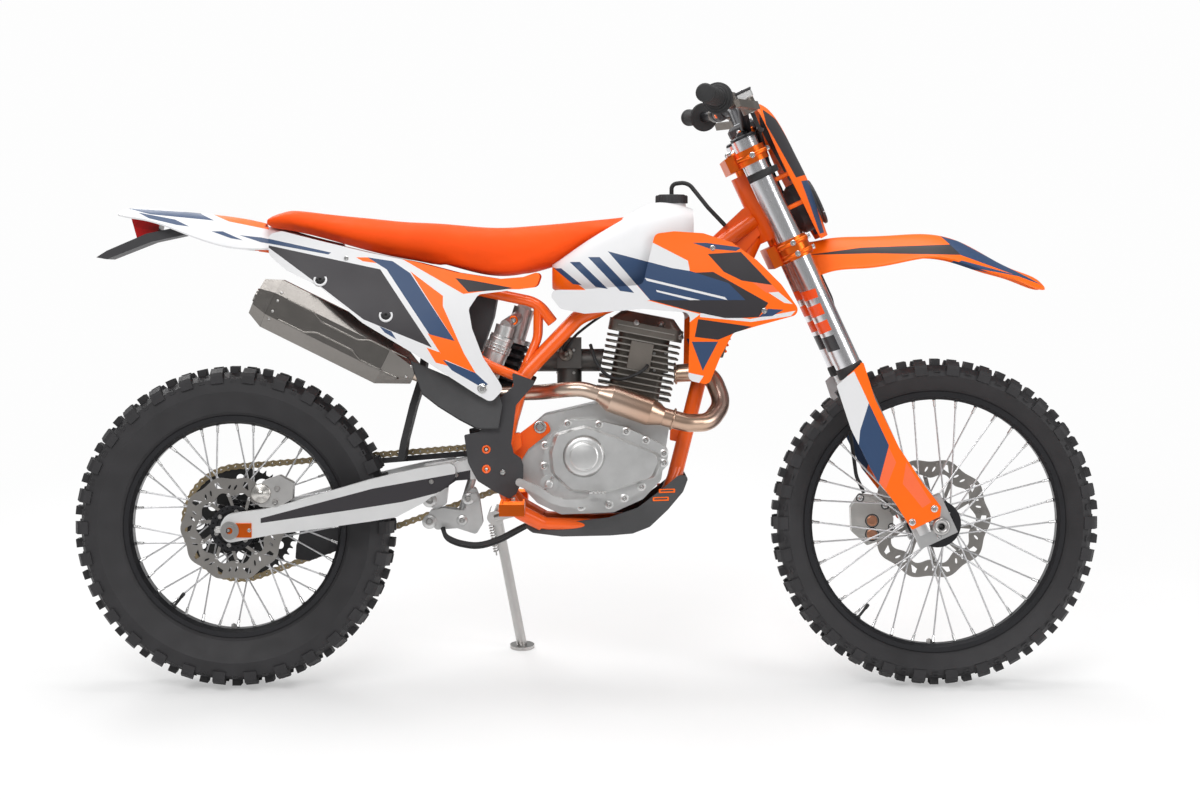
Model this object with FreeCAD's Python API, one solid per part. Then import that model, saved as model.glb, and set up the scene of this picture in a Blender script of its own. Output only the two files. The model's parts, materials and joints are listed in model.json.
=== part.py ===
import FreeCAD, Part
import math
import os

# Enduro dirt bike, leaning on its side stand.
# The bike is drawn upright first: x runs forward from the rear axle, y to the left and z up
# from the ground, in millimetres. Every piece is then leaned onto the side stand and moved so
# that the origin lies on the floor, midway along and across the whole bike.

V = FreeCAD.Vector
ORIGIN = V(0, 0, 0)
X_AXIS = V(1, 0, 0)
Y_AXIS = V(0, 1, 0)
Z_AXIS = V(0, 0, 1)
FULL_TURN_DEG = 360.0
HALF_TURN_DEG = 180.0

# Driving dimensions: what lies along the bike follows the wheelbase
WHEELBASE = 1482.0


def of_wheelbase(shares):
    return [share * WHEELBASE for share in shares]


TYRE_RADIUS_SHARES = (0.233468, 0.228745)
FRONT_TYRE_RADIUS, REAR_TYRE_RADIUS = of_wheelbase(TYRE_RADIUS_SHARES)
RAKE_DEG = 25.0
LEAN_DEG = 10.0
STEM_OFFSET = 24.0
AXLE_OFFSET = 33.0
FORK_HALF_SPACING = 100.0
PIVOT_SHARES = (0.381916, 0.318489)
PIVOT_X, PIVOT_Z = of_wheelbase(PIVOT_SHARES)

# Clearances shared by all pieces
SEAT_GAP = 0.3
RUNNING_GAP = 0.5
OVERRUN = 5.0
CORNER_REACH_SHARE = 0.45
STRAIGHT_ENOUGH_DEG = 179.0
SECTION_POINTS = 12


# Shape helpers

class Room:
    """A box that outlines and paths fill by shares of its length, half width and height."""

    def __init__(self, rear, low, length, height, half=0.0):
        self.rear = rear
        self.low = low
        self.length = length
        self.height = height
        self.half = half

    def at(self, share_x, share_z, share_y=0.0):
        return V(self.rear + share_x * self.length, share_y * self.half, self.low + share_z * self.height)

    def outline(self, shares):
        return [self.at(share_x, share_z) for share_x, share_z in shares]

    def path(self, shares, side=1):
        return [self.at(share_x, share_z, side * share_y) for share_x, share_y, share_z in shares]


def rounded(points, radius, closed=True):
    """A wire through the points, its corners turned into tangent arcs of at most the radius."""
    count = len(points)
    arcs = {}
    for i in range(count) if closed else range(1, count - 1):
        here = points[i]
        back = points[i - 1] - here
        ahead = points[(i + 1) % count] - here
        limit = CORNER_REACH_SHARE * min(back.Length, ahead.Length)
        half = back.getAngle(ahead) / 2
        if radius <= 0 or math.degrees(2 * half) > STRAIGHT_ENOUGH_DEG:
            continue
        back.normalize()
        ahead.normalize()
        reach = min(radius / math.tan(half), limit)
        turn = reach * math.tan(half)
        inward = (back + ahead).normalize()
        middle = here + inward * (turn / math.sin(half) - turn)
        arcs[i] = (here + back * reach, middle, here + ahead * reach)
    edges = []
    last = count if closed else count - 1
    for i in range(last):
        j = (i + 1) % count
        start = arcs[i][2] if i in arcs else points[i]
        end = arcs[j][0] if j in arcs else points[j]
        if start.distanceToPoint(end) > RUNNING_GAP / 1000:
            edges.append(Part.LineSegment(start, end).toShape())
        if j in arcs:
            edges.append(Part.Arc(*arcs[j]).toShape())
    return Part.Wire(Part.__sortEdges__(edges))


def slab(points, y_from, y_to, radius=0.0):
    """A plate with a side-view outline, from one lateral place to another."""
    face = Part.Face(rounded(points, radius))
    face.translate(V(0, y_from, 0))
    return face.extrude(V(0, y_to - y_from, 0))


def rod(start, end, radius):
    return Part.makeCylinder(radius, (end - start).Length, start, end - start)


def pipe(points, radius, bend):
    """A round tube along straight runs joined by tangent arcs."""
    path = rounded(points, bend, closed=False)
    circle = Part.Wire(Part.makeCircle(radius, points[0], points[1] - points[0]))
    return path.makePipeShell([circle], True, True)


def flat_pipe(points, bend, half_wide, half_tall, wide_axis=Y_AXIS):
    """A rectangular bar along straight runs joined by tangent arcs."""
    path = rounded(points, bend, closed=False)
    ahead = (points[1] - points[0]).normalize()
    across = wide_axis - ahead * ahead.dot(wide_axis)
    across.normalize()
    tall = ahead.cross(across)
    corners = [
        points[0] + across * (half_wide * a) + tall * (half_tall * b)
        for a, b in ((1, 1), (-1, 1), (-1, -1), (1, -1))
    ]
    return path.makePipeShell([Part.makePolygon(corners + corners[:1])], True, True)


def turned(profile, centre=ORIGIN):
    """A solid of revolution about the lateral axis, from (radius, lateral) pairs."""
    points = [V(radius, y, 0) for radius, y in profile]
    face = Part.Face(Part.makePolygon(points + points[:1]))
    solid = face.revolve(ORIGIN, Y_AXIS, FULL_TURN_DEG)
    solid.translate(centre)
    return solid


def disc(outer, y_from, y_to, centre=ORIGIN, inner=0.0):
    start = centre + V(0, y_from, 0)
    solid = Part.makeCylinder(outer, y_to - y_from, start, Y_AXIS)
    if inner > 0:
        solid = solid.cut(Part.makeCylinder(inner, y_to - y_from, start, Y_AXIS))
    return solid


def fused(shapes):
    """One shape from several that meet."""
    whole = shapes[0].fuse(list(shapes[1:])) if len(shapes) > 1 else shapes[0]
    return whole.removeSplitter()


def mirrored(shape):
    return shape.mirror(ORIGIN, Y_AXIS)


def both_sides(shape):
    return Part.makeCompound([shape, mirrored(shape)])


def turn_about_y(shape, centre, degrees):
    copy = shape.copy()
    copy.rotate(centre, Y_AXIS, degrees)
    return copy


def skin(grid, push):
    """A thin curved wall: the smooth surface through a grid of points, thickened one way."""
    surface = Part.BSplineSurface()
    surface.interpolate(grid)
    return surface.toShape().extrude(push)


def side_skin(room, stations, levels, y_shares, thickness, side):
    """A curved wall seen from the side; y_shares has a row of lateral shares for each station."""
    grid = [
        [room.at(sx, sz, side * sy) for sz, sy in zip(levels, row)]
        for sx, row in zip(stations, y_shares)
    ]
    return skin(grid, V(0, side * thickness, 0))


def side_panel(room, shares, stations, levels, y_shares, thickness, radius, side):
    """A curved wall trimmed to an outline given by shares of its room."""
    wall = side_skin(room, stations, levels, y_shares, thickness, side)
    reach = 2 * room.half
    cutter = slab(room.outline(shares), -reach, reach, radius)
    return wall.common(cutter)


def loft(sections):
    return Part.makeLoft(sections, True, False)


def oval_section(x, y, z, half_wide, half_tall, squareness_share=0.0):
    """A closed section across the bike: an ellipse, or fuller at the corners as the share grows."""
    points = []
    power = 1.0 / (1.0 + squareness_share)
    for k in range(SECTION_POINTS):
        angle = 2 * math.pi * (k + 0.5) / SECTION_POINTS
        c, s = math.cos(angle), math.sin(angle)
        points.append(V(
            x,
            y + half_wide * math.copysign(abs(c) ** power, c),
            z + half_tall * math.copysign(abs(s) ** power, s),
        ))
    curve = Part.BSplineCurve()
    curve.interpolate(Points=points, PeriodicFlag=True)
    return Part.Wire(curve.toShape())


# Places that follow from the driving dimensions

REAR_AXLE = V(0, 0, REAR_TYRE_RADIUS)
FRONT_AXLE = V(WHEELBASE, 0, FRONT_TYRE_RADIUS)
RAKE = math.radians(RAKE_DEG)
LEAN = math.radians(LEAN_DEG)
STEER_UP = V(-math.sin(RAKE), 0, math.cos(RAKE))
STEER_FORWARD = V(math.cos(RAKE), 0, math.sin(RAKE))
STEER_BASE = FRONT_AXLE - STEER_FORWARD * (STEM_OFFSET + AXLE_OFFSET)


def steer_point(ahead, y, up):
    """A point by its reach ahead of the steering axis, its lateral place and its height along it."""
    return STEER_BASE + STEER_FORWARD * ahead + STEER_UP * up + V(0, y, 0)


def steered(shape):
    """Moves a shape drawn about an upright steering axis onto the raked one."""
    copy = shape.copy()
    copy.rotate(ORIGIN, Y_AXIS, -RAKE_DEG)
    copy.translate(STEER_BASE)
    return copy


# Wheels

TYRE_WALL = 8.0
CROWN_HALF = 20.0
FRONT_TYRE_HALF = 46.0
REAR_TYRE_HALF = 56.0
FRONT_TYRE_DEPTH = 86.0
REAR_TYRE_DEPTH = 121.0
FRONT_RIM_INNER = FRONT_TYRE_RADIUS - FRONT_TYRE_DEPTH
REAR_RIM_INNER = REAR_TYRE_RADIUS - REAR_TYRE_DEPTH
RIM_DEPTH = 17.0
RIM_WELL = 7.0
RIM_WALL = 3.0
FRONT_RIM_HALF = 21.0
REAR_RIM_HALF = 29.0
WELL_HALF_SHARE = 0.45
LUG_HEIGHT = 13.0
SHOULDER_DROP = 11.0
LUG_COUNT = 30
LUG_ROOT = 3.0
LUG_SKIRT = 9.0
LUG_INNER_Y = 26.0
LUG_HALF_ROUND = 9.0
CENTRE_LUG_HALF = 12.0
SHOULDER_LUG_HALF_ROUND = 13.0

FRONT_AXLE_RADIUS = 12.0
REAR_AXLE_RADIUS = 12.5
AXLE_BORE = 7.0
HUB_BODY_RADIUS = 23.0
HUB_WALL = 4.0
FRONT_FLANGE_RADIUS = 40.0
REAR_FLANGE_RADIUS = 50.0
FLANGE_HALF_GAP = 27.0
FLANGE_THICKNESS = 5.0
FLANGE_EDGE = 5.0
HUB_HALF = 44.0
SPOKE_RADIUS = 1.8
SPOKE_COUNT = 36
SPOKE_END_GAP = 0.9
SPOKE_CROSS_DEG = 52.0
SPOKE_SPREAD_SHARE = 0.25

FRONT_DISC_RADIUS = 130.0
REAR_DISC_RADIUS = 110.0
DISC_THICKNESS = 4.0
DISC_BAND_SHARE = 0.24
DISC_WAVE_SHARE = 0.03
DISC_WAVES = 10
DISC_ARM_HALF = 5.0
DISC_CARRIER_RADIUS = 44.0
DISC_CARRIER_BAND = 9.0
DISC_HOLE_RADIUS = 4.5
FRONT_DISC_Y = 62.0
REAR_DISC_Y = -62.0

SPROCKET_TEETH = 48
CHAIN_PITCH = 15.875
SPROCKET_THICKNESS = 6.0
CHAIN_Y = 71.0
TOOTH_HEIGHT = 6.0
ROLLER_RADIUS = 5.08
SPROCKET_BAND = 16.0
SPROCKET_ARM_HALF = 7.0
SPROCKET_ARMS = 6
TOOTH_SHARES = ((0.0, 0.0), (0.28, 0.0), (0.42, 1.0), (0.58, 1.0), (0.72, 0.0))


def lug(profile, half_length, degrees):
    """A tread block: an outline across the tyre, pushed along the tread and turned to its place."""
    points = [V(radius, y, -half_length) for radius, y in profile]
    block = Part.Face(Part.makePolygon(points + points[:1])).extrude(V(0, 0, 2 * half_length))
    return turn_about_y(block, ORIGIN, degrees)


def tread(outer, half):
    """Crown lugs in two turns of the pattern and a shoulder lug on each side between them."""
    carcass = outer - LUG_HEIGHT
    root = carcass - LUG_ROOT
    skirt = carcass - SHOULDER_DROP - LUG_SKIRT
    fall = SHOULDER_DROP * (LUG_INNER_Y - CROWN_HALF) / (half - RIM_WALL - CROWN_HALF)
    shoulder = [
        (root, LUG_INNER_Y),
        (outer - fall, LUG_INNER_Y),
        (outer - SHOULDER_DROP, half - RIM_WALL),
        (outer - SHOULDER_DROP - LUG_HEIGHT / 2, half),
        (skirt, half),
        (skirt - LUG_ROOT, half - LUG_HEIGHT),
    ]
    step = FULL_TURN_DEG / LUG_COUNT
    blocks = []
    for k in range(LUG_COUNT):
        here = FULL_TURN_DEG / 4 + k * step
        for reach, turn in ((CROWN_HALF, here), (CENTRE_LUG_HALF, here + step / 2)):
            crown = [(root, -reach), (outer, -reach), (outer, reach), (root, reach)]
            blocks.append(lug(crown, LUG_HALF_ROUND, turn))
        for side in (1, -1):
            outline = [(r, side * y) for r, y in shoulder]
            blocks.append(lug(outline, SHOULDER_LUG_HALF_ROUND, here + step / 2))
    return blocks


def tyre(axle, outer, rim_inner, half, rim_half):
    """A tyre ring on the rim's bead seats, with its lugs."""
    bead = rim_inner + RIM_WELL + RIM_WALL + SEAT_GAP
    flange = rim_inner + RIM_DEPTH
    bead_half = rim_half - RIM_WALL - SEAT_GAP
    carcass = outer - LUG_HEIGHT
    upper = [
        (bead, bead_half),
        (flange + SEAT_GAP, bead_half),
        (flange + TYRE_WALL, rim_half + RIM_WALL),
        ((flange + outer) / 2, half - RIM_WALL),
        (carcass - SHOULDER_DROP, half - 2 * RIM_WALL),
        (carcass, CROWN_HALF),
    ]
    ring = turned(upper + [(r, -y) for r, y in reversed(upper)])
    whole = ring.fuse(tread(outer, half))
    whole.translate(axle)
    return whole


def rim(axle, rim_inner, rim_half):
    """A spoked rim: flanges, bead seats and a drop centre that takes the spokes."""
    flange = rim_inner + RIM_DEPTH
    seat = rim_inner + RIM_WELL + RIM_WALL
    well_half = WELL_HALF_SHARE * rim_half
    outer = [
        (flange, rim_half),
        (flange, rim_half - RIM_WALL),
        (seat, rim_half - RIM_WALL),
        (seat, well_half + RIM_WELL),
        (rim_inner + RIM_WALL, well_half),
    ]
    inner = [
        (seat - RIM_WALL, rim_half),
        (rim_inner, well_half + RIM_WALL),
    ]
    profile = outer + [(r, -y) for r, y in reversed(outer)]
    profile += [(r, -y) for r, y in inner] + [(r, y) for r, y in reversed(inner)]
    return turned(profile, axle)


def spokes(axle, flange_radius, rim_inner, rim_half):
    """Crossed wire spokes from both hub flanges to just short of the rim's well."""
    shapes = []
    hub_reach = flange_radius - FLANGE_EDGE
    rim_reach = rim_inner - SPOKE_END_GAP
    for k in range(SPOKE_COUNT):
        side = 1 if k % 2 else -1
        twist = 1 if (k // 2) % 2 else -1
        rim_angle = 2 * math.pi * k / SPOKE_COUNT
        hub_angle = rim_angle + twist * math.radians(SPOKE_CROSS_DEG)
        hub_y = side * (FLANGE_HALF_GAP + (FLANGE_THICKNESS if twist > 0 else 0))
        rim_y = side * rim_half * SPOKE_SPREAD_SHARE
        start = axle + V(hub_reach * math.cos(hub_angle), hub_y, hub_reach * math.sin(hub_angle))
        end = axle + V(rim_reach * math.cos(rim_angle), rim_y, rim_reach * math.sin(rim_angle))
        shapes.append(rod(start, end, SPOKE_RADIUS))
    return shapes


def hub(axle, axle_radius, flange_radius, rim_inner, rim_half, faces):
    """A wheel hub with two spoke flanges, and faces that carry the disc and the sprocket."""
    bore = axle_radius + RUNNING_GAP
    body = disc(HUB_BODY_RADIUS, -HUB_HALF, HUB_HALF, axle)
    parts = [body]
    for side in (-1, 1):
        y_in = side * FLANGE_HALF_GAP
        y_out = side * (FLANGE_HALF_GAP + FLANGE_THICKNESS)
        parts.append(disc(flange_radius, min(y_in, y_out), max(y_in, y_out), axle))
    for radius, y_from, y_to in faces:
        parts.append(disc(radius, min(y_from, y_to), max(y_from, y_to), axle))
    parts += spokes(axle, flange_radius, rim_inner, rim_half)
    whole = fused(parts)
    reach = 2 * CHAIN_Y
    return whole.cut(disc(bore, -reach, reach, axle))


def wavy_wire(radius, depth, waves):
    """A closed wavy curve about the wheel's axis."""
    points = []
    count = waves * 4
    for k in range(count):
        angle = 2 * math.pi * k / count
        reach = radius + depth * math.cos(waves * angle)
        points.append(V(reach * math.cos(angle), 0, reach * math.sin(angle)))
    curve = Part.BSplineCurve()
    curve.interpolate(Points=points, PeriodicFlag=True)
    return Part.Wire(curve.toShape())


def brake_disc(axle, radius, y, bolt_face):
    """A wave disc: a drilled band, arms and a carrier ring against the hub's face."""
    depth = DISC_WAVE_SHARE * radius
    inner = radius * (1 - DISC_BAND_SHARE)
    push = V(0, DISC_THICKNESS, 0)
    outside = Part.Face(wavy_wire(radius - depth, depth, DISC_WAVES)).extrude(push)
    inside = Part.Face(wavy_wire(inner, -depth, DISC_WAVES)).extrude(push)
    band = outside.cut(inside)
    carrier = disc(DISC_CARRIER_RADIUS, 0, DISC_THICKNESS, ORIGIN,
                   DISC_CARRIER_RADIUS - DISC_CARRIER_BAND)
    parts = [band, carrier]
    middle = (inner + radius) / 2
    holes = []
    for k in range(DISC_WAVES):
        angle = FULL_TURN_DEG * k / DISC_WAVES
        start = V(DISC_CARRIER_RADIUS - DISC_CARRIER_BAND / 2, 0, -DISC_ARM_HALF)
        arm = Part.makeBox(inner + depth - DISC_CARRIER_RADIUS + DISC_CARRIER_BAND, DISC_THICKNESS,
                           2 * DISC_ARM_HALF, start)
        if k % 2 == 0:
            parts.append(turn_about_y(arm, ORIGIN, angle))
        hole = disc(DISC_HOLE_RADIUS, -OVERRUN, DISC_THICKNESS + OVERRUN, V(middle - depth, 0, 0))
        holes.append(turn_about_y(hole, ORIGIN, angle + FULL_TURN_DEG / DISC_WAVES / 2))
    solid = fused(parts).cut(holes)
    solid.translate(axle + V(0, y - DISC_THICKNESS / 2, 0))
    return solid


def sprocket(axle, teeth, y):
    """A toothed ring with arms, its tooth tips between the chain's side plates."""
    pitch_radius = CHAIN_PITCH / (2 * math.sin(math.pi / teeth))
    root = pitch_radius - ROLLER_RADIUS
    tip = root + TOOTH_HEIGHT
    step = 2 * math.pi / teeth
    points = []
    for k in range(teeth):
        for offset_share, reach in TOOTH_SHARES:
            angle = (k + offset_share) * step
            radius = root + reach * (tip - root)
            points.append(V(radius * math.cos(angle), 0, radius * math.sin(angle)))
    outline = Part.Wire(Part.makePolygon(points + points[:1]))
    ring = Part.Face(outline).extrude(V(0, SPROCKET_THICKNESS, 0))
    inner = root - SPROCKET_BAND
    parts = [ring.cut(disc(inner, -OVERRUN, SPROCKET_THICKNESS + OVERRUN))]
    collar_inner = REAR_FLANGE_RADIUS - SPROCKET_BAND
    parts.append(disc(REAR_FLANGE_RADIUS, 0, SPROCKET_THICKNESS, ORIGIN, collar_inner))
    for k in range(SPROCKET_ARMS):
        start = V(REAR_FLANGE_RADIUS - SPROCKET_BAND / 2, 0, -SPROCKET_ARM_HALF)
        arm = Part.makeBox(inner - collar_inner, SPROCKET_THICKNESS, 2 * SPROCKET_ARM_HALF, start)
        parts.append(turn_about_y(arm, ORIGIN, FULL_TURN_DEG * k / SPROCKET_ARMS))
    solid = fused(parts)
    solid.translate(axle + V(0, y - SPROCKET_THICKNESS / 2, 0))
    return solid


def front_wheel_nodes():
    carrier_face = FRONT_DISC_Y - DISC_THICKNESS / 2 - SEAT_GAP
    faces = [(DISC_CARRIER_RADIUS, HUB_HALF - FLANGE_THICKNESS, carrier_face)]
    return {
        "front_tyre": tyre(FRONT_AXLE, FRONT_TYRE_RADIUS, FRONT_RIM_INNER, FRONT_TYRE_HALF, FRONT_RIM_HALF),
        "front_rim": rim(FRONT_AXLE, FRONT_RIM_INNER, FRONT_RIM_HALF),
        "front_hub": hub(FRONT_AXLE, FRONT_AXLE_RADIUS, FRONT_FLANGE_RADIUS, FRONT_RIM_INNER,
                         FRONT_RIM_HALF, faces),
        "front_disc": brake_disc(FRONT_AXLE, FRONT_DISC_RADIUS, FRONT_DISC_Y, carrier_face),
    }


def rear_wheel_nodes():
    carrier_face = REAR_DISC_Y + DISC_THICKNESS / 2 + SEAT_GAP
    sprocket_face = CHAIN_Y - SPROCKET_THICKNESS / 2 - SEAT_GAP
    faces = [
        (DISC_CARRIER_RADIUS, carrier_face, -HUB_HALF + FLANGE_THICKNESS),
        (REAR_FLANGE_RADIUS, HUB_HALF - FLANGE_THICKNESS, sprocket_face),
    ]
    return {
        "rear_tyre": tyre(REAR_AXLE, REAR_TYRE_RADIUS, REAR_RIM_INNER, REAR_TYRE_HALF, REAR_RIM_HALF),
        "rear_rim": rim(REAR_AXLE, REAR_RIM_INNER, REAR_RIM_HALF),
        "rear_hub": hub(REAR_AXLE, REAR_AXLE_RADIUS, REAR_FLANGE_RADIUS, REAR_RIM_INNER,
                        REAR_RIM_HALF, faces),
        "rear_disc": brake_disc(REAR_AXLE, REAR_DISC_RADIUS, REAR_DISC_Y, carrier_face),
        "rear_sprocket": sprocket(REAR_AXLE, SPROCKET_TEETH, CHAIN_Y),
    }

# Frame and swingarm

FRAME_ROOM_SHARES = (0.0, 0.202429, 0.809717, 0.539811)
FRAME_REAR, FRAME_LOW, FRAME_LENGTH, FRAME_HEIGHT = of_wheelbase(FRAME_ROOM_SHARES)
FRAME_HALF = 100.0
FRAME_ROOM = Room(FRAME_REAR, FRAME_LOW, FRAME_LENGTH, FRAME_HEIGHT, FRAME_HALF)
SPAR_RADIUS = 16.0
CRADLE_RADIUS = 13.0
STAY_RADIUS = 10.5
FRAME_BEND = 70.0
HEAD_TUBE_RADIUS = 29.0
HEAD_TUBE_SHARES = (0.465587, 0.565452)
HEAD_TUBE_LOW, HEAD_TUBE_HIGH = of_wheelbase(HEAD_TUBE_SHARES)
STEM_RADIUS = 14.0
STEM_CLEARANCE = 0.5
GUSSET_HALF = 19.0
HANGER_HALF = 3.0
SPAR_PATH_SHARES = (
    (0.915, -0.14, 0.8562), (0.8208, -0.34, 0.7562), (0.725, -0.58, 0.6725),
    (0.6058, -0.74, 0.6025), (0.51, -0.92, 0.4525), (0.485, -0.98, 0.325),
    (0.4683, -0.98, 0.2125), (0.4875, -0.98, 0.1062), (0.5417, -0.76, 0.0625),
)
CRADLE_PATH_SHARES = (
    (0.4875, -0.98, 0.1062), (0.5417, -0.76, 0.0625), (0.6333, -0.62, 0.0563),
    (0.7083, -0.48, 0.0625), (0.76, -0.26, 0.1275), (0.7833, 0.0, 0.2125),
)
DOWN_TUBE_SHARES = (
    (0.775, 0.0, 0.175), (0.8192, 0.0, 0.4375), (0.8358, 0.0, 0.5375), (0.9183, 0.0, 0.8125),
)
GUSSET_SHARES = ((0.9042, 0.9), (0.8333, 0.8), (0.8433, 0.715), (0.8967, 0.7688), (0.93, 0.8275))
RAIL_PATH_SHARES = (
    (0.56, -0.8, 0.5875), (0.5333, -0.76, 0.64), (0.4, -0.7, 0.6813), (0.2083, -0.72, 0.7525),
    (0.05, -0.6, 0.7875),
)
STAY_PATH_SHARES = (
    (0.5133, -1.0, 0.44), (0.4542, -1.04, 0.475), (0.275, -0.8, 0.64), (0.1417, -0.7, 0.725),
    (0.0833, -0.66, 0.7775),
)
STRUT_PATH_SHARES = ((0.535, -0.77, 0.625), (0.5342, -0.79, 0.5475), (0.5033, -0.94, 0.44))
STRUT_RADIUS = 9.0
TAIL_PLATE_HALF = 64.0
TAIL_PLATE_SHARES = ((0.0417, 0.7775), (0.0917, 0.7725), (0.0917, 0.7975), (0.0417, 0.7975))
MOUNT_SHARES = (
    (0.4817, 0.2575), (0.4933, 0.2875), (0.51, 0.3063), (0.5333, 0.3325), (0.5517, 0.3275),
    (0.5583, 0.305), (0.5417, 0.285), (0.5183, 0.2575), (0.5033, 0.2225), (0.495, 0.2325),
)
MOUNT_FOOT_SHARES = (
    (0.4783, 0.2575), (0.4867, 0.2975), (0.505, 0.3025), (0.5067, 0.265), (0.4933, 0.25),
)
MOUNT_Y = -70.6
MOUNT_THICKNESS = 5.0
HANGER_SHARES = ((0.7667, 0.275), (0.7983, 0.265), (0.8067, 0.3375), (0.7683, 0.3225))

ARM_ROOM_SHARES = (-0.013495, 0.202429, 0.418354, 0.134953)
ARM_REAR, ARM_LOW, ARM_LENGTH, ARM_HEIGHT = of_wheelbase(ARM_ROOM_SHARES)
ARM_HALF = 108.0
ARM_ROOM = Room(ARM_REAR, ARM_LOW, ARM_LENGTH, ARM_HEIGHT, ARM_HALF)
ARM_INNER = 84.0
FRONT_ARM_INNER = 46.0
FRONT_ARM_OUTER = 80.0
PIVOT_BOSS_RADIUS = 24.0
PIVOT_BORE = 9.0
PIVOT_HALF = 80.0
PIVOT_BOSS_REACH = 115.0
ARM_CORNER = 24.0
LUG_HALF = 18.0
ARM_SIDE_SHARES = (
    (0.0, 0.26), (0.0194, 0.36), (0.1806, 0.43), (0.3419, 0.58), (0.5032, 0.725),
    (0.6645, 0.84), (0.7903, 0.9), (0.7903, 0.725), (0.6806, 0.475), (0.5919, 0.33),
    (0.5032, 0.285), (0.3419, 0.215), (0.1806, 0.15), (0.0226, 0.06), (0.0, 0.15),
)
FRONT_ARM_SHARES = (
    (0.6694, 0.55), (0.6694, 0.83), (0.7903, 0.89), (0.9355, 0.98), (0.9597, 0.74),
    (0.7903, 0.7), (0.7258, 0.56),
)
BRIDGE_SHARES = ((0.671, 0.54), (0.671, 0.81), (0.7774, 0.87), (0.7774, 0.68), (0.7177, 0.54))
LUG_SHARES = ((0.6774, 0.6), (0.6806, 0.425), (0.7161, 0.37), (0.7516, 0.425), (0.7613, 0.65))


def main_frame():
    """Head tube, twin spars, down tube and cradle, welded into one frame."""
    parts = []
    for side in (1, -1):
        parts.append(pipe(FRAME_ROOM.path(SPAR_PATH_SHARES, side), SPAR_RADIUS, FRAME_BEND))
        parts.append(pipe(FRAME_ROOM.path(CRADLE_PATH_SHARES, side), CRADLE_RADIUS, FRAME_BEND))
    parts.append(pipe(FRAME_ROOM.path(DOWN_TUBE_SHARES), SPAR_RADIUS, FRAME_BEND))
    parts.append(slab(FRAME_ROOM.outline(GUSSET_SHARES), -GUSSET_HALF, GUSSET_HALF, CRADLE_RADIUS))
    parts.append(slab(FRAME_ROOM.outline(HANGER_SHARES), -HANGER_HALF, HANGER_HALF, HANGER_HALF))
    mount = slab(FRAME_ROOM.outline(MOUNT_SHARES), MOUNT_Y - MOUNT_THICKNESS, MOUNT_Y, GUSSET_HALF / 2)
    parts += [mount, slab(FRAME_ROOM.outline(MOUNT_FOOT_SHARES), -FRAME_HALF, MOUNT_Y, OVERRUN)]
    low, high = steer_point(0, 0, HEAD_TUBE_LOW), steer_point(0, 0, HEAD_TUBE_HIGH)
    parts.append(rod(low, high, HEAD_TUBE_RADIUS))
    pivot = V(PIVOT_X, 0, PIVOT_Z)
    parts.append(both_sides(disc(PIVOT_BOSS_RADIUS, PIVOT_HALF + RUNNING_GAP, PIVOT_BOSS_REACH, pivot)))
    bore = rod(low - STEER_UP * OVERRUN, high + STEER_UP * OVERRUN, STEM_RADIUS + STEM_CLEARANCE)
    return fused(parts).cut(bore)


def subframe():
    """Bolt-on rear frame: two rails under the seat, their stays and a tail plate."""
    parts = []
    for side in (1, -1):
        parts.append(pipe(FRAME_ROOM.path(RAIL_PATH_SHARES, side), STAY_RADIUS, FRAME_BEND))
        parts.append(pipe(FRAME_ROOM.path(STAY_PATH_SHARES, side), STAY_RADIUS, FRAME_BEND))
        parts.append(pipe(FRAME_ROOM.path(STRUT_PATH_SHARES, side), STRUT_RADIUS, FRAME_BEND))
    half = TAIL_PLATE_HALF
    parts.append(slab(FRAME_ROOM.outline(TAIL_PLATE_SHARES), -half, half))
    whole = fused(parts)
    spar = pipe(FRAME_ROOM.path(SPAR_PATH_SHARES), SPAR_RADIUS + SEAT_GAP, FRAME_BEND)
    return whole.cut(both_sides(spar))


def swingarm():
    """Two deep arms, a bridge ahead of the tyre and a pivot tube inside the frame."""
    side = ARM_ROOM.outline(ARM_SIDE_SHARES)
    front = ARM_ROOM.outline(FRONT_ARM_SHARES)
    bridge = slab(ARM_ROOM.outline(BRIDGE_SHARES), -ARM_INNER - OVERRUN, ARM_INNER + OVERRUN)
    parts = [
        both_sides(slab(side, ARM_INNER, ARM_HALF, ARM_CORNER)),
        both_sides(slab(front, FRONT_ARM_INNER, FRONT_ARM_OUTER, OVERRUN)),
        bridge,
        slab(ARM_ROOM.outline(LUG_SHARES), -LUG_HALF, LUG_HALF, OVERRUN),
        disc(PIVOT_BOSS_RADIUS, -PIVOT_HALF, PIVOT_HALF, V(PIVOT_X, 0, PIVOT_Z)),
    ]
    bore = disc(PIVOT_BORE, -ARM_HALF, ARM_HALF, V(PIVOT_X, 0, PIVOT_Z))
    axle_hole = disc(REAR_AXLE_RADIUS + RUNNING_GAP, -2 * ARM_HALF, 2 * ARM_HALF, REAR_AXLE)
    return fused(parts).cut([bore, axle_hole])


# Drive chain

CHAIN_HALF_WIDTH = 8.5
CHAIN_PLATE = 2.0
CHAIN_PLATE_HALF = 7.2
FRONT_SPROCKET_SHARES = (0.431849, 0.322537)
FRONT_SPROCKET_X, FRONT_SPROCKET_Z = of_wheelbase(FRONT_SPROCKET_SHARES)
FRONT_SPROCKET_RADIUS = 35.0
CHAIN_FIRST_ROLLER = 4
PIN_BAR_HALF = 3.0


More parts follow.
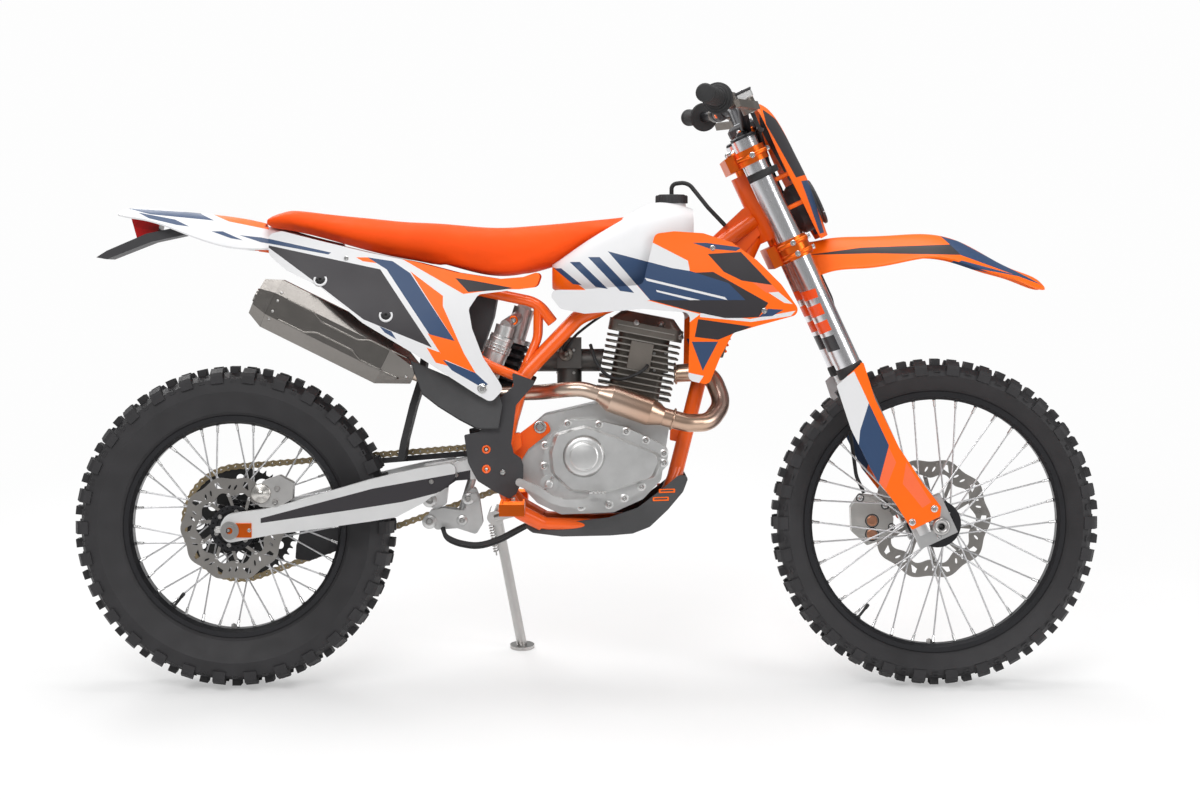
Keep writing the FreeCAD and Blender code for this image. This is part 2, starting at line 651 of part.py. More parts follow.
def belt(rear_radius, front_radius, y_from, y_to):
    """A closed strip round both sprockets, filled to the given radii."""
    rear = REAR_AXLE
    front = V(FRONT_SPROCKET_X, 0, FRONT_SPROCKET_Z)
    span = (front - rear).Length
    rise = math.atan2(front.z - rear.z, front.x - rear.x)
    spread = math.acos((rear_radius - front_radius) / span)
    points = []
    for sign in (1, -1):
        angle = rise + sign * spread
        out = V(math.cos(angle), 0, math.sin(angle))
        points.append((rear + out * rear_radius, front + out * front_radius))
    nose = front + V(math.cos(rise), 0, math.sin(rise)) * front_radius
    back = rear - V(math.cos(rise), 0, math.sin(rise)) * rear_radius
    edges = [
        Part.LineSegment(points[0][0], points[0][1]).toShape(),
        Part.Arc(points[0][1], nose, points[1][1]).toShape(),
        Part.LineSegment(points[1][1], points[1][0]).toShape(),
        Part.Arc(points[1][0], back, points[0][0]).toShape(),
    ]
    face = Part.Face(Part.Wire(edges))
    face.translate(V(0, y_from, 0))
    return face.extrude(V(0, y_to - y_from, 0))


def chain_radii():
    return CHAIN_PITCH / (2 * math.sin(math.pi / SPROCKET_TEETH)), FRONT_SPROCKET_RADIUS


def chain():
    """Two side plates round both sprockets, tied by a bar at each pin of the straight runs."""
    rear_radius, front_radius = chain_radii()
    parts = []
    for side in (-1, 1):
        outer = CHAIN_Y + side * CHAIN_HALF_WIDTH
        inner = outer - side * CHAIN_PLATE
        low, high = min(outer, inner), max(outer, inner)
        ring = belt(rear_radius + CHAIN_PLATE_HALF, front_radius + CHAIN_PLATE_HALF, low, high)
        hollow = belt(rear_radius - CHAIN_PLATE_HALF, front_radius - CHAIN_PLATE_HALF, low, high)
        parts.append(ring.cut(hollow))
    rear = REAR_AXLE
    front = V(FRONT_SPROCKET_X, 0, FRONT_SPROCKET_Z)
    rise = math.atan2(front.z - rear.z, front.x - rear.x)
    spread = math.acos((rear_radius - front_radius) / (front - rear).Length)
    reach = CHAIN_HALF_WIDTH - CHAIN_PLATE
    size = 2 * PIN_BAR_HALF
    for sign in (1, -1):
        angle = rise + sign * spread
        out = V(math.cos(angle), 0, math.sin(angle))
        start = rear + out * rear_radius
        end = front + out * front_radius
        count = int((end - start).Length / CHAIN_PITCH)
        for k in range(CHAIN_FIRST_ROLLER, count):
            here = start + (end - start) * (k / count)
            corner = here + V(-PIN_BAR_HALF, CHAIN_Y - reach, -PIN_BAR_HALF)
            parts.append(Part.makeBox(size, 2 * reach, size, corner))
    return fused(parts)


SLIDER_THICKNESS = 11.0
SLIDER_SHARES = (0.145074, 0.347503)
SLIDER_REAR, SLIDER_FRONT = of_wheelbase(SLIDER_SHARES)
SLIDER_WIDTH = 18.0
SLIDER_DROP = 40.0
SPROCKET_WAY_RADIUS = 129.0
GUIDE_HALF_GAP = 11.0
GUIDE_WALL = 4.0
GUIDE_SHARES = (
    (0.2226, -0.19), (0.2742, -0.21), (0.3903, -0.075), (0.3935, 0.26), (0.2742, 0.21),
    (0.229, 0.09),
)


def chain_slider():
    """A rubbing strip on the left arm, just under the chain's upper run."""
    rear_radius, front_radius = chain_radii()
    gap = CHAIN_PLATE_HALF + RUNNING_GAP
    top = belt(rear_radius - gap, front_radius - gap, FRONT_ARM_OUTER - SLIDER_WIDTH, FRONT_ARM_OUTER)
    low = gap + SLIDER_THICKNESS
    inner = belt(rear_radius - low, front_radius - low, 0, ARM_HALF)
    arm = slab(ARM_ROOM.outline(FRONT_ARM_SHARES), FRONT_ARM_INNER, FRONT_ARM_OUTER + SEAT_GAP, OVERRUN)
    arm.translate(V(0, 0, SEAT_GAP))
    strip = Part.makeBox(SLIDER_FRONT - SLIDER_REAR, ARM_HALF, ARM_HEIGHT,
                         V(SLIDER_REAR, 0, PIVOT_Z - SLIDER_DROP))
    return top.cut(inner).common(strip).cut(arm)


def chain_guide():
    """A block under the left arm that the chain's lower run passes through."""
    y_from = CHAIN_Y - GUIDE_HALF_GAP - GUIDE_WALL
    y_to = CHAIN_Y + GUIDE_HALF_GAP + GUIDE_WALL
    block = slab(ARM_ROOM.outline(GUIDE_SHARES), y_from, y_to, GUIDE_WALL)
    rear_radius, front_radius = chain_radii()
    reach = CHAIN_PLATE_HALF + GUIDE_WALL
    y_in, y_out = CHAIN_Y - GUIDE_HALF_GAP, CHAIN_Y + GUIDE_HALF_GAP
    outside = belt(rear_radius + reach, front_radius + reach, y_in, y_out)
    way = outside.cut(belt(rear_radius - reach, front_radius - reach, y_in, y_out))
    wheel_way = disc(SPROCKET_WAY_RADIUS, 0, ARM_HALF * 2, REAR_AXLE)
    return block.cut([way, wheel_way, swingarm_side_block()])


def swingarm_side_block():
    return slab(ARM_ROOM.outline(ARM_SIDE_SHARES), ARM_INNER - SEAT_GAP, ARM_HALF + OVERRUN, ARM_CORNER)


# Shock absorber and its linkage

SHOCK_RADIUS = 22.0
SPRING_RADIUS = 34.0
SPRING_WIRE = 6.0
SPRING_COILS = 11
SHOCK_EYE_RADIUS = 15.0
SHOCK_EYE_HALF = 14.0
SHOCK_LOW_SHARES = ((0.395, 0.0, 0.065),)
SHOCK_HIGH_SHARES = ((0.51, 0.0, 0.625),)
SPRING_SPAN_SHARES = (0.42, 0.84)
RESERVOIR_SHARES = ((0.4467, -0.62, 0.4525), (0.4733, -0.62, 0.5525))
RESERVOIR_RADIUS = 25.0
RESERVOIR_ARM_SHARES = ((0.4783, -0.62, 0.58), (0.505, 0.0, 0.6075))
ROCKER_SHARES = (
    (0.6839, 0.275), (0.7177, 0.16), (0.7903, 0.175), (0.8548, 0.11), (0.8774, 0.225),
    (0.8645, 0.5), (0.8484, 0.62), (0.8226, 0.55), (0.8194, 0.36), (0.7419, 0.39),
    (0.6968, 0.36),
)
ROCKER_HALF = 19.0
ROCKER_PLATE = 7.0
LINK_PIN_RADIUS = 8.0
LINK_PINS_SHARES = ((0.7177, 0.275), (0.7968, 0.26))
LINK_BOSS_SHARES = ((0.8484, 0.51),)
LINK_BOSS_REACH = 6.0
COIL_SHARES = (0.3, 0.7)
SHOCK_ROD_RADIUS = 9.0
COLLAR_SHARE = 0.02
RESERVOIR_ARM_RADIUS = 13.0


def shock_body():
    """Damper tube and rod with an eye at each end."""
    low, high = FRAME_ROOM.path(SHOCK_LOW_SHARES)[0], FRAME_ROOM.path(SHOCK_HIGH_SHARES)[0]
    axis = high - low
    waist = low + axis * SPRING_SPAN_SHARES[0]
    collar = low + axis * SPRING_SPAN_SHARES[1]
    parts = [
        rod(low, waist, SHOCK_ROD_RADIUS),
        rod(waist, high, SHOCK_RADIUS),
        disc(SHOCK_EYE_RADIUS, -SHOCK_EYE_HALF, SHOCK_EYE_HALF, low),
        disc(SHOCK_EYE_RADIUS, -SHOCK_EYE_HALF, SHOCK_EYE_HALF, high),
        rod(waist, waist + axis * COLLAR_SHARE, SPRING_RADIUS),
        rod(collar, collar + axis * COLLAR_SHARE, SPRING_RADIUS),
    ]
    bottom, top = FRAME_ROOM.path(RESERVOIR_SHARES)
    knob, eye = FRAME_ROOM.path(RESERVOIR_ARM_SHARES)
    parts += [rod(knob, eye, RESERVOIR_ARM_RADIUS), rod(bottom, top, RESERVOIR_RADIUS),
              rod(top, knob, RESERVOIR_RADIUS - OVERRUN)]
    return fused(parts)


def shock_spring():
    """Coils as a ribbed sleeve round the damper tube."""
    low, high = FRAME_ROOM.path(SHOCK_LOW_SHARES)[0], FRAME_ROOM.path(SHOCK_HIGH_SHARES)[0]
    axis = high - low
    start = low + axis * (SPRING_SPAN_SHARES[0] + COLLAR_SHARE)
    end = low + axis * SPRING_SPAN_SHARES[1]
    length = (end - start).Length - 2 * SEAT_GAP
    pitch = length / SPRING_COILS
    points = [V(SHOCK_RADIUS + RUNNING_GAP, 0, 0)]
    for k in range(SPRING_COILS):
        points.append(V(SPRING_RADIUS - SPRING_WIRE, 0, k * pitch))
        points += [V(SPRING_RADIUS, 0, (k + share) * pitch) for share in COIL_SHARES]
    points.append(V(SPRING_RADIUS - SPRING_WIRE, 0, length))
    points.append(V(SHOCK_RADIUS + RUNNING_GAP, 0, length))
    solid = Part.Face(Part.makePolygon(points + points[:1])).revolve(ORIGIN, Z_AXIS, FULL_TURN_DEG)
    solid.rotate(ORIGIN, Y_AXIS, math.degrees(math.atan2(axis.x, axis.z)))
    solid.translate(start + axis.normalize() * SEAT_GAP)
    return solid


def shock_linkage():
    """The rocker between swingarm, frame and shock, with its pins."""
    side = slab(ARM_ROOM.outline(ROCKER_SHARES), ROCKER_HALF, ROCKER_HALF + ROCKER_PLATE, LINK_PIN_RADIUS)
    pins = []
    for point in ARM_ROOM.outline(LINK_PINS_SHARES):
        pins.append(disc(LINK_PIN_RADIUS, -ROCKER_HALF - ROCKER_PLATE, ROCKER_HALF + ROCKER_PLATE, point))
    for point in ARM_ROOM.outline(LINK_BOSS_SHARES):
        reach = ROCKER_HALF + ROCKER_PLATE + LINK_BOSS_REACH
        pins.append(both_sides(disc(LINK_PIN_RADIUS, ROCKER_HALF, reach, point)))
    eye = disc(SHOCK_EYE_RADIUS + RUNNING_GAP, -SHOCK_EYE_HALF - RUNNING_GAP, SHOCK_EYE_HALF + RUNNING_GAP,
               FRAME_ROOM.path(SHOCK_LOW_SHARES)[0])
    return fused([both_sides(side)] + pins).cut(eye)


# Brakes

CALIPER_GAP = 5.0
CALIPER_SHARES = (
    (0.1065, 0.5), (0.1387, 0.7), (0.1935, 0.76), (0.2419, 0.68), (0.2387, 0.51),
    (0.1871, 0.42), (0.129, 0.43),
)
CALIPER_OUTER = 84.0
CALIPER_INNER = 46.0
FORK_ROOM_SHARES = (-0.040486, -0.040486, 0.202429, 0.674764)
FORK_ROOM_REAR, FORK_ROOM_LOW, FORK_ROOM_LENGTH, FORK_ROOM_HEIGHT = of_wheelbase(FORK_ROOM_SHARES)
FORK_ROOM_HALF = 160.0
FORK_ROOM = Room(FORK_ROOM_REAR, FORK_ROOM_LOW, FORK_ROOM_LENGTH, FORK_ROOM_HEIGHT, FORK_ROOM_HALF)
FRONT_CALIPER_SHARES = (
    (-0.1028, 0.0671), (0.0916, 0.062), (0.154, 0.0974), (0.1358, 0.1496), (0.0069, 0.1732),
    (-0.093, 0.1563), (-0.1602, 0.1083),
)
CALIPER_ARM_SHARES = ((-0.0464, 0.1034), (0.0621, 0.1566), (0.2961, 0.1415), (0.2407, 0.0941))
FRONT_CALIPER_INNER = 48.0
FRONT_CALIPER_OUTER = 84.0


def rear_caliper():
    """A sliding caliper over the disc, bolted to the right arm."""
    block = slab(ARM_ROOM.outline(CALIPER_SHARES), -CALIPER_OUTER, -CALIPER_INNER, OVERRUN)
    slot = disc(REAR_DISC_RADIUS + CALIPER_GAP, REAR_DISC_Y - DISC_THICKNESS / 2 - CALIPER_GAP,
                REAR_DISC_Y + DISC_THICKNESS / 2 + CALIPER_GAP, REAR_AXLE)
    arm = mirrored(swingarm_side_block())
    return block.cut([slot, arm])


def front_caliper():
    """A caliper over the left disc, on the fork's lug."""
    block = slab(FORK_ROOM.outline(FRONT_CALIPER_SHARES), FRONT_CALIPER_INNER, FRONT_CALIPER_OUTER, OVERRUN)
    slot = disc(FRONT_DISC_RADIUS + CALIPER_GAP, FRONT_DISC_Y - DISC_THICKNESS / 2 - CALIPER_GAP,
                FRONT_DISC_Y + DISC_THICKNESS / 2 + CALIPER_GAP, ORIGIN)
    slot.translate(V(STEM_OFFSET + AXLE_OFFSET, 0, 0))
    arm = slab(FORK_ROOM.outline(CALIPER_ARM_SHARES), FRONT_CALIPER_OUTER - OVERRUN,
               FRONT_CALIPER_OUTER + OVERRUN, OVERRUN)
    return steered(fused([block.cut(slot), arm]).cut(fork_leg(1, SEAT_GAP)))


# Axles

AXLE_HALF = 122.0
FRONT_AXLE_HALF = 128.0
AXLE_NUT_RADIUS = 19.0
AXLE_NUT = 9.0
BLOCK_HALF_LENGTH = 22.0
BLOCK_HALF_HEIGHT = 17.0
SPACER_RADIUS = 17.0
LUG_REACH = 18.0
FRONT_NUT_RADIUS = 16.0


def hollow_axle(centre, radius, half, seat_half, spacer_from, spacer_to, nut_radius):
    """A hollow axle with a collar outside each support and spacers up to the hub."""
    parts = [disc(radius, -half, half, centre)]
    parts.append(both_sides(disc(nut_radius, seat_half + SEAT_GAP, seat_half + AXLE_NUT)))
    parts[-1].translate(centre)
    spacers = both_sides(disc(SPACER_RADIUS, spacer_from, spacer_to - SEAT_GAP))
    spacers.translate(centre)
    parts.append(spacers)
    return fused(parts).cut(disc(AXLE_BORE, -half, half, centre))


def rear_axle():
    """The hollow rear axle through both arms."""
    spacer_from = CHAIN_Y + SPROCKET_THICKNESS / 2 + OVERRUN
    return hollow_axle(REAR_AXLE, REAR_AXLE_RADIUS, AXLE_HALF, ARM_HALF,
                       spacer_from, ARM_INNER, AXLE_NUT_RADIUS)


def front_axle():
    """The hollow front axle through both fork lugs."""
    spacer_from = FRONT_DISC_Y + DISC_THICKNESS / 2 + OVERRUN
    inner, outer = FORK_HALF_SPACING - LUG_REACH, FORK_HALF_SPACING + LUG_REACH
    return hollow_axle(FRONT_AXLE, FRONT_AXLE_RADIUS, FRONT_AXLE_HALF, outer,
                       spacer_from, inner, FRONT_NUT_RADIUS)


# Engine

ENGINE_ROOM_SHARES = (0.404858, 0.242915, 0.242915, 0.310391)
ENGINE_REAR, ENGINE_LOW, ENGINE_LENGTH, ENGINE_HEIGHT = of_wheelbase(ENGINE_ROOM_SHARES)
ENGINE_HALF = 120.0
ENGINE_ROOM = Room(ENGINE_REAR, ENGINE_LOW, ENGINE_LENGTH, ENGINE_HEIGHT, ENGINE_HALF)
CASE_HALF = 70.0
CASE_SHARES = (
    (0.0111, 0.3043), (0.0556, 0.4022), (0.1528, 0.4674), (0.4444, 0.5217), (0.8472, 0.5217),
    (0.8833, 0.4348), (0.8333, 0.1739), (0.7278, 0.087), (0.5556, 0.0261), (0.25, 0.0174),
    (0.1111, 0.0696), (0.0111, 0.1522),
)
SPROCKET_NOTCH_RADIUS = 57.0
SPROCKET_NOTCH_Y = 56.0
COVER_SHARES = (
    (0.1389, 0.2283), (0.1583, 0.3478), (0.2889, 0.4522), (0.4722, 0.4478), (0.6306, 0.4174),
    (0.75, 0.3739), (0.8778, 0.3217), (0.8611, 0.2391), (0.7333, 0.1348), (0.5333, 0.0478),
    (0.3556, 0.0391), (0.2, 0.0826),
)
COVER_DEPTH = 26.0
CLUTCH_SHARES = (0.504723, 0.330634)
CLUTCH_X, CLUTCH_Z = of_wheelbase(CLUTCH_SHARES)
CLUTCH_RADIUS = 76.0
CLUTCH_REACH = 112.0
CLUTCH_BOSS_RADIUS = 27.0
LID_SHARES = (
    (0.2111, 0.3913), (0.3833, 0.4283), (0.5583, 0.3826), (0.8139, 0.3022), (0.8417, 0.2674),
    (0.7944, 0.187), (0.5, 0.1174), (0.2944, 0.1304), (0.1917, 0.2109), (0.1778, 0.3043),
)
LID_STEP = 4.0
LID_SLOPE_SHARE = 0.93
FILTER_SHARES = (0.448718, 0.292848)
FILTER_X, FILTER_Z = of_wheelbase(FILTER_SHARES)
FILTER_RADIUS = 19.0
IGNITION_SHARES = (0.533063, 0.323887)
IGNITION_X, IGNITION_Z = of_wheelbase(IGNITION_SHARES)
IGNITION_RADIUS = 68.0
IGNITION_REACH = 100.0
CYLINDER_TILT_DEG = 11.0
CYLINDER_SHARES = (0.565452, 0.402159)
CYLINDER_X, CYLINDER_Z = of_wheelbase(CYLINDER_SHARES)
CYLINDER_HEIGHT = 152.0
CYLINDER_HALF_LENGTH = 54.0
CYLINDER_HALF_WIDTH = 56.0
FIN_HALF_LENGTH = 78.0
FIN_HALF_WIDTH = 76.0
FIN_THICKNESS = 3.5
FIN_COUNT = 12
HEAD_HEIGHT = 42.0
HEAD_CORNER = 16.0
PORT_RADIUS = 21.0


def in_cylinder(shape):
    """Leans a shape drawn about an upright cylinder axis forward with the cylinder."""
    copy = shape.copy()
    copy.rotate(ORIGIN, Y_AXIS, CYLINDER_TILT_DEG)
    copy.translate(V(CYLINDER_X, 0, CYLINDER_Z))
    return copy


def box_corners(half_long, half_wide, up):
    return [V(half_long * a, half_wide * c, up) for a, c in ((1, 1), (-1, 1), (-1, -1), (1, -1))]


def rounded_box(half_long, half_wide, low, high, corner):
    outline = rounded(box_corners(half_long, half_wide, low), corner)
    return Part.Face(outline).extrude(V(0, 0, high - low))


def engine_case():
    """The crankcase block with its gearbox, notched for the front sprocket."""
    case = slab(ENGINE_ROOM.outline(CASE_SHARES), -CASE_HALF, CASE_HALF, HEAD_CORNER)
    centre = V(FRONT_SPROCKET_X, 0, FRONT_SPROCKET_Z)
    notch = disc(SPROCKET_NOTCH_RADIUS, SPROCKET_NOTCH_Y, CASE_HALF + OVERRUN, centre)
    shaft = disc(STEM_RADIUS, SPROCKET_NOTCH_Y - OVERRUN, CHAIN_Y - SPROCKET_THICKNESS / 2, centre)
    wheel = disc(FRONT_SPROCKET_RADIUS - ROLLER_RADIUS, CHAIN_Y - SPROCKET_THICKNESS / 2,
                 CHAIN_Y + SPROCKET_THICKNESS / 2, centre)
    cradle = pipe(FRAME_ROOM.path(CRADLE_PATH_SHARES), CRADLE_RADIUS + RUNNING_GAP, FRAME_BEND)
    pivot_way = disc(PIVOT_BOSS_RADIUS + RUNNING_GAP, -ENGINE_HALF, ENGINE_HALF, V(PIVOT_X, 0, PIVOT_Z))
    belt_way = slab([centre + V(-SPROCKET_NOTCH_RADIUS * 2, 0, -SPROCKET_NOTCH_RADIUS),
                     centre + V(0, 0, -SPROCKET_NOTCH_RADIUS), centre + V(0, 0, SPROCKET_NOTCH_RADIUS),
                     centre + V(-SPROCKET_NOTCH_RADIUS * 2, 0, SPROCKET_NOTCH_RADIUS)],
                    SPROCKET_NOTCH_Y, CASE_HALF + OVERRUN)
    return fused([case.cut([notch, both_sides(cradle), pivot_way, belt_way]), shaft, wheel])


def shrunk(points, share):
    """The outline's points drawn in towards their middle."""
    middle = sum(points, ORIGIN) * (1 / len(points))
    return [middle + (point - middle) * share for point in points]


def engine_covers():
    """Right clutch cover with its raised lid and small filter cap, and the left ignition cover."""
    face = -CASE_HALF - SEAT_GAP
    step = -CASE_HALF - COVER_DEPTH
    base = slab(ENGINE_ROOM.outline(COVER_SHARES), step, face, HEAD_CORNER)
    outline = ENGINE_ROOM.outline(LID_SHARES)
    rim, top = [rounded(points, HEAD_CORNER) for points in (outline, shrunk(outline, LID_SLOPE_SHARE))]
    rim.translate(V(0, step, 0))
    top.translate(V(0, -CLUTCH_REACH, 0))
    boss = disc(CLUTCH_BOSS_RADIUS, -CLUTCH_REACH - LID_STEP, step, V(CLUTCH_X, 0, CLUTCH_Z))
    cap = disc(FILTER_RADIUS, step - LID_STEP, face, V(FILTER_X, 0, FILTER_Z))
    right = fused([base, loft([rim, top]), boss, cap])
    left = disc(IGNITION_RADIUS, CASE_HALF + SEAT_GAP, IGNITION_REACH, V(IGNITION_X, 0, IGNITION_Z))
    return Part.makeCompound([right, left])


def cylinder():
    """The cylinder barrel with its stack of cooling fins."""
    barrel = rounded_box(CYLINDER_HALF_LENGTH, CYLINDER_HALF_WIDTH, 0, CYLINDER_HEIGHT, HEAD_CORNER)
    pitch = CYLINDER_HEIGHT / FIN_COUNT
    parts = [barrel]
    for k in range(1, FIN_COUNT):
        low = (k + 1) * pitch - FIN_THICKNESS
        parts.append(rounded_box(FIN_HALF_LENGTH, FIN_HALF_WIDTH, low, low + FIN_THICKNESS, HEAD_CORNER))
    whole = in_cylinder(fused(parts))
    return whole.cut(grown_case())


def grown_case():
    reach = CASE_HALF + COVER_DEPTH
    case = slab(ENGINE_ROOM.outline(CASE_SHARES), -reach, reach, HEAD_CORNER)
    lifted = case.copy()
    lifted.translate(V(0, 0, SEAT_GAP))
    return case.fuse(lifted)


def cylinder_head():
    """The finned head under a cover that narrows to a dome."""
    middle = CYLINDER_HEIGHT + HEAD_HEIGHT / 2
    base = rounded_box(FIN_HALF_LENGTH, FIN_HALF_WIDTH, CYLINDER_HEIGHT + SEAT_GAP, middle, HEAD_CORNER)
    low = box_corners(FIN_HALF_LENGTH - FIN_THICKNESS, FIN_HALF_WIDTH - FIN_THICKNESS, middle)
    high = box_corners(CYLINDER_HALF_LENGTH, CYLINDER_HALF_WIDTH, CYLINDER_HEIGHT + HEAD_HEIGHT)
    dome = loft([rounded(low, HEAD_CORNER), rounded(high, HEAD_CORNER)])
    return in_cylinder(fused([base, dome]))


INTAKE_SHARES = ((0.1111, 0.0, 0.7174), (0.5278, 0.0, 0.7174))
INTAKE_RADIUS = 24.0
CARB_HALF_WIDTH = 32.0
CARB_LENGTH_SHARES = (0.28, 0.62)
BOWL_RADIUS = 26.0
BOWL_DROP = 52.0


def carburettor():
    """Intake stub, carburettor body and float bowl between cylinder and airbox."""
    rear, front = ENGINE_ROOM.path(INTAKE_SHARES)
    along = front - rear
    start = rear + along * CARB_LENGTH_SHARES[0]
    end = rear + along * CARB_LENGTH_SHARES[1]
    body = Part.makeBox((end - start).Length, 2 * CARB_HALF_WIDTH, 2 * CARB_HALF_WIDTH,
                        start - V(0, CARB_HALF_WIDTH, CARB_HALF_WIDTH / 2))
    middle = (start + end) * 0.5
    bowl = rod(middle, middle - V(0, 0, BOWL_DROP), BOWL_RADIUS)
    whole = fused([rod(rear, front, INTAKE_RADIUS), body, bowl])
    barrel = in_cylinder(rounded_box(CYLINDER_HALF_LENGTH + SEAT_GAP, CYLINDER_HALF_WIDTH, 0,
                                     CYLINDER_HEIGHT + HEAD_HEIGHT, HEAD_CORNER))
    fins = in_cylinder(rounded_box(FIN_HALF_LENGTH + SEAT_GAP, FIN_HALF_WIDTH, 0,
                                   CYLINDER_HEIGHT + HEAD_HEIGHT, HEAD_CORNER))
    return whole.cut([barrel, fins, shock_way()])


def shock_way():
    low, high = FRAME_ROOM.path(SHOCK_LOW_SHARES)[0], FRAME_ROOM.path(SHOCK_HIGH_SHARES)[0]
    return rod(low, high + (high - low) * COLLAR_SHARE, SPRING_RADIUS + OVERRUN)


AIRBOX_SHARES = (
    (0.3333, 0.72), (0.22, 0.745), (0.25, 0.6125), (0.3167, 0.525), (0.3917, 0.5),
    (0.4333, 0.5), (0.4567, 0.6), (0.4667, 0.6813),
)
AIRBOX_HALF = 61.0


def airbox():
    """The air filter box under the seat, ahead of the rear tyre."""
    box = slab(FRAME_ROOM.outline(AIRBOX_SHARES), -AIRBOX_HALF, AIRBOX_HALF, HEAD_CORNER)
    return box.cut([shock_way(), subframe_way()])


# Exhaust

EXHAUST_ROOM_SHARES = (0.020243, 0.364372, 0.695007, 0.242915)
EXHAUST_REAR, EXHAUST_LOW, EXHAUST_LENGTH, EXHAUST_HEIGHT = of_wheelbase(EXHAUST_ROOM_SHARES)
EXHAUST_HALF = 165.0
EXHAUST_ROOM = Room(EXHAUST_REAR, EXHAUST_LOW, EXHAUST_LENGTH, EXHAUST_HEIGHT, EXHAUST_HALF)
HEADER_RADIUS = 19.0
CHAMBER_RADIUS = 29.0
LINK_RADIUS = 16.0
HEADER_BEND = 45.0
HEADER_PATH_SHARES = (
    (0.8689, -0.2061, 0.3389), (0.9456, -0.2545, 0.3556), (0.9709, -0.3636, 0.1667),
    (0.9417, -0.5697, 0.0611), (0.8951, -0.6788, 0.0611), (0.8466, -0.6909, 0.1),
)
CHAMBER_PATH_SHARES = ((0.8466, -0.6909, 0.1), (0.7155, -0.7273, 0.2333))
LINK_PATH_SHARES = (
    (0.7155, -0.7273, 0.2333), (0.6845, -0.7394, 0.2611), (0.6505, -0.6788, 0.2556),
    (0.6, -0.3758, 0.2333), (0.5146, -0.3576, 0.2278), (0.4272, -0.4606, 0.2667),
    (0.332, -0.6667, 0.3667),
)
SILENCER_PATH_SHARES = ((0.3466, -0.6667, 0.3472), (0.0602, -0.6667, 0.7556))
SILENCER_HALF_HEIGHT = 54.0
SILENCER_HALF_WIDTH = 45.0
SILENCER_FACET_SHARES = (
    (-0.45, -1.0), (0.45, -1.0), (1.0, -0.45), (1.0, 0.45),
    (0.45, 1.0), (-0.45, 1.0), (-1.0, 0.45), (-1.0, -0.45),
)
CONE_SHARE = 0.2
INLET_SHARE = 0.42
CAP_LENGTH = 34.0
CAP_SHARE = 0.72
TAIL_PIPE_RADIUS = 15.0


def exhaust_header():
    """The header pipe from the port, with its fatter chamber, back to the silencer."""
    parts = [
        pipe(EXHAUST_ROOM.path(HEADER_PATH_SHARES), HEADER_RADIUS, HEADER_BEND),
        pipe(EXHAUST_ROOM.path(LINK_PATH_SHARES), LINK_RADIUS, HEADER_BEND * 2),
    ]
    start, end = EXHAUST_ROOM.path(CHAMBER_PATH_SHARES)
    along = end - start
    length = along.Length
    cone = length * CONE_SHARE
    aim = along * (1 / length)
    parts += [
        Part.makeCone(HEADER_RADIUS, CHAMBER_RADIUS, cone, start, aim),
        Part.makeCylinder(CHAMBER_RADIUS, length - 2 * cone, start + aim * cone, aim),
        Part.makeCone(CHAMBER_RADIUS, LINK_RADIUS, cone, end - aim * cone, aim),
    ]
    whole = fused(parts)
    barrel = in_cylinder(rounded_box(FIN_HALF_LENGTH + SEAT_GAP, FIN_HALF_WIDTH + SEAT_GAP, 0,
                                     CYLINDER_HEIGHT + HEAD_HEIGHT, HEAD_CORNER))
    return whole.cut([barrel, silencer_body(SEAT_GAP)])


def facet_ring(centre, along, scale, grow=0.0):
    """An eight-sided section across the silencer."""
    aim = along * (1 / along.Length)
    up = Y_AXIS.cross(aim) * -1
    points = []
    for share_y, share_up in SILENCER_FACET_SHARES:
        points.append(centre + Y_AXIS * (share_y * (SILENCER_HALF_WIDTH * scale + grow))
                      + up * (share_up * (SILENCER_HALF_HEIGHT * scale + grow)))
    return Part.makePolygon(points + points[:1])


def silencer_body(grow=0.0):
    front, rear = EXHAUST_ROOM.path(SILENCER_PATH_SHARES)
    along = rear - front
    cone = front + along * CONE_SHARE
    front = front - along * (grow / along.Length)
    return fused([
        loft([facet_ring(front, along, INLET_SHARE, grow), facet_ring(cone, along, 1.0, grow)]),
        loft([facet_ring(cone, along, 1.0, grow), facet_ring(rear, along, 1.0, grow)]),
    ])


def silencer():
    """A faceted silencer with a tapered inlet."""
    return silencer_body()


def silencer_cap():
    """The tapered end cap with its outlet."""
    front, rear = EXHAUST_ROOM.path(SILENCER_PATH_SHARES)
    aim = (rear - front).normalize()
    start = rear + aim * SEAT_GAP
    end = start + aim * CAP_LENGTH
    body = loft([facet_ring(start, aim, 1.0), facet_ring(end, aim, CAP_SHARE)])
    outlet = rod(end - aim * CAP_LENGTH, end + aim * OVERRUN, TAIL_PIPE_RADIUS)
    bore = rod(start + aim * OVERRUN, end + aim * CAP_LENGTH, TAIL_PIPE_RADIUS - RIM_WALL)
    return fused([body, outlet]).cut(bore)


# Bodywork

BODY_ROOM_SHARES = (-0.161943, 0.391363, 0.97166, 0.323887)
BODY_REAR, BODY_LOW, BODY_LENGTH, BODY_HEIGHT = of_wheelbase(BODY_ROOM_SHARES)
BODY_HALF = 170.0
BODY_ROOM = Room(BODY_REAR, BODY_LOW, BODY_LENGTH, BODY_HEIGHT, BODY_HALF)
PANEL_THICKNESS = 3.0
PANEL_CORNER = 14.0
SEAT_STATIONS = (
    (0.2139, 0.8375, 0.4118, 0.0208), (0.2431, 0.8458, 0.4941, 0.0354),
    (0.3056, 0.8167, 0.5412, 0.0479), (0.375, 0.7771, 0.5529, 0.0667),
    (0.4444, 0.7479, 0.5294, 0.0792), (0.5, 0.7208, 0.4941, 0.0938),
    (0.5417, 0.7021, 0.4588, 0.1021), (0.5833, 0.7042, 0.4353, 0.1021),
    (0.625, 0.7271, 0.4118, 0.0896), (0.6667, 0.7625, 0.3882, 0.0667),
    (0.7153, 0.8083, 0.3529, 0.0354), (0.7542, 0.8458, 0.2824, 0.0167),
)
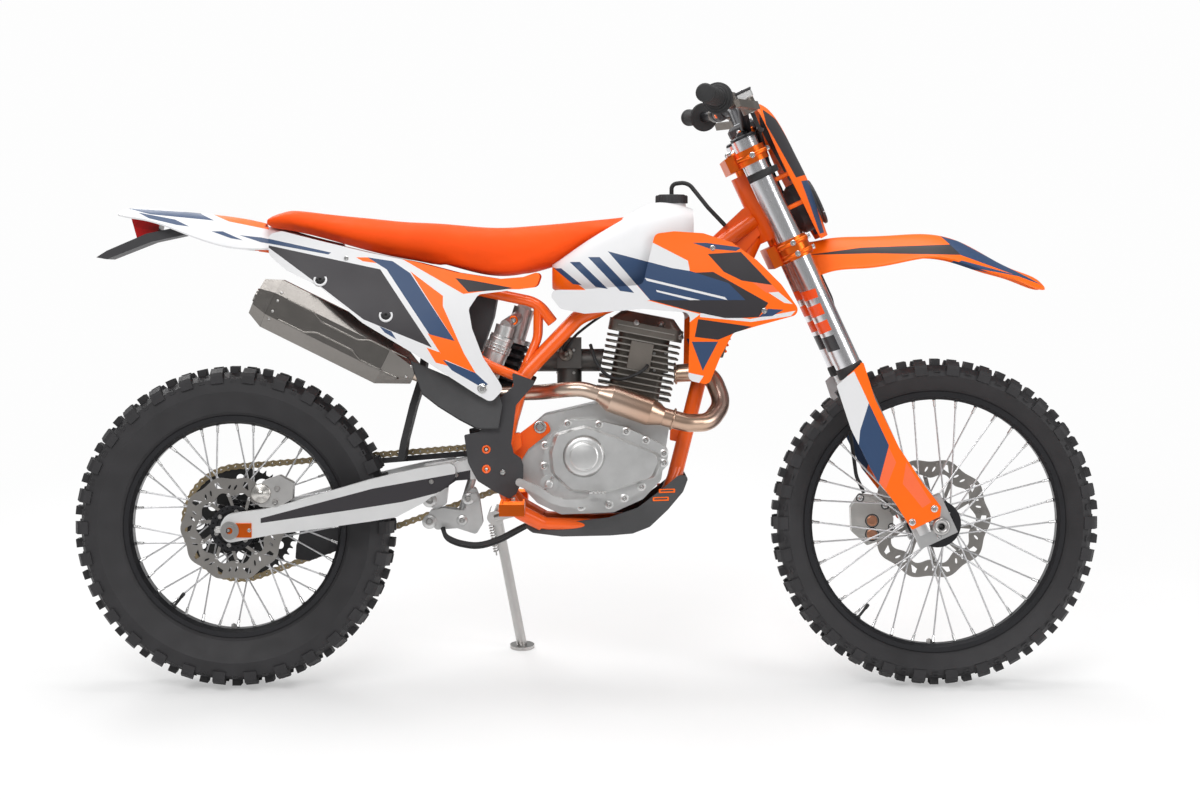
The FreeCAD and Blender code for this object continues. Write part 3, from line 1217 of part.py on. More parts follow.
SEAT_SQUARENESS_SHARE = 0.9


def seat():
    """A long narrow seat, widest at the rear and tapering up onto the tank."""
    sections = []
    for sx, sz, sy, sh in SEAT_STATIONS:
        middle = BODY_ROOM.at(sx, sz)
        sections.append(oval_section(middle.x, 0, middle.z, sy * BODY_HALF, sh * BODY_HEIGHT,
                                     SEAT_SQUARENESS_SHARE))
    return loft(sections)


TANK_STATIONS = (
    (0.6333, 0.6, 0.3529, 0.0542), (0.6528, 0.6, 0.6588, 0.0917),
    (0.6944, 0.625, 0.7412, 0.1542), (0.7431, 0.6625, 0.7765, 0.2),
    (0.7778, 0.6917, 0.7647, 0.2208), (0.8125, 0.6979, 0.6588, 0.2167),
    (0.8389, 0.7292, 0.4471, 0.1625),
)
TANK_SQUARENESS_SHARE = 0.5
TUNNEL_HALF = 96.0
TUNNEL_SHARES = (
    (0.5833, 0.25), (0.5833, 0.5625), (0.6715, 0.5042), (0.7708, 0.6083), (0.8611, 0.7708),
    (0.8611, 0.25),
)
CAP_SHARES = (0.623482, 0.688934, 0.700405)
CAP_X, CAP_Z, CAP_TOP_Z = of_wheelbase(CAP_SHARES)
CAP_RADIUS = 33.0


def fuel_tank():
    """The tank: lobes over the spars, a neck for the cap and a seat for the seat's nose."""
    sections = []
    for sx, sz, sy, sh in TANK_STATIONS:
        middle = BODY_ROOM.at(sx, sz)
        sections.append(oval_section(middle.x, 0, middle.z, sy * BODY_HALF, sh * BODY_HEIGHT,
                                     TANK_SQUARENESS_SHARE))
    body = loft(sections)
    tunnel = slab(BODY_ROOM.outline(TUNNEL_SHARES), -TUNNEL_HALF, TUNNEL_HALF, PANEL_CORNER)
    neck = rod(V(CAP_X, 0, CAP_Z - CAP_RADIUS), V(CAP_X, 0, CAP_Z), CAP_RADIUS - PANEL_THICKNESS)
    lifted = seat()
    lowered = lifted.copy()
    lowered.translate(V(0, 0, -SEAT_GAP))
    cap_way = rod(V(CAP_X, 0, CAP_Z), V(CAP_X, 0, CAP_TOP_Z), CAP_RADIUS + SEAT_GAP)
    return fused([body.cut(tunnel), neck]).cut([lifted, lowered, cap_way])


def fuel_cap():
    """The screw cap on the tank's neck."""
    base = V(CAP_X, 0, CAP_Z + SEAT_GAP)
    return rod(base, V(CAP_X, 0, CAP_TOP_Z), CAP_RADIUS)


VENT_PATH_SHARES = (
    (0.8083, 0.0, 0.9548), (0.8083, 0.0, 1.0042), (0.8319, -0.0235, 1.0125),
    (0.8611, -0.1412, 0.9), (0.8861, -0.1647, 0.8208),
)
VENT_RADIUS = 4.5
VENT_BEND = 40.0


def vent_hose():
    """The breather hose from the cap down beside the head tube's gusset."""
    return pipe(BODY_ROOM.path(VENT_PATH_SHARES), VENT_RADIUS, VENT_BEND)


SIDE_PANEL_SHARES = (
    (0.2236, 0.7812), (0.225, 0.6917), (0.2514, 0.625), (0.3, 0.5542), (0.3625, 0.4),
    (0.4389, 0.2625), (0.5278, 0.0875), (0.5465, 0.0563), (0.5639, 0.1125), (0.5556, 0.1562),
    (0.5347, 0.25), (0.5188, 0.375), (0.5139, 0.4583), (0.5278, 0.5208), (0.6111, 0.5521),
    (0.6194, 0.625), (0.5917, 0.5958), (0.5569, 0.5875), (0.4944, 0.6167), (0.4389, 0.6604),
    (0.3694, 0.7021), (0.3, 0.7521), (0.2431, 0.7958),
)
SIDE_STATIONS = (0.2153, 0.3056, 0.4028, 0.5, 0.5833, 0.6389)
SIDE_LEVELS = (0.0208, 0.2292, 0.4375, 0.625, 0.8333)
SIDE_Y_SHARES = (
    (0.5882, 0.5882, 0.6, 0.5765, 0.5294), (0.8824, 0.8941, 0.8706, 0.7059, 0.5765),
    (0.9765, 0.9647, 0.8824, 0.7176, 0.5765), (0.9412, 0.9176, 0.8235, 0.6824, 0.5412),
    (0.8588, 0.8353, 0.7529, 0.6118, 0.4941), (0.8235, 0.8, 0.7176, 0.5765, 0.4706),
)


def side_cover(side):
    """A thin side panel below the seat, bulging over the silencer, on bosses from the rails."""
    wall = side_panel(BODY_ROOM, SIDE_PANEL_SHARES, SIDE_STATIONS, SIDE_LEVELS, SIDE_Y_SHARES,
                      PANEL_THICKNESS, PANEL_CORNER, side)
    outside = side_skin(BODY_ROOM, SIDE_STATIONS, SIDE_LEVELS, SIDE_Y_SHARES, BODY_HALF, side)
    outside.translate(V(0, side * PANEL_THICKNESS / 2, 0))
    bosses = []
    for start in BODY_ROOM.path(SIDE_BOSS_SHARES, side):
        bosses.append(rod(start, V(start.x, side * BODY_HALF, start.z), BOSS_RADIUS).cut(outside))
    return fused([wall] + bosses).cut(subframe_way())


SIDE_BOSS_SHARES = ((0.5, 0.4118, 0.5521), (0.3403, 0.4235, 0.6708))
BOSS_RADIUS = 7.0
SHROUD_SHARES = (
    (0.625, 0.5375), (0.6944, 0.5458), (0.7639, 0.5625), (0.7812, 0.7812), (0.809, 0.7917),
    (0.8507, 0.7833), (0.8924, 0.7417), (0.9271, 0.6667), (0.9618, 0.5625), (0.991, 0.4375),
    (0.9306, 0.3875), (0.8931, 0.3542), (0.875, 0.25), (0.859, 0.1292), (0.8292, 0.15),
    (0.8313, 0.4417), (0.7639, 0.4583), (0.6806, 0.4375), (0.6458, 0.4583),
)
SHROUD_STATIONS = (0.6181, 0.6944, 0.7639, 0.8333, 0.9028, 0.9931)
SHROUD_LEVELS = (0.1042, 0.2917, 0.4583, 0.625, 0.8125)
SHROUD_Y_SHARES = (
    (0.7529, 0.7647, 0.7882, 0.7765, 0.7294), (0.8118, 0.8353, 0.8588, 0.8471, 0.7882),
    (0.8353, 0.8706, 0.8941, 0.8706, 0.8118), (0.8235, 0.8588, 0.9059, 0.8824, 0.8118),
    (0.8353, 0.8824, 0.9294, 0.9059, 0.8353), (0.8588, 0.9176, 0.9588, 0.9412, 0.8706),
)


def tank_shroud(side):
    """The thin panel beside tank and cooler that runs forward to a tip beside the fork."""
    wall = side_panel(BODY_ROOM, SHROUD_SHARES, SHROUD_STATIONS, SHROUD_LEVELS, SHROUD_Y_SHARES,
                      PANEL_THICKNESS, PANEL_CORNER, side)
    outside = side_skin(BODY_ROOM, SHROUD_STATIONS, SHROUD_LEVELS, SHROUD_Y_SHARES, BODY_HALF, side)
    outside.translate(V(0, side * PANEL_THICKNESS / 2, 0))
    bosses = []
    for point in BODY_ROOM.outline(SHROUD_BOSS_SHARES):
        start = V(point.x, side * (COOLER_OUTER + SEAT_GAP), point.z)
        bosses.append(rod(start, V(point.x, side * BODY_HALF, point.z), BOSS_RADIUS).cut(outside))
    return fused([wall] + bosses)


SHROUD_BOSS_SHARES = ((0.875, 0.3375), (0.8944, 0.5208))
COOLER_SHARES = ((0.8556, 0.2542), (0.8792, 0.2458), (0.9111, 0.5625), (0.8875, 0.5875))
COOLER_ARM_SHARES = ((0.8722, 0.35), (0.8903, 0.4583))
COOLER_ARM_RADIUS = 6.0
COOLER_INNER = 46.0
COOLER_OUTER = 132.0


def radiators():
    """A flat cooler behind each shroud, on short arms from the down tube."""
    core = slab(BODY_ROOM.outline(COOLER_SHARES), COOLER_INNER, COOLER_OUTER, PANEL_THICKNESS)
    arms = [rod(V(p.x, 0, p.z), V(p.x, COOLER_INNER + OVERRUN, p.z), COOLER_ARM_RADIUS)
            for p in BODY_ROOM.outline(COOLER_ARM_SHARES)]
    tube = pipe(FRAME_ROOM.path(DOWN_TUBE_SHARES), SPAR_RADIUS + SEAT_GAP, FRAME_BEND)
    return both_sides(fused([core] + arms).cut(tube))


REAR_FENDER_X = (0.0028, 0.0417, 0.1111, 0.1806, 0.2292, 0.2778, 0.3278)
REAR_FENDER_TOP = (0.8917, 0.9, 0.8792, 0.8542, 0.8208, 0.7792, 0.7417)
REAR_FENDER_DROP_SHARES = (0.02, 0.05, 0.1, 0.13, 0.1, 0.08, 0.06)
REAR_FENDER_HALF_SHARES = (0.3529, 0.4353, 0.5176, 0.5647, 0.5412, 0.4471, 0.3647)
FENDER_THICKNESS = 3.5
FENDER_STEPS = 8


def arched_skin(xs, tops, drops, halves, thickness, room):
    """A fender: a sheet that arches across and follows the heights along its length."""
    grid = []
    for sx, sz, sd, sy in zip(xs, tops, drops, halves):
        row = []
        for k in range(FENDER_STEPS + 1):
            across = 2 * k / FENDER_STEPS - 1
            row.append(room.at(sx, sz - sd * across * across, sy * across))
        grid.append(row)
    return skin(grid, V(0, 0, -thickness))


def rear_fender():
    """The tail: an arched sheet from under the seat out over the rear wheel."""
    sheet = arched_skin(REAR_FENDER_X, REAR_FENDER_TOP, REAR_FENDER_DROP_SHARES, REAR_FENDER_HALF_SHARES,
                        FENDER_THICKNESS, BODY_ROOM)
    return sheet.cut([seat_with_gap(), subframe_way()])


def seat_with_gap():
    low = seat()
    low.translate(V(0, 0, -SEAT_GAP))
    return seat().fuse(low)


def subframe_way():
    rails = pipe(FRAME_ROOM.path(RAIL_PATH_SHARES), STAY_RADIUS + SEAT_GAP, FRAME_BEND)
    stays = pipe(FRAME_ROOM.path(STAY_PATH_SHARES), STAY_RADIUS + SEAT_GAP, FRAME_BEND)
    return Part.makeCompound([both_sides(rails), both_sides(stays)])


TAIL_BRACKET_SHARES = (
    (0.2083, 0.7208), (0.0972, 0.7812), (0.0486, 0.75), (-0.0153, 0.675), (-0.0306, 0.6833),
    (-0.0153, 0.7125), (0.0431, 0.7875), (0.0903, 0.8167), (0.2083, 0.7583),
)
TAIL_BRACKET_HALF = 50.0
TAIL_LAMP_SHARES = ((0.0181, 0.8667), (0.0278, 0.7604), (0.0569, 0.7812), (0.0639, 0.8667))
TAIL_LAMP_HALF = 34.0


def tail_bracket():
    """The flat bracket under the tail that carries lamp and plate."""
    half = TAIL_BRACKET_HALF
    return slab(BODY_ROOM.outline(TAIL_BRACKET_SHARES), -half, half).cut(subframe_plate_way())


def subframe_plate_way():
    half = TAIL_PLATE_HALF + SEAT_GAP
    return slab(FRAME_ROOM.outline(TAIL_PLATE_SHARES), -half, half)


def tail_lamp():
    """The red lamp under the tip of the tail."""
    lamp = slab(BODY_ROOM.outline(TAIL_LAMP_SHARES), -TAIL_LAMP_HALF, TAIL_LAMP_HALF, OVERRUN)
    sheet = arched_skin(REAR_FENDER_X, REAR_FENDER_TOP, REAR_FENDER_DROP_SHARES, REAR_FENDER_HALF_SHARES,
                        FENDER_THICKNESS * 2, BODY_ROOM)
    raised = arched_skin(REAR_FENDER_X, REAR_FENDER_TOP, REAR_FENDER_DROP_SHARES, REAR_FENDER_HALF_SHARES,
                         FENDER_THICKNESS + SEAT_GAP, BODY_ROOM)
    bracket = slab(BODY_ROOM.outline(TAIL_BRACKET_SHARES), -BODY_HALF, BODY_HALF)
    return lamp.cut([raised, bracket])


FLAP_SHARES = (
    (0.2875, 0.225), (0.2933, 0.275), (0.31, 0.375), (0.3233, 0.4375), (0.335, 0.55),
    (0.345, 0.55), (0.3333, 0.425), (0.32, 0.3625), (0.305, 0.275), (0.3, 0.225),
)
FLAP_HALF = 55.0


def mud_flap():
    """The inner flap between rear tyre and shock."""
    flap = slab(FRAME_ROOM.outline(FLAP_SHARES), -FLAP_HALF, FLAP_HALF)
    lowered = airbox()
    lowered.translate(V(0, 0, -SEAT_GAP))
    return biggest(flap.cut([airbox(), lowered]))


GUARD_SHARES = (
    (0.46, 0.3812), (0.4933, 0.425), (0.4908, 0.46), (0.5308, 0.4375), (0.5267, 0.425),
    (0.4975, 0.375), (0.4917, 0.3063), (0.4892, 0.275), (0.4933, 0.25), (0.5058, 0.2375),
    (0.51, 0.2188), (0.51, 0.1875), (0.5033, 0.1625), (0.4975, 0.1437), (0.485, 0.1313),
    (0.46, 0.15), (0.4308, 0.1775), (0.4225, 0.2), (0.4142, 0.225), (0.4075, 0.2975),
    (0.435, 0.3063),
)
GUARD_INNER = 115.5
GUARD_THICKNESS = 4.0


def frame_guards():
    """The plastic guards over the frame beside the pivot."""
    outline = FRAME_ROOM.outline(GUARD_SHARES)
    return both_sides(slab(outline, GUARD_INNER, GUARD_INNER + GUARD_THICKNESS, PANEL_THICKNESS))


SKID_SHARES = (
    (0.505, 0.06), (0.525, 0.0375), (0.5767, 0.0275), (0.66, 0.03), (0.7, 0.035),
    (0.73, 0.0525), (0.7617, 0.0975), (0.7883, 0.145), (0.7983, 0.185), (0.7817, 0.19),
    (0.75, 0.15), (0.7083, 0.1025), (0.6583, 0.0775), (0.5833, 0.065),
)
SKID_HALF = 78.0
SKID_WALL = 5.0


def skid_plate():
    """The tray under the cradle, turned up in front."""
    solid = slab(FRAME_ROOM.outline(SKID_SHARES), -SKID_HALF, SKID_HALF, PANEL_CORNER)
    inner_half = SKID_HALF - SKID_WALL
    inner = slab(FRAME_ROOM.outline(SKID_SHARES), -inner_half, inner_half, PANEL_CORNER)
    inner.translate(V(0, 0, SKID_WALL))
    ways = [pipe(FRAME_ROOM.path(path, side), radius + SEAT_GAP, FRAME_BEND) for side in (1, -1)
            for path, radius in ((CRADLE_PATH_SHARES, CRADLE_RADIUS), (SPAR_PATH_SHARES, SPAR_RADIUS))]
    ways.append(pipe(FRAME_ROOM.path(DOWN_TUBE_SHARES), SPAR_RADIUS + SEAT_GAP, FRAME_BEND))
    return solid.cut([inner] + ways)


# Foot controls and stand

PEG_SHARES = (0.398111, 0.253711)
PEG_X, PEG_Z = of_wheelbase(PEG_SHARES)
PEG_INNER = 122.0
PEG_OUTER = 212.0
PEG_HALF = 26.0
PEG_HEIGHT = 24.0
PEG_BRACKET_HALF = 15.0
PEG_STEP = 5.0


def footpegs():
    """Both footpegs on their brackets."""
    root = FRAME_HALF - SPAR_RADIUS
    tread = Part.makeBox(2 * PEG_HALF, PEG_OUTER - PEG_INNER, PEG_HEIGHT,
                         V(PEG_X - PEG_HALF, PEG_INNER, PEG_Z))
    bracket = Part.makeBox(2 * PEG_BRACKET_HALF, PEG_INNER - root, PEG_HEIGHT - PEG_STEP,
                           V(PEG_X - PEG_BRACKET_HALF, root, PEG_Z))
    spar = pipe(FRAME_ROOM.path(SPAR_PATH_SHARES, -1), SPAR_RADIUS + SEAT_GAP, FRAME_BEND)
    cradle = pipe(FRAME_ROOM.path(CRADLE_PATH_SHARES, -1), CRADLE_RADIUS + SEAT_GAP, FRAME_BEND)
    return both_sides(biggest(fused([tread, bracket]).cut([spar, cradle])))


BRAKE_PEDAL_SHARES = (
    (0.5033, -1.28, 0.175), (0.535, -1.28, 0.155), (0.56, -1.28, 0.13), (0.585, -1.32, 0.12),
    (0.6183, -1.34, 0.1212), (0.6383, -1.34, 0.1375),
)
PEDAL_HALF = 6.0
PEDAL_TALL = 8.0
PEDAL_PAD_LENGTH = 34.0
PEDAL_PAD_WIDTH = 42.0
PEDAL_PAD_HEIGHT = 8.0
GEAR_PAD_LENGTH = 20.0
GEAR_LEVER_SHARES = (
    (0.575, 1.12, 0.1625), (0.6167, 1.22, 0.17), (0.6667, 1.28, 0.175), (0.6967, 1.3, 0.1825),
)


def toe_piece(tip, length, width):
    return Part.makeBox(length, width, PEDAL_PAD_HEIGHT, tip + V(-length / 2, -width / 2, 0))


def brake_pedal():
    """The rear brake pedal on the right."""
    points = FRAME_ROOM.path(BRAKE_PEDAL_SHARES)
    bar = flat_pipe(points, PEDAL_PAD_LENGTH, PEDAL_HALF, PEDAL_TALL)
    pad = toe_piece(points[-1], PEDAL_PAD_LENGTH, PEDAL_PAD_WIDTH)
    guard_face = -(GUARD_INNER + GUARD_THICKNESS + SEAT_GAP)
    hinge = points[0]
    boss = rod(hinge - V(0, PEDAL_HALF, 0), V(hinge.x, guard_face, hinge.z), PEDAL_TALL)
    return fused([bar, pad, boss])


def gear_lever():
    """The gear lever on the left."""
    points = FRAME_ROOM.path(GEAR_LEVER_SHARES)
    bar = flat_pipe(points, PEDAL_PAD_LENGTH, PEDAL_HALF, PEDAL_TALL)
    pad = toe_piece(points[-1], GEAR_PAD_LENGTH, PEDAL_PAD_WIDTH)
    shaft = rod(V(points[0].x, CASE_HALF + SEAT_GAP, points[0].z), points[0], PEDAL_TALL)
    return fused([bar, pad, shaft])


STAND_PIVOT_SHARES = (0.369771, 0.237517)
STAND_PIVOT_X, STAND_PIVOT_Z = of_wheelbase(STAND_PIVOT_SHARES)
STAND_PIVOT_Y = 126.0
STAND_FOOT_X = 600.0
STAND_FOOT_Y = 262.0
STAND_RADIUS = 11.0
STAND_PIVOT_RADIUS = 9.0
STAND_BRACKET = 7.0
STAND_FOOT_RADIUS = 27.0
STAND_FOOT_THICKNESS = 7.0
STAND_SWING_DEG = 100.0
STAND_ANCHOR_SHARES = ((0.51, 0.9, 0.08),)
STAND_FOLD_RISE_SHARE = 0.12
STAND_FOLD_OUT_SHARE = 0.1


def stand_pivot():
    return V(STAND_PIVOT_X, STAND_PIVOT_Y, STAND_PIVOT_Z)


def ground_height(y):
    """Height of the leaned floor in the upright drawing, below the tyres' crown edges."""
    return (y - CROWN_HALF) * math.tan(LEAN)


def stand_foot():
    return V(STAND_FOOT_X, STAND_FOOT_Y, ground_height(STAND_FOOT_Y))


def stand_axis():
    """The hinge's axis: square to the leg when down and when folded back."""
    down = stand_foot() - stand_pivot()
    folded = V(-1, STAND_FOLD_OUT_SHARE, STAND_FOLD_RISE_SHARE)
    return down.cross(folded).normalize()


def floor_up():
    return V(0, -math.sin(LEAN), math.cos(LEAN))


def side_stand():
    """The leg with its eye at the hinge and a flat foot on the floor."""
    pivot, foot = stand_pivot(), stand_foot()
    axis = stand_axis()
    eye = rod(pivot - axis * STAND_RADIUS, pivot + axis * STAND_RADIUS, STAND_RADIUS + STAND_BRACKET)
    leg = rod(pivot, foot + floor_up() * (STAND_FOOT_THICKNESS / 2), STAND_RADIUS)
    plate = Part.makeCylinder(STAND_FOOT_RADIUS, STAND_FOOT_THICKNESS, foot, floor_up())
    below = Part.makeCylinder(STAND_FOOT_RADIUS * 2, STAND_FOOT_RADIUS * 2, foot, floor_up() * -1)
    past = axis * STAND_RADIUS * 3
    bolt = rod(pivot - past, pivot + past, STAND_PIVOT_RADIUS + RUNNING_GAP)
    return fused([eye, leg, plate]).cut([below, bolt])


def stand_bracket():
    """The bolt and lug that hang the stand from the frame."""
    pivot = stand_pivot()
    inward = stand_axis() * -1
    face = STAND_RADIUS + RUNNING_GAP
    bolt = rod(pivot - inward * face, pivot + inward * (face + STAND_BRACKET), STAND_PIVOT_RADIUS)
    head = rod(pivot - inward * (face + STAND_BRACKET), pivot - inward * face, STAND_RADIUS + RIM_WALL)
    outer = pivot + inward * (face + STAND_BRACKET)
    plate = rod(pivot + inward * face, outer, STAND_RADIUS + STAND_BRACKET)
    anchor = FRAME_ROOM.path(STAND_ANCHOR_SHARES)[0]
    strut = rod(pivot + inward * (face + STAND_BRACKET / 2), anchor, STAND_PIVOT_RADIUS)
    eye_way = rod(pivot - inward * face, pivot + inward * face, STAND_RADIUS + 2 * STAND_BRACKET)
    ways = [pipe(FRAME_ROOM.path(path, -1), radius + SEAT_GAP, FRAME_BEND)
            for path, radius in ((CRADLE_PATH_SHARES, CRADLE_RADIUS), (SPAR_PATH_SHARES, SPAR_RADIUS))]
    return fused([fused([plate, strut]).cut([eye_way] + ways), bolt, head])


# Steering: drawn about an upright steering axis, x ahead of it and z up along it

FORK_TUBE_SHARES = (0.251012, 0.610661)
FORK_TUBE_LOW, FORK_TOP = of_wheelbase(FORK_TUBE_SHARES)
FORK_TUBE_RADIUS = 27.0
FORK_SLIDER_RADIUS = 24.0
FORK_SLIDER_TOP_GAP = 0.5
LOWER_CLAMP_SHARES = (0.426451, 0.45614)
LOWER_CLAMP_LOW, LOWER_CLAMP_HIGH = of_wheelbase(LOWER_CLAMP_SHARES)
UPPER_CLAMP_SHARES = (0.573549, 0.595142)
UPPER_CLAMP_LOW, UPPER_CLAMP_HIGH = of_wheelbase(UPPER_CLAMP_SHARES)
CLAMP_HALF_LENGTH = 34.0
CLAMP_CORE_HALF = 30.0
LUG_HALF_LENGTH = 27.0
LUG_HEIGHT_UP = 62.0
LUG_DROP = 26.0
BAR_RADIUS = 11.0
GRIP_RADIUS = 17.0
GRIP_INNER_Y = 283.0
GRIP_FLANGE_RADIUS = 30.0
GRIP_FLANGE = 5.0


def fork_leg(side, grow=0.0):
    """One fork leg's full outline: slider, lug and outer tube."""
    y = side * FORK_HALF_SPACING
    axle_ahead = STEM_OFFSET + AXLE_OFFSET
    slider = rod(V(STEM_OFFSET, y, 0), V(STEM_OFFSET, y, FORK_TUBE_LOW), FORK_SLIDER_RADIUS + grow)
    lug = Part.makeBox(axle_ahead - STEM_OFFSET + LUG_HALF_LENGTH + FORK_SLIDER_RADIUS + 2 * grow,
                       2 * (LUG_REACH + grow), LUG_HEIGHT_UP + LUG_DROP + 2 * grow,
                       V(STEM_OFFSET - FORK_SLIDER_RADIUS - grow, y - LUG_REACH - grow, -LUG_DROP - grow))
    return slider.fuse(lug)


def fork_sliders():
    """The chromed lower tubes with the lugs that hold the axle."""
    axle = V(STEM_OFFSET + AXLE_OFFSET, 0, 0)
    reach = 2 * FORK_HALF_SPACING
    hole = disc(FRONT_AXLE_RADIUS + RUNNING_GAP, -reach, reach, axle)
    legs = [fork_leg(side).cut(hole).removeSplitter() for side in (1, -1)]
    return steered(Part.makeCompound(legs))


def fork_tubes():
    """The thick upper tubes with their caps."""
    tubes = []
    for side in (1, -1):
        y = side * FORK_HALF_SPACING
        low = FORK_TUBE_LOW + FORK_SLIDER_TOP_GAP
        tubes.append(rod(V(STEM_OFFSET, y, low), V(STEM_OFFSET, y, FORK_TOP), FORK_TUBE_RADIUS))
    return steered(Part.makeCompound(tubes))


def clamp(low, high, bore):
    """A clamp plate across both tubes."""
    half = FORK_HALF_SPACING
    core = Part.makeBox(STEM_OFFSET + CLAMP_CORE_HALF + CLAMP_CORE_HALF, 2 * half, high - low,
                        V(-CLAMP_CORE_HALF, -half, low))
    end = rod(V(STEM_OFFSET, half, low), V(STEM_OFFSET, half, high), CLAMP_HALF_LENGTH)
    way = rod(V(STEM_OFFSET, half, low - OVERRUN), V(STEM_OFFSET, half, high + OVERRUN), bore)
    return fused([core, end, mirrored(end)]).cut([way, mirrored(way)])


def triple_clamps():
    """Upper and lower fork clamps joined by the stem in the head tube."""
    bore = FORK_TUBE_RADIUS + SEAT_GAP
    stem = rod(V(0, 0, LOWER_CLAMP_LOW), V(0, 0, UPPER_CLAMP_HIGH + OVERRUN), STEM_RADIUS)
    return steered(fused([clamp(LOWER_CLAMP_LOW, LOWER_CLAMP_HIGH, bore),
                          clamp(UPPER_CLAMP_LOW, UPPER_CLAMP_HIGH, bore), stem]))


GUARD_FRONT_SHARES = (
    (0.1395, 0.4194), (0.3761, 0.4415), (0.3418, 0.3602), (0.352, 0.2485), (0.3974, 0.1594),
    (0.4431, 0.0989), (0.4089, 0.0816), (0.1942, 0.0808), (0.166, 0.1454), (0.1136, 0.2134),
    (0.1034, 0.3252),
)
GUARD_LEG_REACH = 34.0
GUARD_LEG_WALL = 3.0
GUARD_INNER_SPACE = 73.0


def fork_guards():
    """The plastic guards over the front and outside of the sliders."""
    outline = FORK_ROOM.outline(GUARD_FRONT_SHARES)
    shapes = []
    for side in (1, -1):
        y = side * FORK_HALF_SPACING
        inner = side * GUARD_INNER_SPACE
        outer = y + side * GUARD_LEG_REACH
        shell = slab(outline, outer - side * GUARD_LEG_WALL, outer, PANEL_THICKNESS)
        behind = slab(outline, -FORK_ROOM_HALF, FORK_ROOM_HALF, PANEL_THICKNESS)
        behind.translate(V(-GUARD_LEG_WALL * 2, 0, 0))
        front = slab(outline, inner, outer, PANEL_THICKNESS).cut(behind)
        low, high = V(STEM_OFFSET, y, FORK_TUBE_LOW), V(STEM_OFFSET, y, FORK_TOP)
        tube = rod(low, high, FORK_TUBE_RADIUS + SEAT_GAP)
        solid = shell.fuse(front).cut([fork_leg(side, SEAT_GAP), tube]).removeSplitter()
        shapes.append(biggest(solid))
    return steered(Part.makeCompound(shapes))


def biggest(shape):
    return max(shape.Solids, key=lambda solid: solid.Volume)


BAR_PATH_SHARES = (
    (0.3283, 0.0, 0.9668), (0.3223, 0.375, 0.9676), (0.3608, 0.9375, 1.0351),
    (0.1981, 1.875, 1.0534), (0.1071, 2.5125, 1.0706),
)
BAR_BEND = 60.0
RISER_RADIUS = 17.0
RISER_Y = 42.0


def handlebar():
    """The bar with its grips' cores, its risers and the pad on its middle."""
    points = FORK_ROOM.path(BAR_PATH_SHARES)
    other = [V(p.x, -p.y, p.z) for p in reversed(points[1:])]
    bar = pipe(other + points[1:], BAR_RADIUS, BAR_BEND)
    centre = points[0]
    parts = [bar]
    for side in (1, -1):
        foot = V(centre.x, side * RISER_Y, UPPER_CLAMP_HIGH + SEAT_GAP)
        parts.append(rod(foot, V(centre.x, side * RISER_Y, centre.z + RISER_RADIUS), RISER_RADIUS))
    return steered(fused(parts).cut(both_sides(rod(V(STEM_OFFSET, FORK_HALF_SPACING, 0),
                                                   V(STEM_OFFSET, FORK_HALF_SPACING, FORK_TOP + OVERRUN),
                                                   FORK_TUBE_RADIUS + SEAT_GAP))))


def grips():
    """A grip on each end of the bar, with a flange at its inner end."""
    end = FORK_ROOM.path(BAR_PATH_SHARES)[-1]
    inner = FORK_ROOM.path(BAR_PATH_SHARES)[-2]
    aim = (end - inner).normalize()
    shapes = []
    start = inner + aim * (GRIP_RADIUS / 2)
    stop = end + aim * GRIP_FLANGE
    for side in (1, -1):
        a, b = V(start.x, side * start.y, start.z), V(stop.x, side * stop.y, stop.z)
        e, i = V(end.x, side * end.y, end.z), V(inner.x, side * inner.y, inner.z)
        d = (b - a).normalize()
        body = rod(a, b, GRIP_RADIUS).fuse(rod(a, a + d * GRIP_FLANGE, GRIP_FLANGE_RADIUS))
        core = rod(i - d * OVERRUN, e + d * SEAT_GAP, BAR_RADIUS + SEAT_GAP)
        shapes.append(body.cut(core).removeSplitter())
    return steered(Part.makeCompound(shapes))


PERCH_Y = 232.0
PERCH_RADIUS = 17.0
PERCH_HALF = 18.0
LEVER_PATH_SHARES = (
    (0.3756, 1.325, 1.0209), (0.4229, 1.6375, 1.0087), (0.3629, 2.0625, 1.0127),
    (0.2662, 2.5, 1.0262),
)
LEVER_HALF_WIDE = 8.0
LEVER_HALF_TALL = 5.0
CUP_RADIUS = 17.0
CUP_HEIGHT = 34.0


def hand_controls():
    """Clutch and brake lever with their perches and master cylinders."""
    points = FORK_ROOM.path(BAR_PATH_SHARES)
    inner, outer = points[-3], points[-2]
    share = (PERCH_Y - inner.y) / (outer.y - inner.y)
    centre = inner + (outer - inner) * share
    aim = (outer - inner).normalize()
    perch = rod(centre - aim * PERCH_HALF, centre + aim * PERCH_HALF, PERCH_RADIUS)
    path = FORK_ROOM.path(LEVER_PATH_SHARES)
    arm = rod(centre, path[0], LEVER_HALF_WIDE)
    lever = flat_pipe(path, BAR_BEND, LEVER_HALF_WIDE, LEVER_HALF_TALL, Z_AXIS)
    cup = rod(path[0] - V(0, 0, CUP_HEIGHT / 2), path[0] + V(0, 0, CUP_HEIGHT / 2), CUP_RADIUS)
    whole = fused([perch, arm, lever, cup])
    way = rod(inner, outer, BAR_RADIUS + SEAT_GAP)
    side = whole.cut(way)
    return steered(both_sides(side))


HOSE_PATH_SHARES = (
    (0.38, -1.325, 1.0034), (0.38, -1.325, 0.965), (0.42, -0.75, 0.965), (0.42, 0.0, 0.972),
    (0.4133, 0.425, 0.94), (0.4133, 0.425, 0.58), (0.3267, 0.4, 0.46), (0.1833, 0.4, 0.35),
    (0.04, 0.4125, 0.21), (0.04, 0.4125, 0.1703),
)
HOSE_RADIUS = 4.0
HOSE_BEND = 60.0


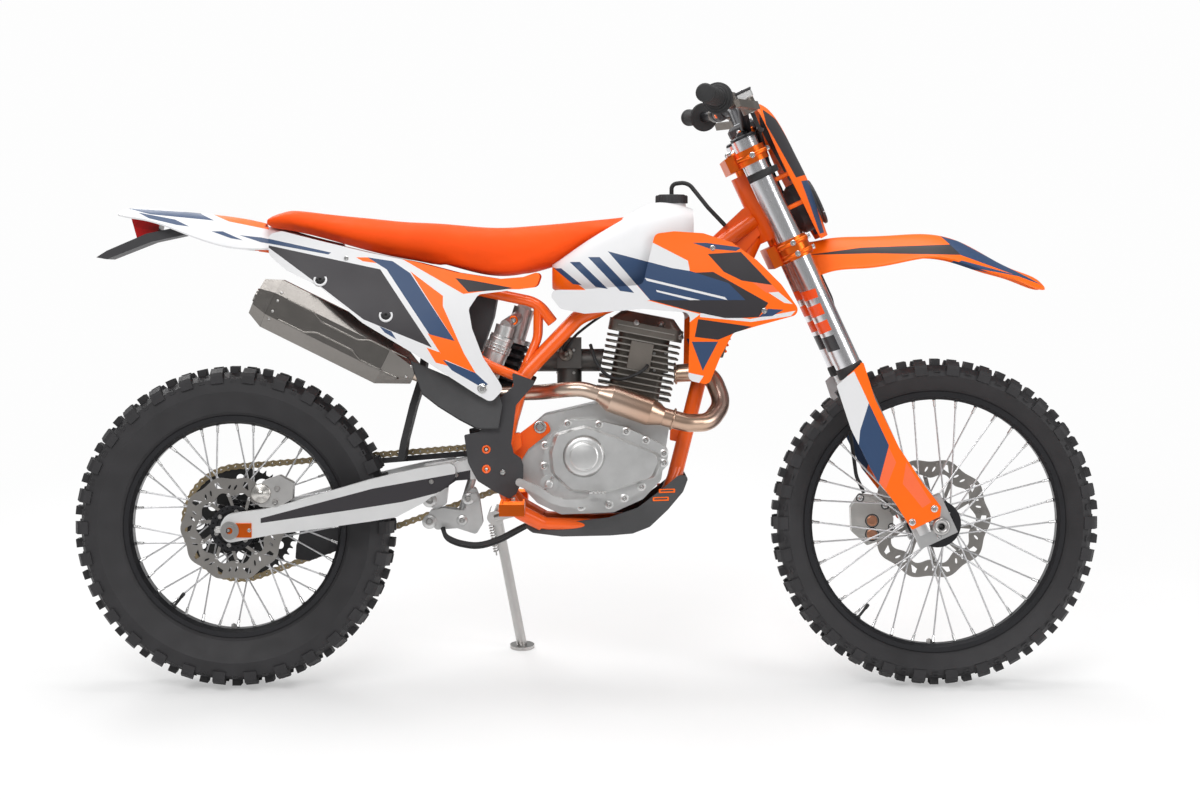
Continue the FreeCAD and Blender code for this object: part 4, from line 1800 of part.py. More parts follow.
def brake_hose():
    """The hose from the right master cylinder down the left fork leg to the caliper."""
    return steered(pipe(FORK_ROOM.path(HOSE_PATH_SHARES), HOSE_RADIUS, HOSE_BEND))


MASK_LEVELS = (
    (0.5591, 0.7083), (0.5842, 0.7765), (0.5932, 0.8414), (0.5881, 0.8973), (0.5669, 0.9831),
    (0.5115, 1.0184),
)
MASK_HALF_SHARES = (0.42, 0.6, 0.68, 0.66, 0.52, 0.3)
MASK_SWEEP_SHARES = (0.06, 0.1, 0.12, 0.12, 0.09, 0.04)
MASK_THICKNESS = 4.0
STRAP_SHARES = (0.495951, 0.539811)
STRAP_LOW, STRAP_HIGH = of_wheelbase(STRAP_SHARES)
STRAP_Y = 88.0
STRAP_RADIUS = 5.0
LAMP_CENTRE_SHARES = ((0.5329, 0.7837),)
LAMP_RADIUS = 48.0
LAMP_DEPTH = 60.0
LAMP_CORE = 30.0
LENS_REACH = 18.0
MASK_STEPS = 8


def mask_grid():
    grid = []
    for (sx, sz), half, sweep in zip(MASK_LEVELS, MASK_HALF_SHARES, MASK_SWEEP_SHARES):
        row = []
        for k in range(MASK_STEPS + 1):
            across = 2 * k / MASK_STEPS - 1
            row.append(FORK_ROOM.at(sx - sweep * across * across, sz, half * across))
        grid.append(row)
    return grid


def headlight_mask():
    """The number-plate shaped mask ahead of the bar, with an opening for the lamp."""
    shell = skin(mask_grid(), V(-MASK_THICKNESS, 0, 0))
    centre = FORK_ROOM.outline(LAMP_CENTRE_SHARES)[0]
    reach = X_AXIS * FORK_ROOM_HALF
    hole = rod(centre - reach, centre + reach, LAMP_RADIUS + RUNNING_GAP)
    ahead = skin(mask_grid(), V(FORK_ROOM_LENGTH, 0, 0))
    ahead.translate(V(-MASK_THICKNESS / 2, 0, 0))
    straps = []
    for up in (STRAP_LOW, STRAP_HIGH):
        strap = rod(V(STEM_OFFSET, STRAP_Y, up), V(FORK_ROOM_LENGTH, STRAP_Y, up), STRAP_RADIUS)
        tube = rod(V(STEM_OFFSET, FORK_HALF_SPACING, 0), V(STEM_OFFSET, FORK_HALF_SPACING, FORK_TOP),
                   FORK_TUBE_RADIUS + SEAT_GAP)
        straps.append(both_sides(strap.cut([tube, ahead])))
    return steered(fused([shell.cut(hole)] + straps))


def headlamp():
    """The lamp behind the mask: a lens through its opening and a bowl narrowing to the rear."""
    centre = FORK_ROOM.outline(LAMP_CENTRE_SHARES)[0]
    back = centre - X_AXIS * LAMP_DEPTH
    bowl = Part.makeCone(LAMP_CORE, LAMP_RADIUS + OVERRUN, LAMP_DEPTH / 2, back, X_AXIS)
    bezel = rod(back + X_AXIS * (LAMP_DEPTH / 2), centre + X_AXIS * LAMP_DEPTH, LAMP_RADIUS + OVERRUN)
    ahead = skin(mask_grid(), V(FORK_ROOM_LENGTH, 0, 0))
    ahead.translate(V(-MASK_THICKNESS - SEAT_GAP, 0, 0))
    lens = rod(centre, centre + X_AXIS * LENS_REACH, LAMP_RADIUS)
    return steered(fused([bowl, bezel.cut(ahead), lens]))


NOSE_ROOM_SHARES = (0.802969, 0.539811, 0.350877, 0.134953)
NOSE_REAR, NOSE_LOW, NOSE_LENGTH, NOSE_HEIGHT = of_wheelbase(NOSE_ROOM_SHARES)
NOSE_HALF = 100.0
NOSE_ROOM = Room(NOSE_REAR, NOSE_LOW, NOSE_LENGTH, NOSE_HEIGHT, NOSE_HALF)
NOSE_X = (0.0115, 0.1154, 0.2692, 0.4038, 0.5192, 0.6346, 0.7692, 0.8846, 1.0)
NOSE_TOP = (0.7, 0.73, 0.755, 0.77, 0.78, 0.725, 0.55, 0.4, 0.24)
NOSE_HALF_SHARES = (0.52, 0.6, 0.68, 0.7, 0.68, 0.64, 0.6, 0.52, 0.32)
NOSE_DROP_SHARES = (0.3, 0.34, 0.32, 0.28, 0.24, 0.22, 0.16, 0.1, 0.03)


def front_fender():
    """The high front fender under the lower clamp."""
    sheet = arched_skin(NOSE_X, NOSE_TOP, NOSE_DROP_SHARES, NOSE_HALF_SHARES, FENDER_THICKNESS, NOSE_ROOM)
    legs = both_sides(rod(V(STEM_OFFSET, FORK_HALF_SPACING, 0), V(STEM_OFFSET, FORK_HALF_SPACING, FORK_TOP),
                          FORK_TUBE_RADIUS + OVERRUN))
    lower = clamp(LOWER_CLAMP_LOW - SEAT_GAP, LOWER_CLAMP_HIGH + SEAT_GAP, RIM_WALL)
    return biggest(sheet.cut([steered(legs), steered(lower)]))


# Assembly

def nodes():
    """Every sub-part by its node name, drawn upright."""
    named = {
        "main_frame": main_frame(),
        "subframe": subframe(),
        "swingarm": swingarm(),
        "rear_axle": rear_axle(),
        "chain": chain(),
        "chain_guides": Part.makeCompound([chain_slider(), chain_guide()]),
        "shock_absorber": shock_body(),
        "shock_spring": shock_spring(),
        "shock_linkage": shock_linkage(),
        "rear_caliper": rear_caliper(),
        "engine_case": engine_case(),
        "engine_covers": engine_covers(),
        "cylinder": cylinder(),
        "cylinder_head": cylinder_head(),
        "carburettor": carburettor(),
        "airbox": airbox(),
        "exhaust_header": exhaust_header(),
        "silencer": silencer(),
        "silencer_cap": silencer_cap(),
        "radiators": radiators(),
        "fuel_tank": fuel_tank(),
        "fuel_cap": fuel_cap(),
        "seat": seat(),
        "vent_hose": vent_hose(),
        "side_panels": Part.makeCompound([side_cover(-1), side_cover(1)]),
        "shrouds": Part.makeCompound([tank_shroud(-1), tank_shroud(1)]),
        "rear_fender": rear_fender(),
        "tail_bracket": tail_bracket(),
        "tail_lamp": tail_lamp(),
        "mud_flap": mud_flap(),
        "frame_guards": frame_guards(),
        "skid_plate": skid_plate(),
        "footpegs": footpegs(),
        "brake_pedal": brake_pedal(),
        "gear_lever": gear_lever(),
        "stand_bracket": stand_bracket(),
        "side_stand": side_stand(),
        "triple_clamps": triple_clamps(),
        "fork_tubes": fork_tubes(),
        "fork_sliders": fork_sliders(),
        "fork_guards": fork_guards(),
        "front_axle": front_axle(),
        "front_caliper": front_caliper(),
        "handlebar": handlebar(),
        "grips": grips(),
        "hand_controls": hand_controls(),
        "brake_hose": brake_hose(),
        "headlight_mask": headlight_mask(),
        "headlamp": headlamp(),
        "front_fender": front_fender(),
    }
    named.update(front_wheel_nodes())
    named.update(rear_wheel_nodes())
    return named


def leaned(shape):
    """Leans a shape onto the side stand, about the ground line under the tyres' crown edges."""
    copy = shape.copy()
    copy.rotate(V(0, CROWN_HALF, 0), X_AXIS, -LEAN_DEG)
    return copy


def placed(named):
    """All pieces leaned, then moved so the origin is the floor point under the bike's middle."""
    leant = {name: leaned(shape) for name, shape in named.items()}
    box = FreeCAD.BoundBox()
    for shape in leant.values():
        box.add(shape.BoundBox)
    middle = V((box.XMin + box.XMax) / 2, (box.YMin + box.YMax) / 2, 0)
    for shape in leant.values():
        shape.translate(middle * -1)
    return leant, middle


def build():
    os.makedirs("parts", exist_ok=True)
    named, _ = placed(nodes())
    for name, shape in named.items():
        shape.exportStep(os.path.join("parts", name + ".step"))


if __name__ == "__main__":
    build()
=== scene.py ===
import json
import math

import bmesh
import bpy
import mathutils.geometry
from mathutils import Matrix, Vector
from mathutils.bvhtree import BVHTree


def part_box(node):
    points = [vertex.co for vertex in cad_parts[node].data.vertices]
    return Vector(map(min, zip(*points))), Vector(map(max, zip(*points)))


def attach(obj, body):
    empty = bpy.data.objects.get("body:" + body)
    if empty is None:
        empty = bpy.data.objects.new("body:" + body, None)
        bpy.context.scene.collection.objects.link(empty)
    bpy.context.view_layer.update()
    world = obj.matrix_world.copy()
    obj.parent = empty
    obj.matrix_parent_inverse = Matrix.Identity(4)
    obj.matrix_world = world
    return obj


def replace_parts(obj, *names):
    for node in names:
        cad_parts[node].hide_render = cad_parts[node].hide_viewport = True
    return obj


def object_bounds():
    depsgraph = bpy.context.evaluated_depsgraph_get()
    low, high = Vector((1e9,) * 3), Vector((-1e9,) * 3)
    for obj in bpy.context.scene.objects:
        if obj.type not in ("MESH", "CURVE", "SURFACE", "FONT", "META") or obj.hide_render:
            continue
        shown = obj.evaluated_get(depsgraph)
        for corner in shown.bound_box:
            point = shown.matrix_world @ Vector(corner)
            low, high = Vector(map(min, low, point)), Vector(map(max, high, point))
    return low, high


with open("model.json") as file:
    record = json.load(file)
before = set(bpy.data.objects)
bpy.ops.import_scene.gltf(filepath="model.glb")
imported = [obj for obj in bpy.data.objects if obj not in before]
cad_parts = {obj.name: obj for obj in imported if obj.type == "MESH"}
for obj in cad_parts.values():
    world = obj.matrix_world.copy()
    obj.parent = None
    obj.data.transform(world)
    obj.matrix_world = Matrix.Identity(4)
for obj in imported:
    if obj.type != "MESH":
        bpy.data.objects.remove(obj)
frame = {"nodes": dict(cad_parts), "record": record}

CAD_BOX = [list(corner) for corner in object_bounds()]

# Frame of the upright bike
# Places below are millimetres in the upright bike: x ahead of the rear axle, y to the left,
# z above the ground. UPRIGHT takes them to the leaned part in metres.

MM = 0.001
LEAN, RAKE = math.radians(10), math.radians(25)
WHEELBASE, FRONT_R, REAR_R = 1482.0, 346.0, 339.0
STEM, AXLE_AHEAD = 24.0, 33.0
REAR_AXLE, FRONT_AXLE = Vector((0, 0, REAR_R)), Vector((WHEELBASE, 0, FRONT_R))
AHEAD = Vector((math.cos(RAKE), 0, math.sin(RAKE)))
RISE = Vector((-math.sin(RAKE), 0, math.cos(RAKE)))
FORWARD, ACROSS, UPWARD = Vector((1, 0, 0)), Vector((0, 1, 0)), Vector((0, 0, 1))
SIDES = (-1, 1)


def lean_matrix():
    """The upright bike's millimetres to the part's metres, set by the rear axle's own place."""
    low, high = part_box("rear_axle")
    turn = Matrix.Rotation(-LEAN, 4, "X")
    start = turn @ Vector((0, 0, REAR_R * MM))
    return Matrix.Translation((low + high) / 2 - start) @ turn @ Matrix.Diagonal((MM, MM, MM, 1))


UPRIGHT = lean_matrix()
UP = UPRIGHT.to_3x3().normalized()
TO_MM = UPRIGHT.inverted()
STEERING_FOOT = FRONT_AXLE - AHEAD * (STEM + AXLE_AHEAD)


def steer(a, y, u):
    """A place ahead of the steering axis, to the left, and up along it, in upright millimetres."""
    return STEERING_FOOT + AHEAD * a + RISE * u + ACROSS * y


# Materials

EDGE_SLACK = 0.02


def convex_parts(polygon):
    """The outline itself where it is convex, else the triangles that fill it."""
    turns_seen = set()
    for i, (x, z) in enumerate(polygon):
        x2, z2 = polygon[(i + 1) % len(polygon)]
        x3, z3 = polygon[(i + 2) % len(polygon)]
        cross = (x2 - x) * (z3 - z2) - (z2 - z) * (x3 - x2)
        if abs(cross) > 1:
            turns_seen.add(cross > 0)
    if len(turns_seen) < 2:
        return [polygon]
    corners = [Vector((x, z, 0)) for x, z in polygon]
    return [tuple(polygon[i] for i in three) for three in mathutils.geometry.tessellate_polygon([corners])]


class Shader:
    """A node material built step by step."""

    def __init__(self, name):
        self.mat = bpy.data.materials.new(name)
        self.mat.use_nodes = True
        self.tree = self.mat.node_tree
        self.bsdf = self.tree.nodes["Principled BSDF"]
        self.coords = None

    def node(self, kind, inputs, **settings):
        """A node with its settings; each input takes a value or another node's output."""
        made = self.tree.nodes.new(kind)
        for key, value in settings.items():
            setattr(made, key, value)
        for key, value in inputs.items():
            if isinstance(value, bpy.types.NodeSocket):
                self.tree.links.new(value, made.inputs[key])
            else:
                made.inputs[key].default_value = value
        return made

    def feed(self, name, source):
        self.tree.links.new(source, self.bsdf.inputs[name])

    def local(self):
        """The piece's own coordinates in metres."""
        if self.coords is None:
            self.coords = self.node("ShaderNodeTexCoord", {}).outputs["Object"]
        return self.coords

    def upright(self):
        """The same place in the upright bike, in millimetres."""
        inputs = {"Location": UPRIGHT.to_translation(), "Rotation": (-LEAN, 0, 0), "Scale": (MM, MM, MM),
                  "Vector": self.local()}
        return self.node("ShaderNodeMapping", inputs, vector_type="TEXTURE").outputs["Vector"]

    def vector(self, operation, a, b, output=0):
        return self.node("ShaderNodeVectorMath", {0: a, 1: b}, operation=operation).outputs[output]

    def math(self, operation, a, b):
        return self.node("ShaderNodeMath", {0: a, 1: b}, operation=operation).outputs[0]

    def noise(self, scale, detail=4.0, stretch=None):
        source = self.local()
        if stretch:
            source = self.node("ShaderNodeMapping", {"Scale": stretch, "Vector": source}).outputs["Vector"]
        inputs = {"Scale": scale, "Detail": detail, "Roughness": 0.55, "Vector": source}
        return self.node("ShaderNodeTexNoise", inputs).outputs["Fac"]

    def ramp(self, source, stops):
        made = self.node("ShaderNodeValToRGB", {"Fac": source})
        band = made.color_ramp
        while len(band.elements) < len(stops):
            band.elements.new(0.5)
        for element, (place, colour) in zip(band.elements, stops):
            element.position = place
            element.color = (*colour, 1)
        return made.outputs["Color"]

    def mix(self, factor, a, b):
        a, b = [(*side, 1) if isinstance(side, tuple) else side for side in (a, b)]
        return self.node("ShaderNodeMix", {0: factor, 6: a, 7: b}, data_type="RGBA").outputs[2]

    def bump(self, height, strength, distance):
        """Relief over the relief laid before it."""
        made = self.node("ShaderNodeBump", {"Strength": strength, "Distance": distance, "Height": height})
        normal = self.bsdf.inputs["Normal"]
        if normal.is_linked:
            self.tree.links.new(normal.links[0].from_socket, made.inputs["Normal"])
        self.feed("Normal", made.outputs["Normal"])

    def grain(self, *layers):
        """Relief from noise; each layer is its scale, detail, strength and depth in metres."""
        for scale, detail, strength, depth in layers:
            self.bump(self.noise(scale, detail), strength, depth)

    def cells(self, scale, strength, depth, feature):
        made = self.node("ShaderNodeTexVoronoi", {"Scale": scale, "Vector": self.local()}, feature=feature)
        self.bump(made.outputs["Distance"], strength, depth)

    def span(self, source, **limits):
        """The source moved into new limits."""
        inputs = {key.replace("_", " "): value for key, value in limits.items()}
        return self.node("ShaderNodeMapRange", {**inputs, "Value": source}).outputs["Result"]

    def roughness(self, low, high, scale):
        self.feed("Roughness", self.span(self.noise(scale), To_Min=low, To_Max=high))

    def set(self, **values):
        for key, value in values.items():
            self.bsdf.inputs[key.replace("_", " ")].default_value = value

    def inside(self, polygon, place):
        """1 inside a convex side-view outline given in upright millimetres, else 0."""
        centre = Vector((sum(p[0] for p in polygon), 0, sum(p[1] for p in polygon))) / len(polygon)
        least = None
        for i, (x, z) in enumerate(polygon):
            x2, z2 = polygon[(i + 1) % len(polygon)]
            corner = Vector((x, 0, z))
            normal = Vector((z - z2, 0, x2 - x)).normalized()
            if normal.dot(centre - corner) < 0:
                normal = -normal
            along = self.vector("DOT_PRODUCT", place, normal, "Value")
            reach = self.math("SUBTRACT", along, normal.dot(corner))
            least = reach if least is None else self.math("MINIMUM", least, reach)
        return self.math("GREATER_THAN", least, -EDGE_SLACK)

    def zones(self, base, areas):
        """Lays flat colours inside side-view outlines over a base colour."""
        place = self.upright() if areas else None
        for colour, polygons in areas:
            mask = None
            for polygon in [part for whole in polygons for part in convex_parts(whole)]:
                here = self.inside(polygon, place)
                mask = here if mask is None else self.math("MAXIMUM", mask, here)
            base = self.mix(mask, base, colour)
        return base

    def paint(self, colour, spread, scale, areas=()):
        """The base colour with slow variation in lightness, and flat fields over it."""
        shades = [tuple(min(1.0, c * (1 + change)) for c in colour) for change in (-spread, spread)]
        base = self.ramp(self.noise(scale), list(zip((0.3, 0.7), shades)))
        self.feed("Base Color", self.zones(base, areas))


def finish(name, colour, tint, roughness, layers=(), areas=(), **values):
    """A shader from its colour, its tint's spread and scale, roughness, relief layers and settings."""
    made = Shader(name)
    made.paint(colour, *tint, areas)
    made.roughness(*roughness)
    made.grain(*layers)
    made.set(**values)
    return made


def plastic(name, colour, low=0.4, high=0.52, areas=(), grain=0.05, coat=0.04):
    """Moulded plastic with a faint clear coat."""
    layers = ((900, 2, grain, 0.0004), (14, 2, 0.04, 0.002))
    return finish(name, colour, (0.03, 6), (low, high, 30), layers, areas, Coat_Weight=coat,
                  Coat_Roughness=0.15, Specular_IOR_Level=0.32).mat


def grained_plastic(name, colour, low=0.5, high=0.7):
    """Matt plastic or rubber with a leathery grain."""
    made = finish(name, colour, (0.15, 12), (low, high, 60))
    made.cells(900, 0.25, 0.0003, "SMOOTH_F1")
    return made.mat


def metal(name, colour, low, high, stretch=None, bump=0.05, spread=0.06, metallic=1.0):
    """Turned or drawn metal; stretch makes the grain run one way."""
    made = finish(name, colour, (spread, 9), (low, high, 50), Metallic=metallic)
    made.bump(made.noise(400, 5, stretch), bump, 0.0004)
    return made.mat


def cast(name, colour, low=0.42, high=0.6):
    """Cast alloy with a sandy skin."""
    layers = ((1300, 6, 0.22, 0.0006), (60, 3, 0.1, 0.001))
    return finish(name, colour, (0.1, 15), (low, high, 70), layers, Metallic=0.85).mat


def painted(name, colour):
    """Powder paint on a welded frame."""
    return finish(name, colour, (0.05, 8), (0.25, 0.38, 35), ((260, 3, 0.05, 0.0006),), Coat_Weight=0.3,
                  Coat_Roughness=0.1, Specular_IOR_Level=0.4).mat


def rubber(name, colour, low, high):
    """Tyre rubber, dusty and dull."""
    layers = ((700, 5, 0.18, 0.0005), (45, 3, 0.08, 0.0012))
    return finish(name, colour, (0.22, 25), (low, high, 50), layers).mat


def cover_cloth(name, colour):
    """Grained seat cover with a fine woven grip pattern."""
    made = finish(name, colour, (0.06, 10), (0.55, 0.7, 60), Sheen_Weight=0.08, Sheen_Roughness=0.4,
                  Specular_IOR_Level=0.22)
    made.cells(700, 0.35, 0.0005, "F1")
    made.grain((9, 3, 0.1, 0.004))
    return made.mat


def heated_steel(name):
    """Copper-brown pipe, darker towards its hot front end."""
    made = Shader(name)
    along = made.node("ShaderNodeSeparateXYZ", {0: made.upright()}).outputs["X"]
    share = made.span(along, From_Min=560, From_Max=1040)
    mixed = made.math("ADD", share, made.math("MULTIPLY", made.noise(6, 2), 0.12))
    made.feed("Base Color", made.ramp(mixed, HEAT_COLOURS))
    made.roughness(0.26, 0.34, 20)
    made.grain((500, 4, 0.015, 0.0002))
    made.set(Metallic=1.0)
    return made.mat


HEAT_COLOURS = (
    (0.1, (0.6, 0.5, 0.42)), (0.45, (0.62, 0.48, 0.39)), (0.7, (0.52, 0.35, 0.26)), (0.95, (0.56, 0.4, 0.3)),
    (1.0, (0.42, 0.3, 0.25)),
)


def wheel_metal(name, hub, edge):
    """Dark hub and bright spokes, told apart by their reach from the wheel's axis."""
    made = Shader(name)
    low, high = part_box(hub)
    ray = made.vector("SUBTRACT", made.local(), (low + high) / 2)
    flat = made.vector("CROSS_PRODUCT", ray, UP @ ACROSS)
    reach = made.node("ShaderNodeVectorMath", {0: flat}, operation="LENGTH").outputs["Value"]
    mask = made.math("GREATER_THAN", reach, edge)
    made.feed("Base Color", made.mix(mask, (0.03, 0.03, 0.032), (0.62, 0.62, 0.63)))
    made.roughness(0.28, 0.42, 60)
    made.grain((500, 4, 0.08, 0.0004))
    made.set(Metallic=0.9)
    return made.mat


def banded_alloy(name, colour, areas, low=0.3, high=0.42, metallic=0.55, bump=0.06):
    """Satin metal with flat painted fields."""
    made = finish(name, colour, (0.04, 12), (low, high, 60), ((700, 5, bump, 0.0004),), areas)
    bare = made.ramp(made.noise(3), [(0.0, (metallic,) * 3), (1.0, (metallic,) * 3)])
    made.feed("Metallic", made.zones(bare, tuple(((0.0, 0.0, 0.0), polygons) for _, polygons in areas)))
    return made.mat


ORANGE = (0.98, 0.14, 0.0)
NAVY = (0.028, 0.06, 0.135)
WHITE = (0.72, 0.72, 0.73)
DARK = (0.035, 0.034, 0.037)
GREY = (0.03, 0.027, 0.031)
CORAL = (0.9, 0.15, 0.05)
FORK_RED = (0.85, 0.08, 0.01)

# Side-view outlines of the coloured fields, in the upright bike's millimetres (x, z)
DARK_FIELDS = (
    ((74, 934), (317, 882), (425, 721), (284, 779), (189, 851)),
    ((472, 864), (513, 858), (592, 843), (565, 839), (499, 835)),
)
NAVY_BANDS = (
    ((290, 907), (342, 899), (379, 874), (330, 882)),
    ((330, 882), (379, 874), (472, 734), (420, 748)),
    ((447, 696), (515, 668), (540, 645), (530, 637), (466, 674)),
    ((317, 765), (342, 754), (352, 738), (328, 752)),
    ((28, 952), (74, 948), (214, 917), (208, 913), (74, 938)),
)
ORANGE_BANDS = (
    ((266, 907), (290, 907), (309, 895), (280, 899)),
    ((379, 878), (447, 827), (447, 806), (472, 734)),
    ((447, 806), (503, 682), (515, 668), (472, 734)),
    ((416, 750), (476, 734), (515, 668), (451, 696)),
    ((414, 721), (441, 711), (462, 682), (433, 690)),
    ((352, 909), (472, 878), (565, 841), (489, 831)),
    ((472, 878), (544, 866), (617, 872), (742, 839), (565, 841)),
    ((617, 872), (658, 891), (681, 884), (742, 839)),
)
SHROUD_WHITE = (
    ((565, 921), (784, 921), (875, 818), (854, 814), (565, 777)),
    ((689, 835), (875, 816), (978, 789), (957, 773), (689, 756)),
    ((771, 983), (854, 950), (953, 899), (957, 876), (771, 897)),
    ((978, 791), (1081, 779), (1083, 773), (978, 783)),
    ((1081, 779), (1174, 796), (1164, 785), (1083, 773)),
    ((1085, 855), (1122, 849), (1168, 810), (1151, 812)),
)
SHROUD_NAVY = (
    ((788, 919), (920, 884), (957, 878), (978, 818), (875, 818)),
    ((957, 878), (1036, 853), (1071, 818), (978, 818)),
    ((1118, 800), (1149, 798), (1126, 785), (1098, 783)),
    ((963, 936), (990, 936), (1064, 926), (1052, 919), (998, 924)),
    ((961, 732), (1015, 732), (984, 672)),
    ((747, 907), (771, 907), (842, 833), (813, 837)),
    ((709, 897), (730, 897), (788, 841), (763, 845)),
    ((676, 884), (691, 884), (734, 849), (716, 851)),
)
SHROUD_DARK = (
    ((875, 818), (1071, 818), (1060, 781), (1029, 781), (957, 796)),
    ((1071, 818), (1118, 812), (1098, 783), (1060, 781)),
    ((957, 874), (1005, 876), (1118, 812), (1071, 818)),
    ((994, 913), (1062, 917), (1126, 849), (1064, 858), (1027, 876)),
    ((974, 779), (1085, 763), (1044, 748), (1015, 736), (967, 742)),
)
WHITE_BANDS = (
    ((864, 864), (1029, 824), (1034, 818), (868, 858)),
    ((887, 839), (978, 818), (957, 818), (889, 835)),
    ((945, 670), (986, 661), (974, 643), (941, 649)),
)
CORAL_BANDS = (
    ((1085, 855), (1126, 849), (1139, 835), (1114, 833)),
)
TAIL_STRIPES = (
    ((-227, 1012), (-169, 1008), (-73, 1002), (-37, 985), (-169, 998)),
    ((-196, 1002), (-117, 987), (-85, 972), (-110, 975), (-169, 989)),
    ((-39, 962), (-16, 962), (28, 943), (3, 947)),
    ((19, 954), (65, 949), (207, 918), (201, 914), (65, 939)),
)
TAIL_ORANGE = (
    ((-48, 1000), (65, 989), (78, 966), (-6, 983)),
)
GUARD_NAVY = (((1329, 604), (1371, 516), (1350, 437), (1308, 513), (1311, 547)),)
GUARD_WHITE = (((1248, 634), (1298, 670), (1329, 604), (1311, 547), (1308, 513), (1286, 537)),)
GUARD_CORAL = (
    ((1371, 512), (1386, 481), (1365, 426), (1350, 437)),
    ((1407, 481), (1459, 398), (1441, 386), (1400, 436)),
)
ARM_GREY = (
    ((64, 364), (299, 426), (360, 398), (258, 382), (64, 354)),
    ((299, 426), (500, 462), (500, 434), (360, 398)),
)
MASK_DARK = (((1112, 1216), (1143, 1196), (1212, 1083), (1180, 1072), (1118, 1182)),)
MASK_NAVY = (((1192, 1065), (1210, 1069), (1243, 959), (1232, 956)),)
FORK_BAND = (
    ((1186, 832), (1218, 842), (1224, 824), (1192, 812)),
    ((1196, 798), (1228, 812), (1238, 790), (1206, 776)),
    ((1212, 764), (1242, 778), (1252, 756), (1222, 742)),
)
FORK_DARK = (((1228, 736), (1256, 746), (1270, 716), (1240, 706)),)
FENDER_DARK = (((1211, 912), (1321, 927), (1524, 934), (1558, 911), (1349, 915)),)
FENDER_NAVY = (
    ((1491, 952), (1530, 941), (1706, 848), (1663, 863), (1530, 911)),
    ((1516, 891), (1600, 876), (1663, 865), (1530, 900)),
)
BODY_FIELDS = (
    (ORANGE, ORANGE_BANDS), (GREY, DARK_FIELDS + SHROUD_DARK), (NAVY, NAVY_BANDS + SHROUD_NAVY),
    (WHITE, WHITE_BANDS),
)


MATS = {
    "orange_frame": painted("OrangeFrame", (0.9, 0.115, 0.004)),
    "orange_plastic": plastic("OrangePlastic", ORANGE),
    "white_plastic": plastic("WhitePlastic", WHITE),
    "black_plastic": grained_plastic("BlackPlastic", DARK),
    "grey_plastic": grained_plastic("GreyPlastic", (0.05, 0.05, 0.052)),
    "seat_cover": cover_cloth("SeatCover", (0.95, 0.082, 0.001)),
    "silver_alloy": cast("SilverAlloy", (0.64, 0.64, 0.635), 0.3, 0.44),
    "dark_alloy": cast("DarkAlloy", (0.2, 0.18, 0.16), 0.36, 0.5),
    "orange_alloy": metal("OrangeAlloy", (0.9, 0.16, 0.02), 0.25, 0.4, spread=0.08),
    "black_alloy": metal("BlackAlloy", (0.03, 0.03, 0.033), 0.3, 0.45, metallic=0.6),
    "steel": metal("Steel", (0.5, 0.49, 0.48), 0.25, 0.42, stretch=(1, 1, 12)),
    "chrome_tube": metal("ChromeTube", (0.68, 0.68, 0.7), 0.08, 0.16, bump=0.02),
    "header_steel": heated_steel("HeaderSteel"),
    "silencer_steel": metal("SilencerSteel", (0.25, 0.235, 0.22), 0.2, 0.3, stretch=(1, 14, 14), bump=0.1),
    "tyre_rubber": rubber("TyreRubber", (0.021, 0.02, 0.022), 0.5, 0.75),
    "black_rubber": grained_plastic("BlackRubber", (0.02, 0.02, 0.021), 0.6, 0.8),
    "red_lens": plastic("RedLens", (0.5, 0.01, 0.01), 0.1, 0.2),
    "clear_lens": plastic("ClearLens", (0.45, 0.46, 0.48), 0.05, 0.12, coat=0.6),
}


def dress(node, material):
    data = frame["nodes"][node].data
    data.materials.clear()
    data.materials.append(material)


SHROUD_FIELDS = (
    (WHITE, SHROUD_WHITE), (ORANGE, ORANGE_BANDS), (GREY, SHROUD_DARK), (NAVY, SHROUD_NAVY),
    (WHITE, WHITE_BANDS), (CORAL, CORAL_BANDS),
)
GUARD_FIELDS = ((WHITE, GUARD_WHITE), (NAVY, GUARD_NAVY), (CORAL, GUARD_CORAL))
FORK_FIELDS = ((FORK_RED, FORK_BAND), (DARK, FORK_DARK))

for row in frame["record"]["subparts"]:
    dress(row["node"], MATS[row["material_slot"]])
dress("fuel_tank", plastic("TankPlastic", WHITE, areas=BODY_FIELDS, grain=0.08))
dress("side_panels", plastic("PanelPlastic", WHITE, areas=BODY_FIELDS))
dress("shrouds", plastic("ShroudPlastic", ORANGE, areas=SHROUD_FIELDS))
dress("rear_fender", plastic("RearFenderPlastic", WHITE, areas=((NAVY, TAIL_STRIPES), (ORANGE, TAIL_ORANGE))))
dress("fork_guards", plastic("GuardPlastic", ORANGE, areas=GUARD_FIELDS))
dress("headlight_mask", plastic("MaskPlastic", ORANGE, areas=((GREY, MASK_DARK), (NAVY, MASK_NAVY))))
dress("front_fender", plastic("FenderPlastic", ORANGE, areas=((GREY, FENDER_DARK), (NAVY, FENDER_NAVY))))
dress("silencer_cap", MATS["silencer_steel"])
dress("shock_linkage", MATS["silver_alloy"])
dress("carburettor", cast("CarburettorMetal", (0.12, 0.115, 0.11), 0.4, 0.55))
dress("headlamp", MATS["black_plastic"])
dress("front_caliper", cast("CaliperMetal", (0.5, 0.49, 0.47), 0.32, 0.46))
dress("rear_caliper", cast("RearCaliperMetal", (0.55, 0.54, 0.53), 0.32, 0.46))
dress("fork_sliders", cast("SliderMetal", (0.6, 0.6, 0.6), 0.3, 0.42))
dress("swingarm", banded_alloy("ArmMetal", (0.8, 0.8, 0.8), ((GREY, ARM_GREY),)))
dress("fork_tubes", banded_alloy("ForkTubeMetal", (0.7, 0.7, 0.72), FORK_FIELDS, 0.22, 0.3, 1.0, 0.0))
dress("front_hub", wheel_metal("FrontHubMetal", "front_hub", 0.048))
dress("rear_hub", wheel_metal("RearHubMetal", "rear_hub", 0.058))

# Mesh pieces, made in the upright bike's millimetres

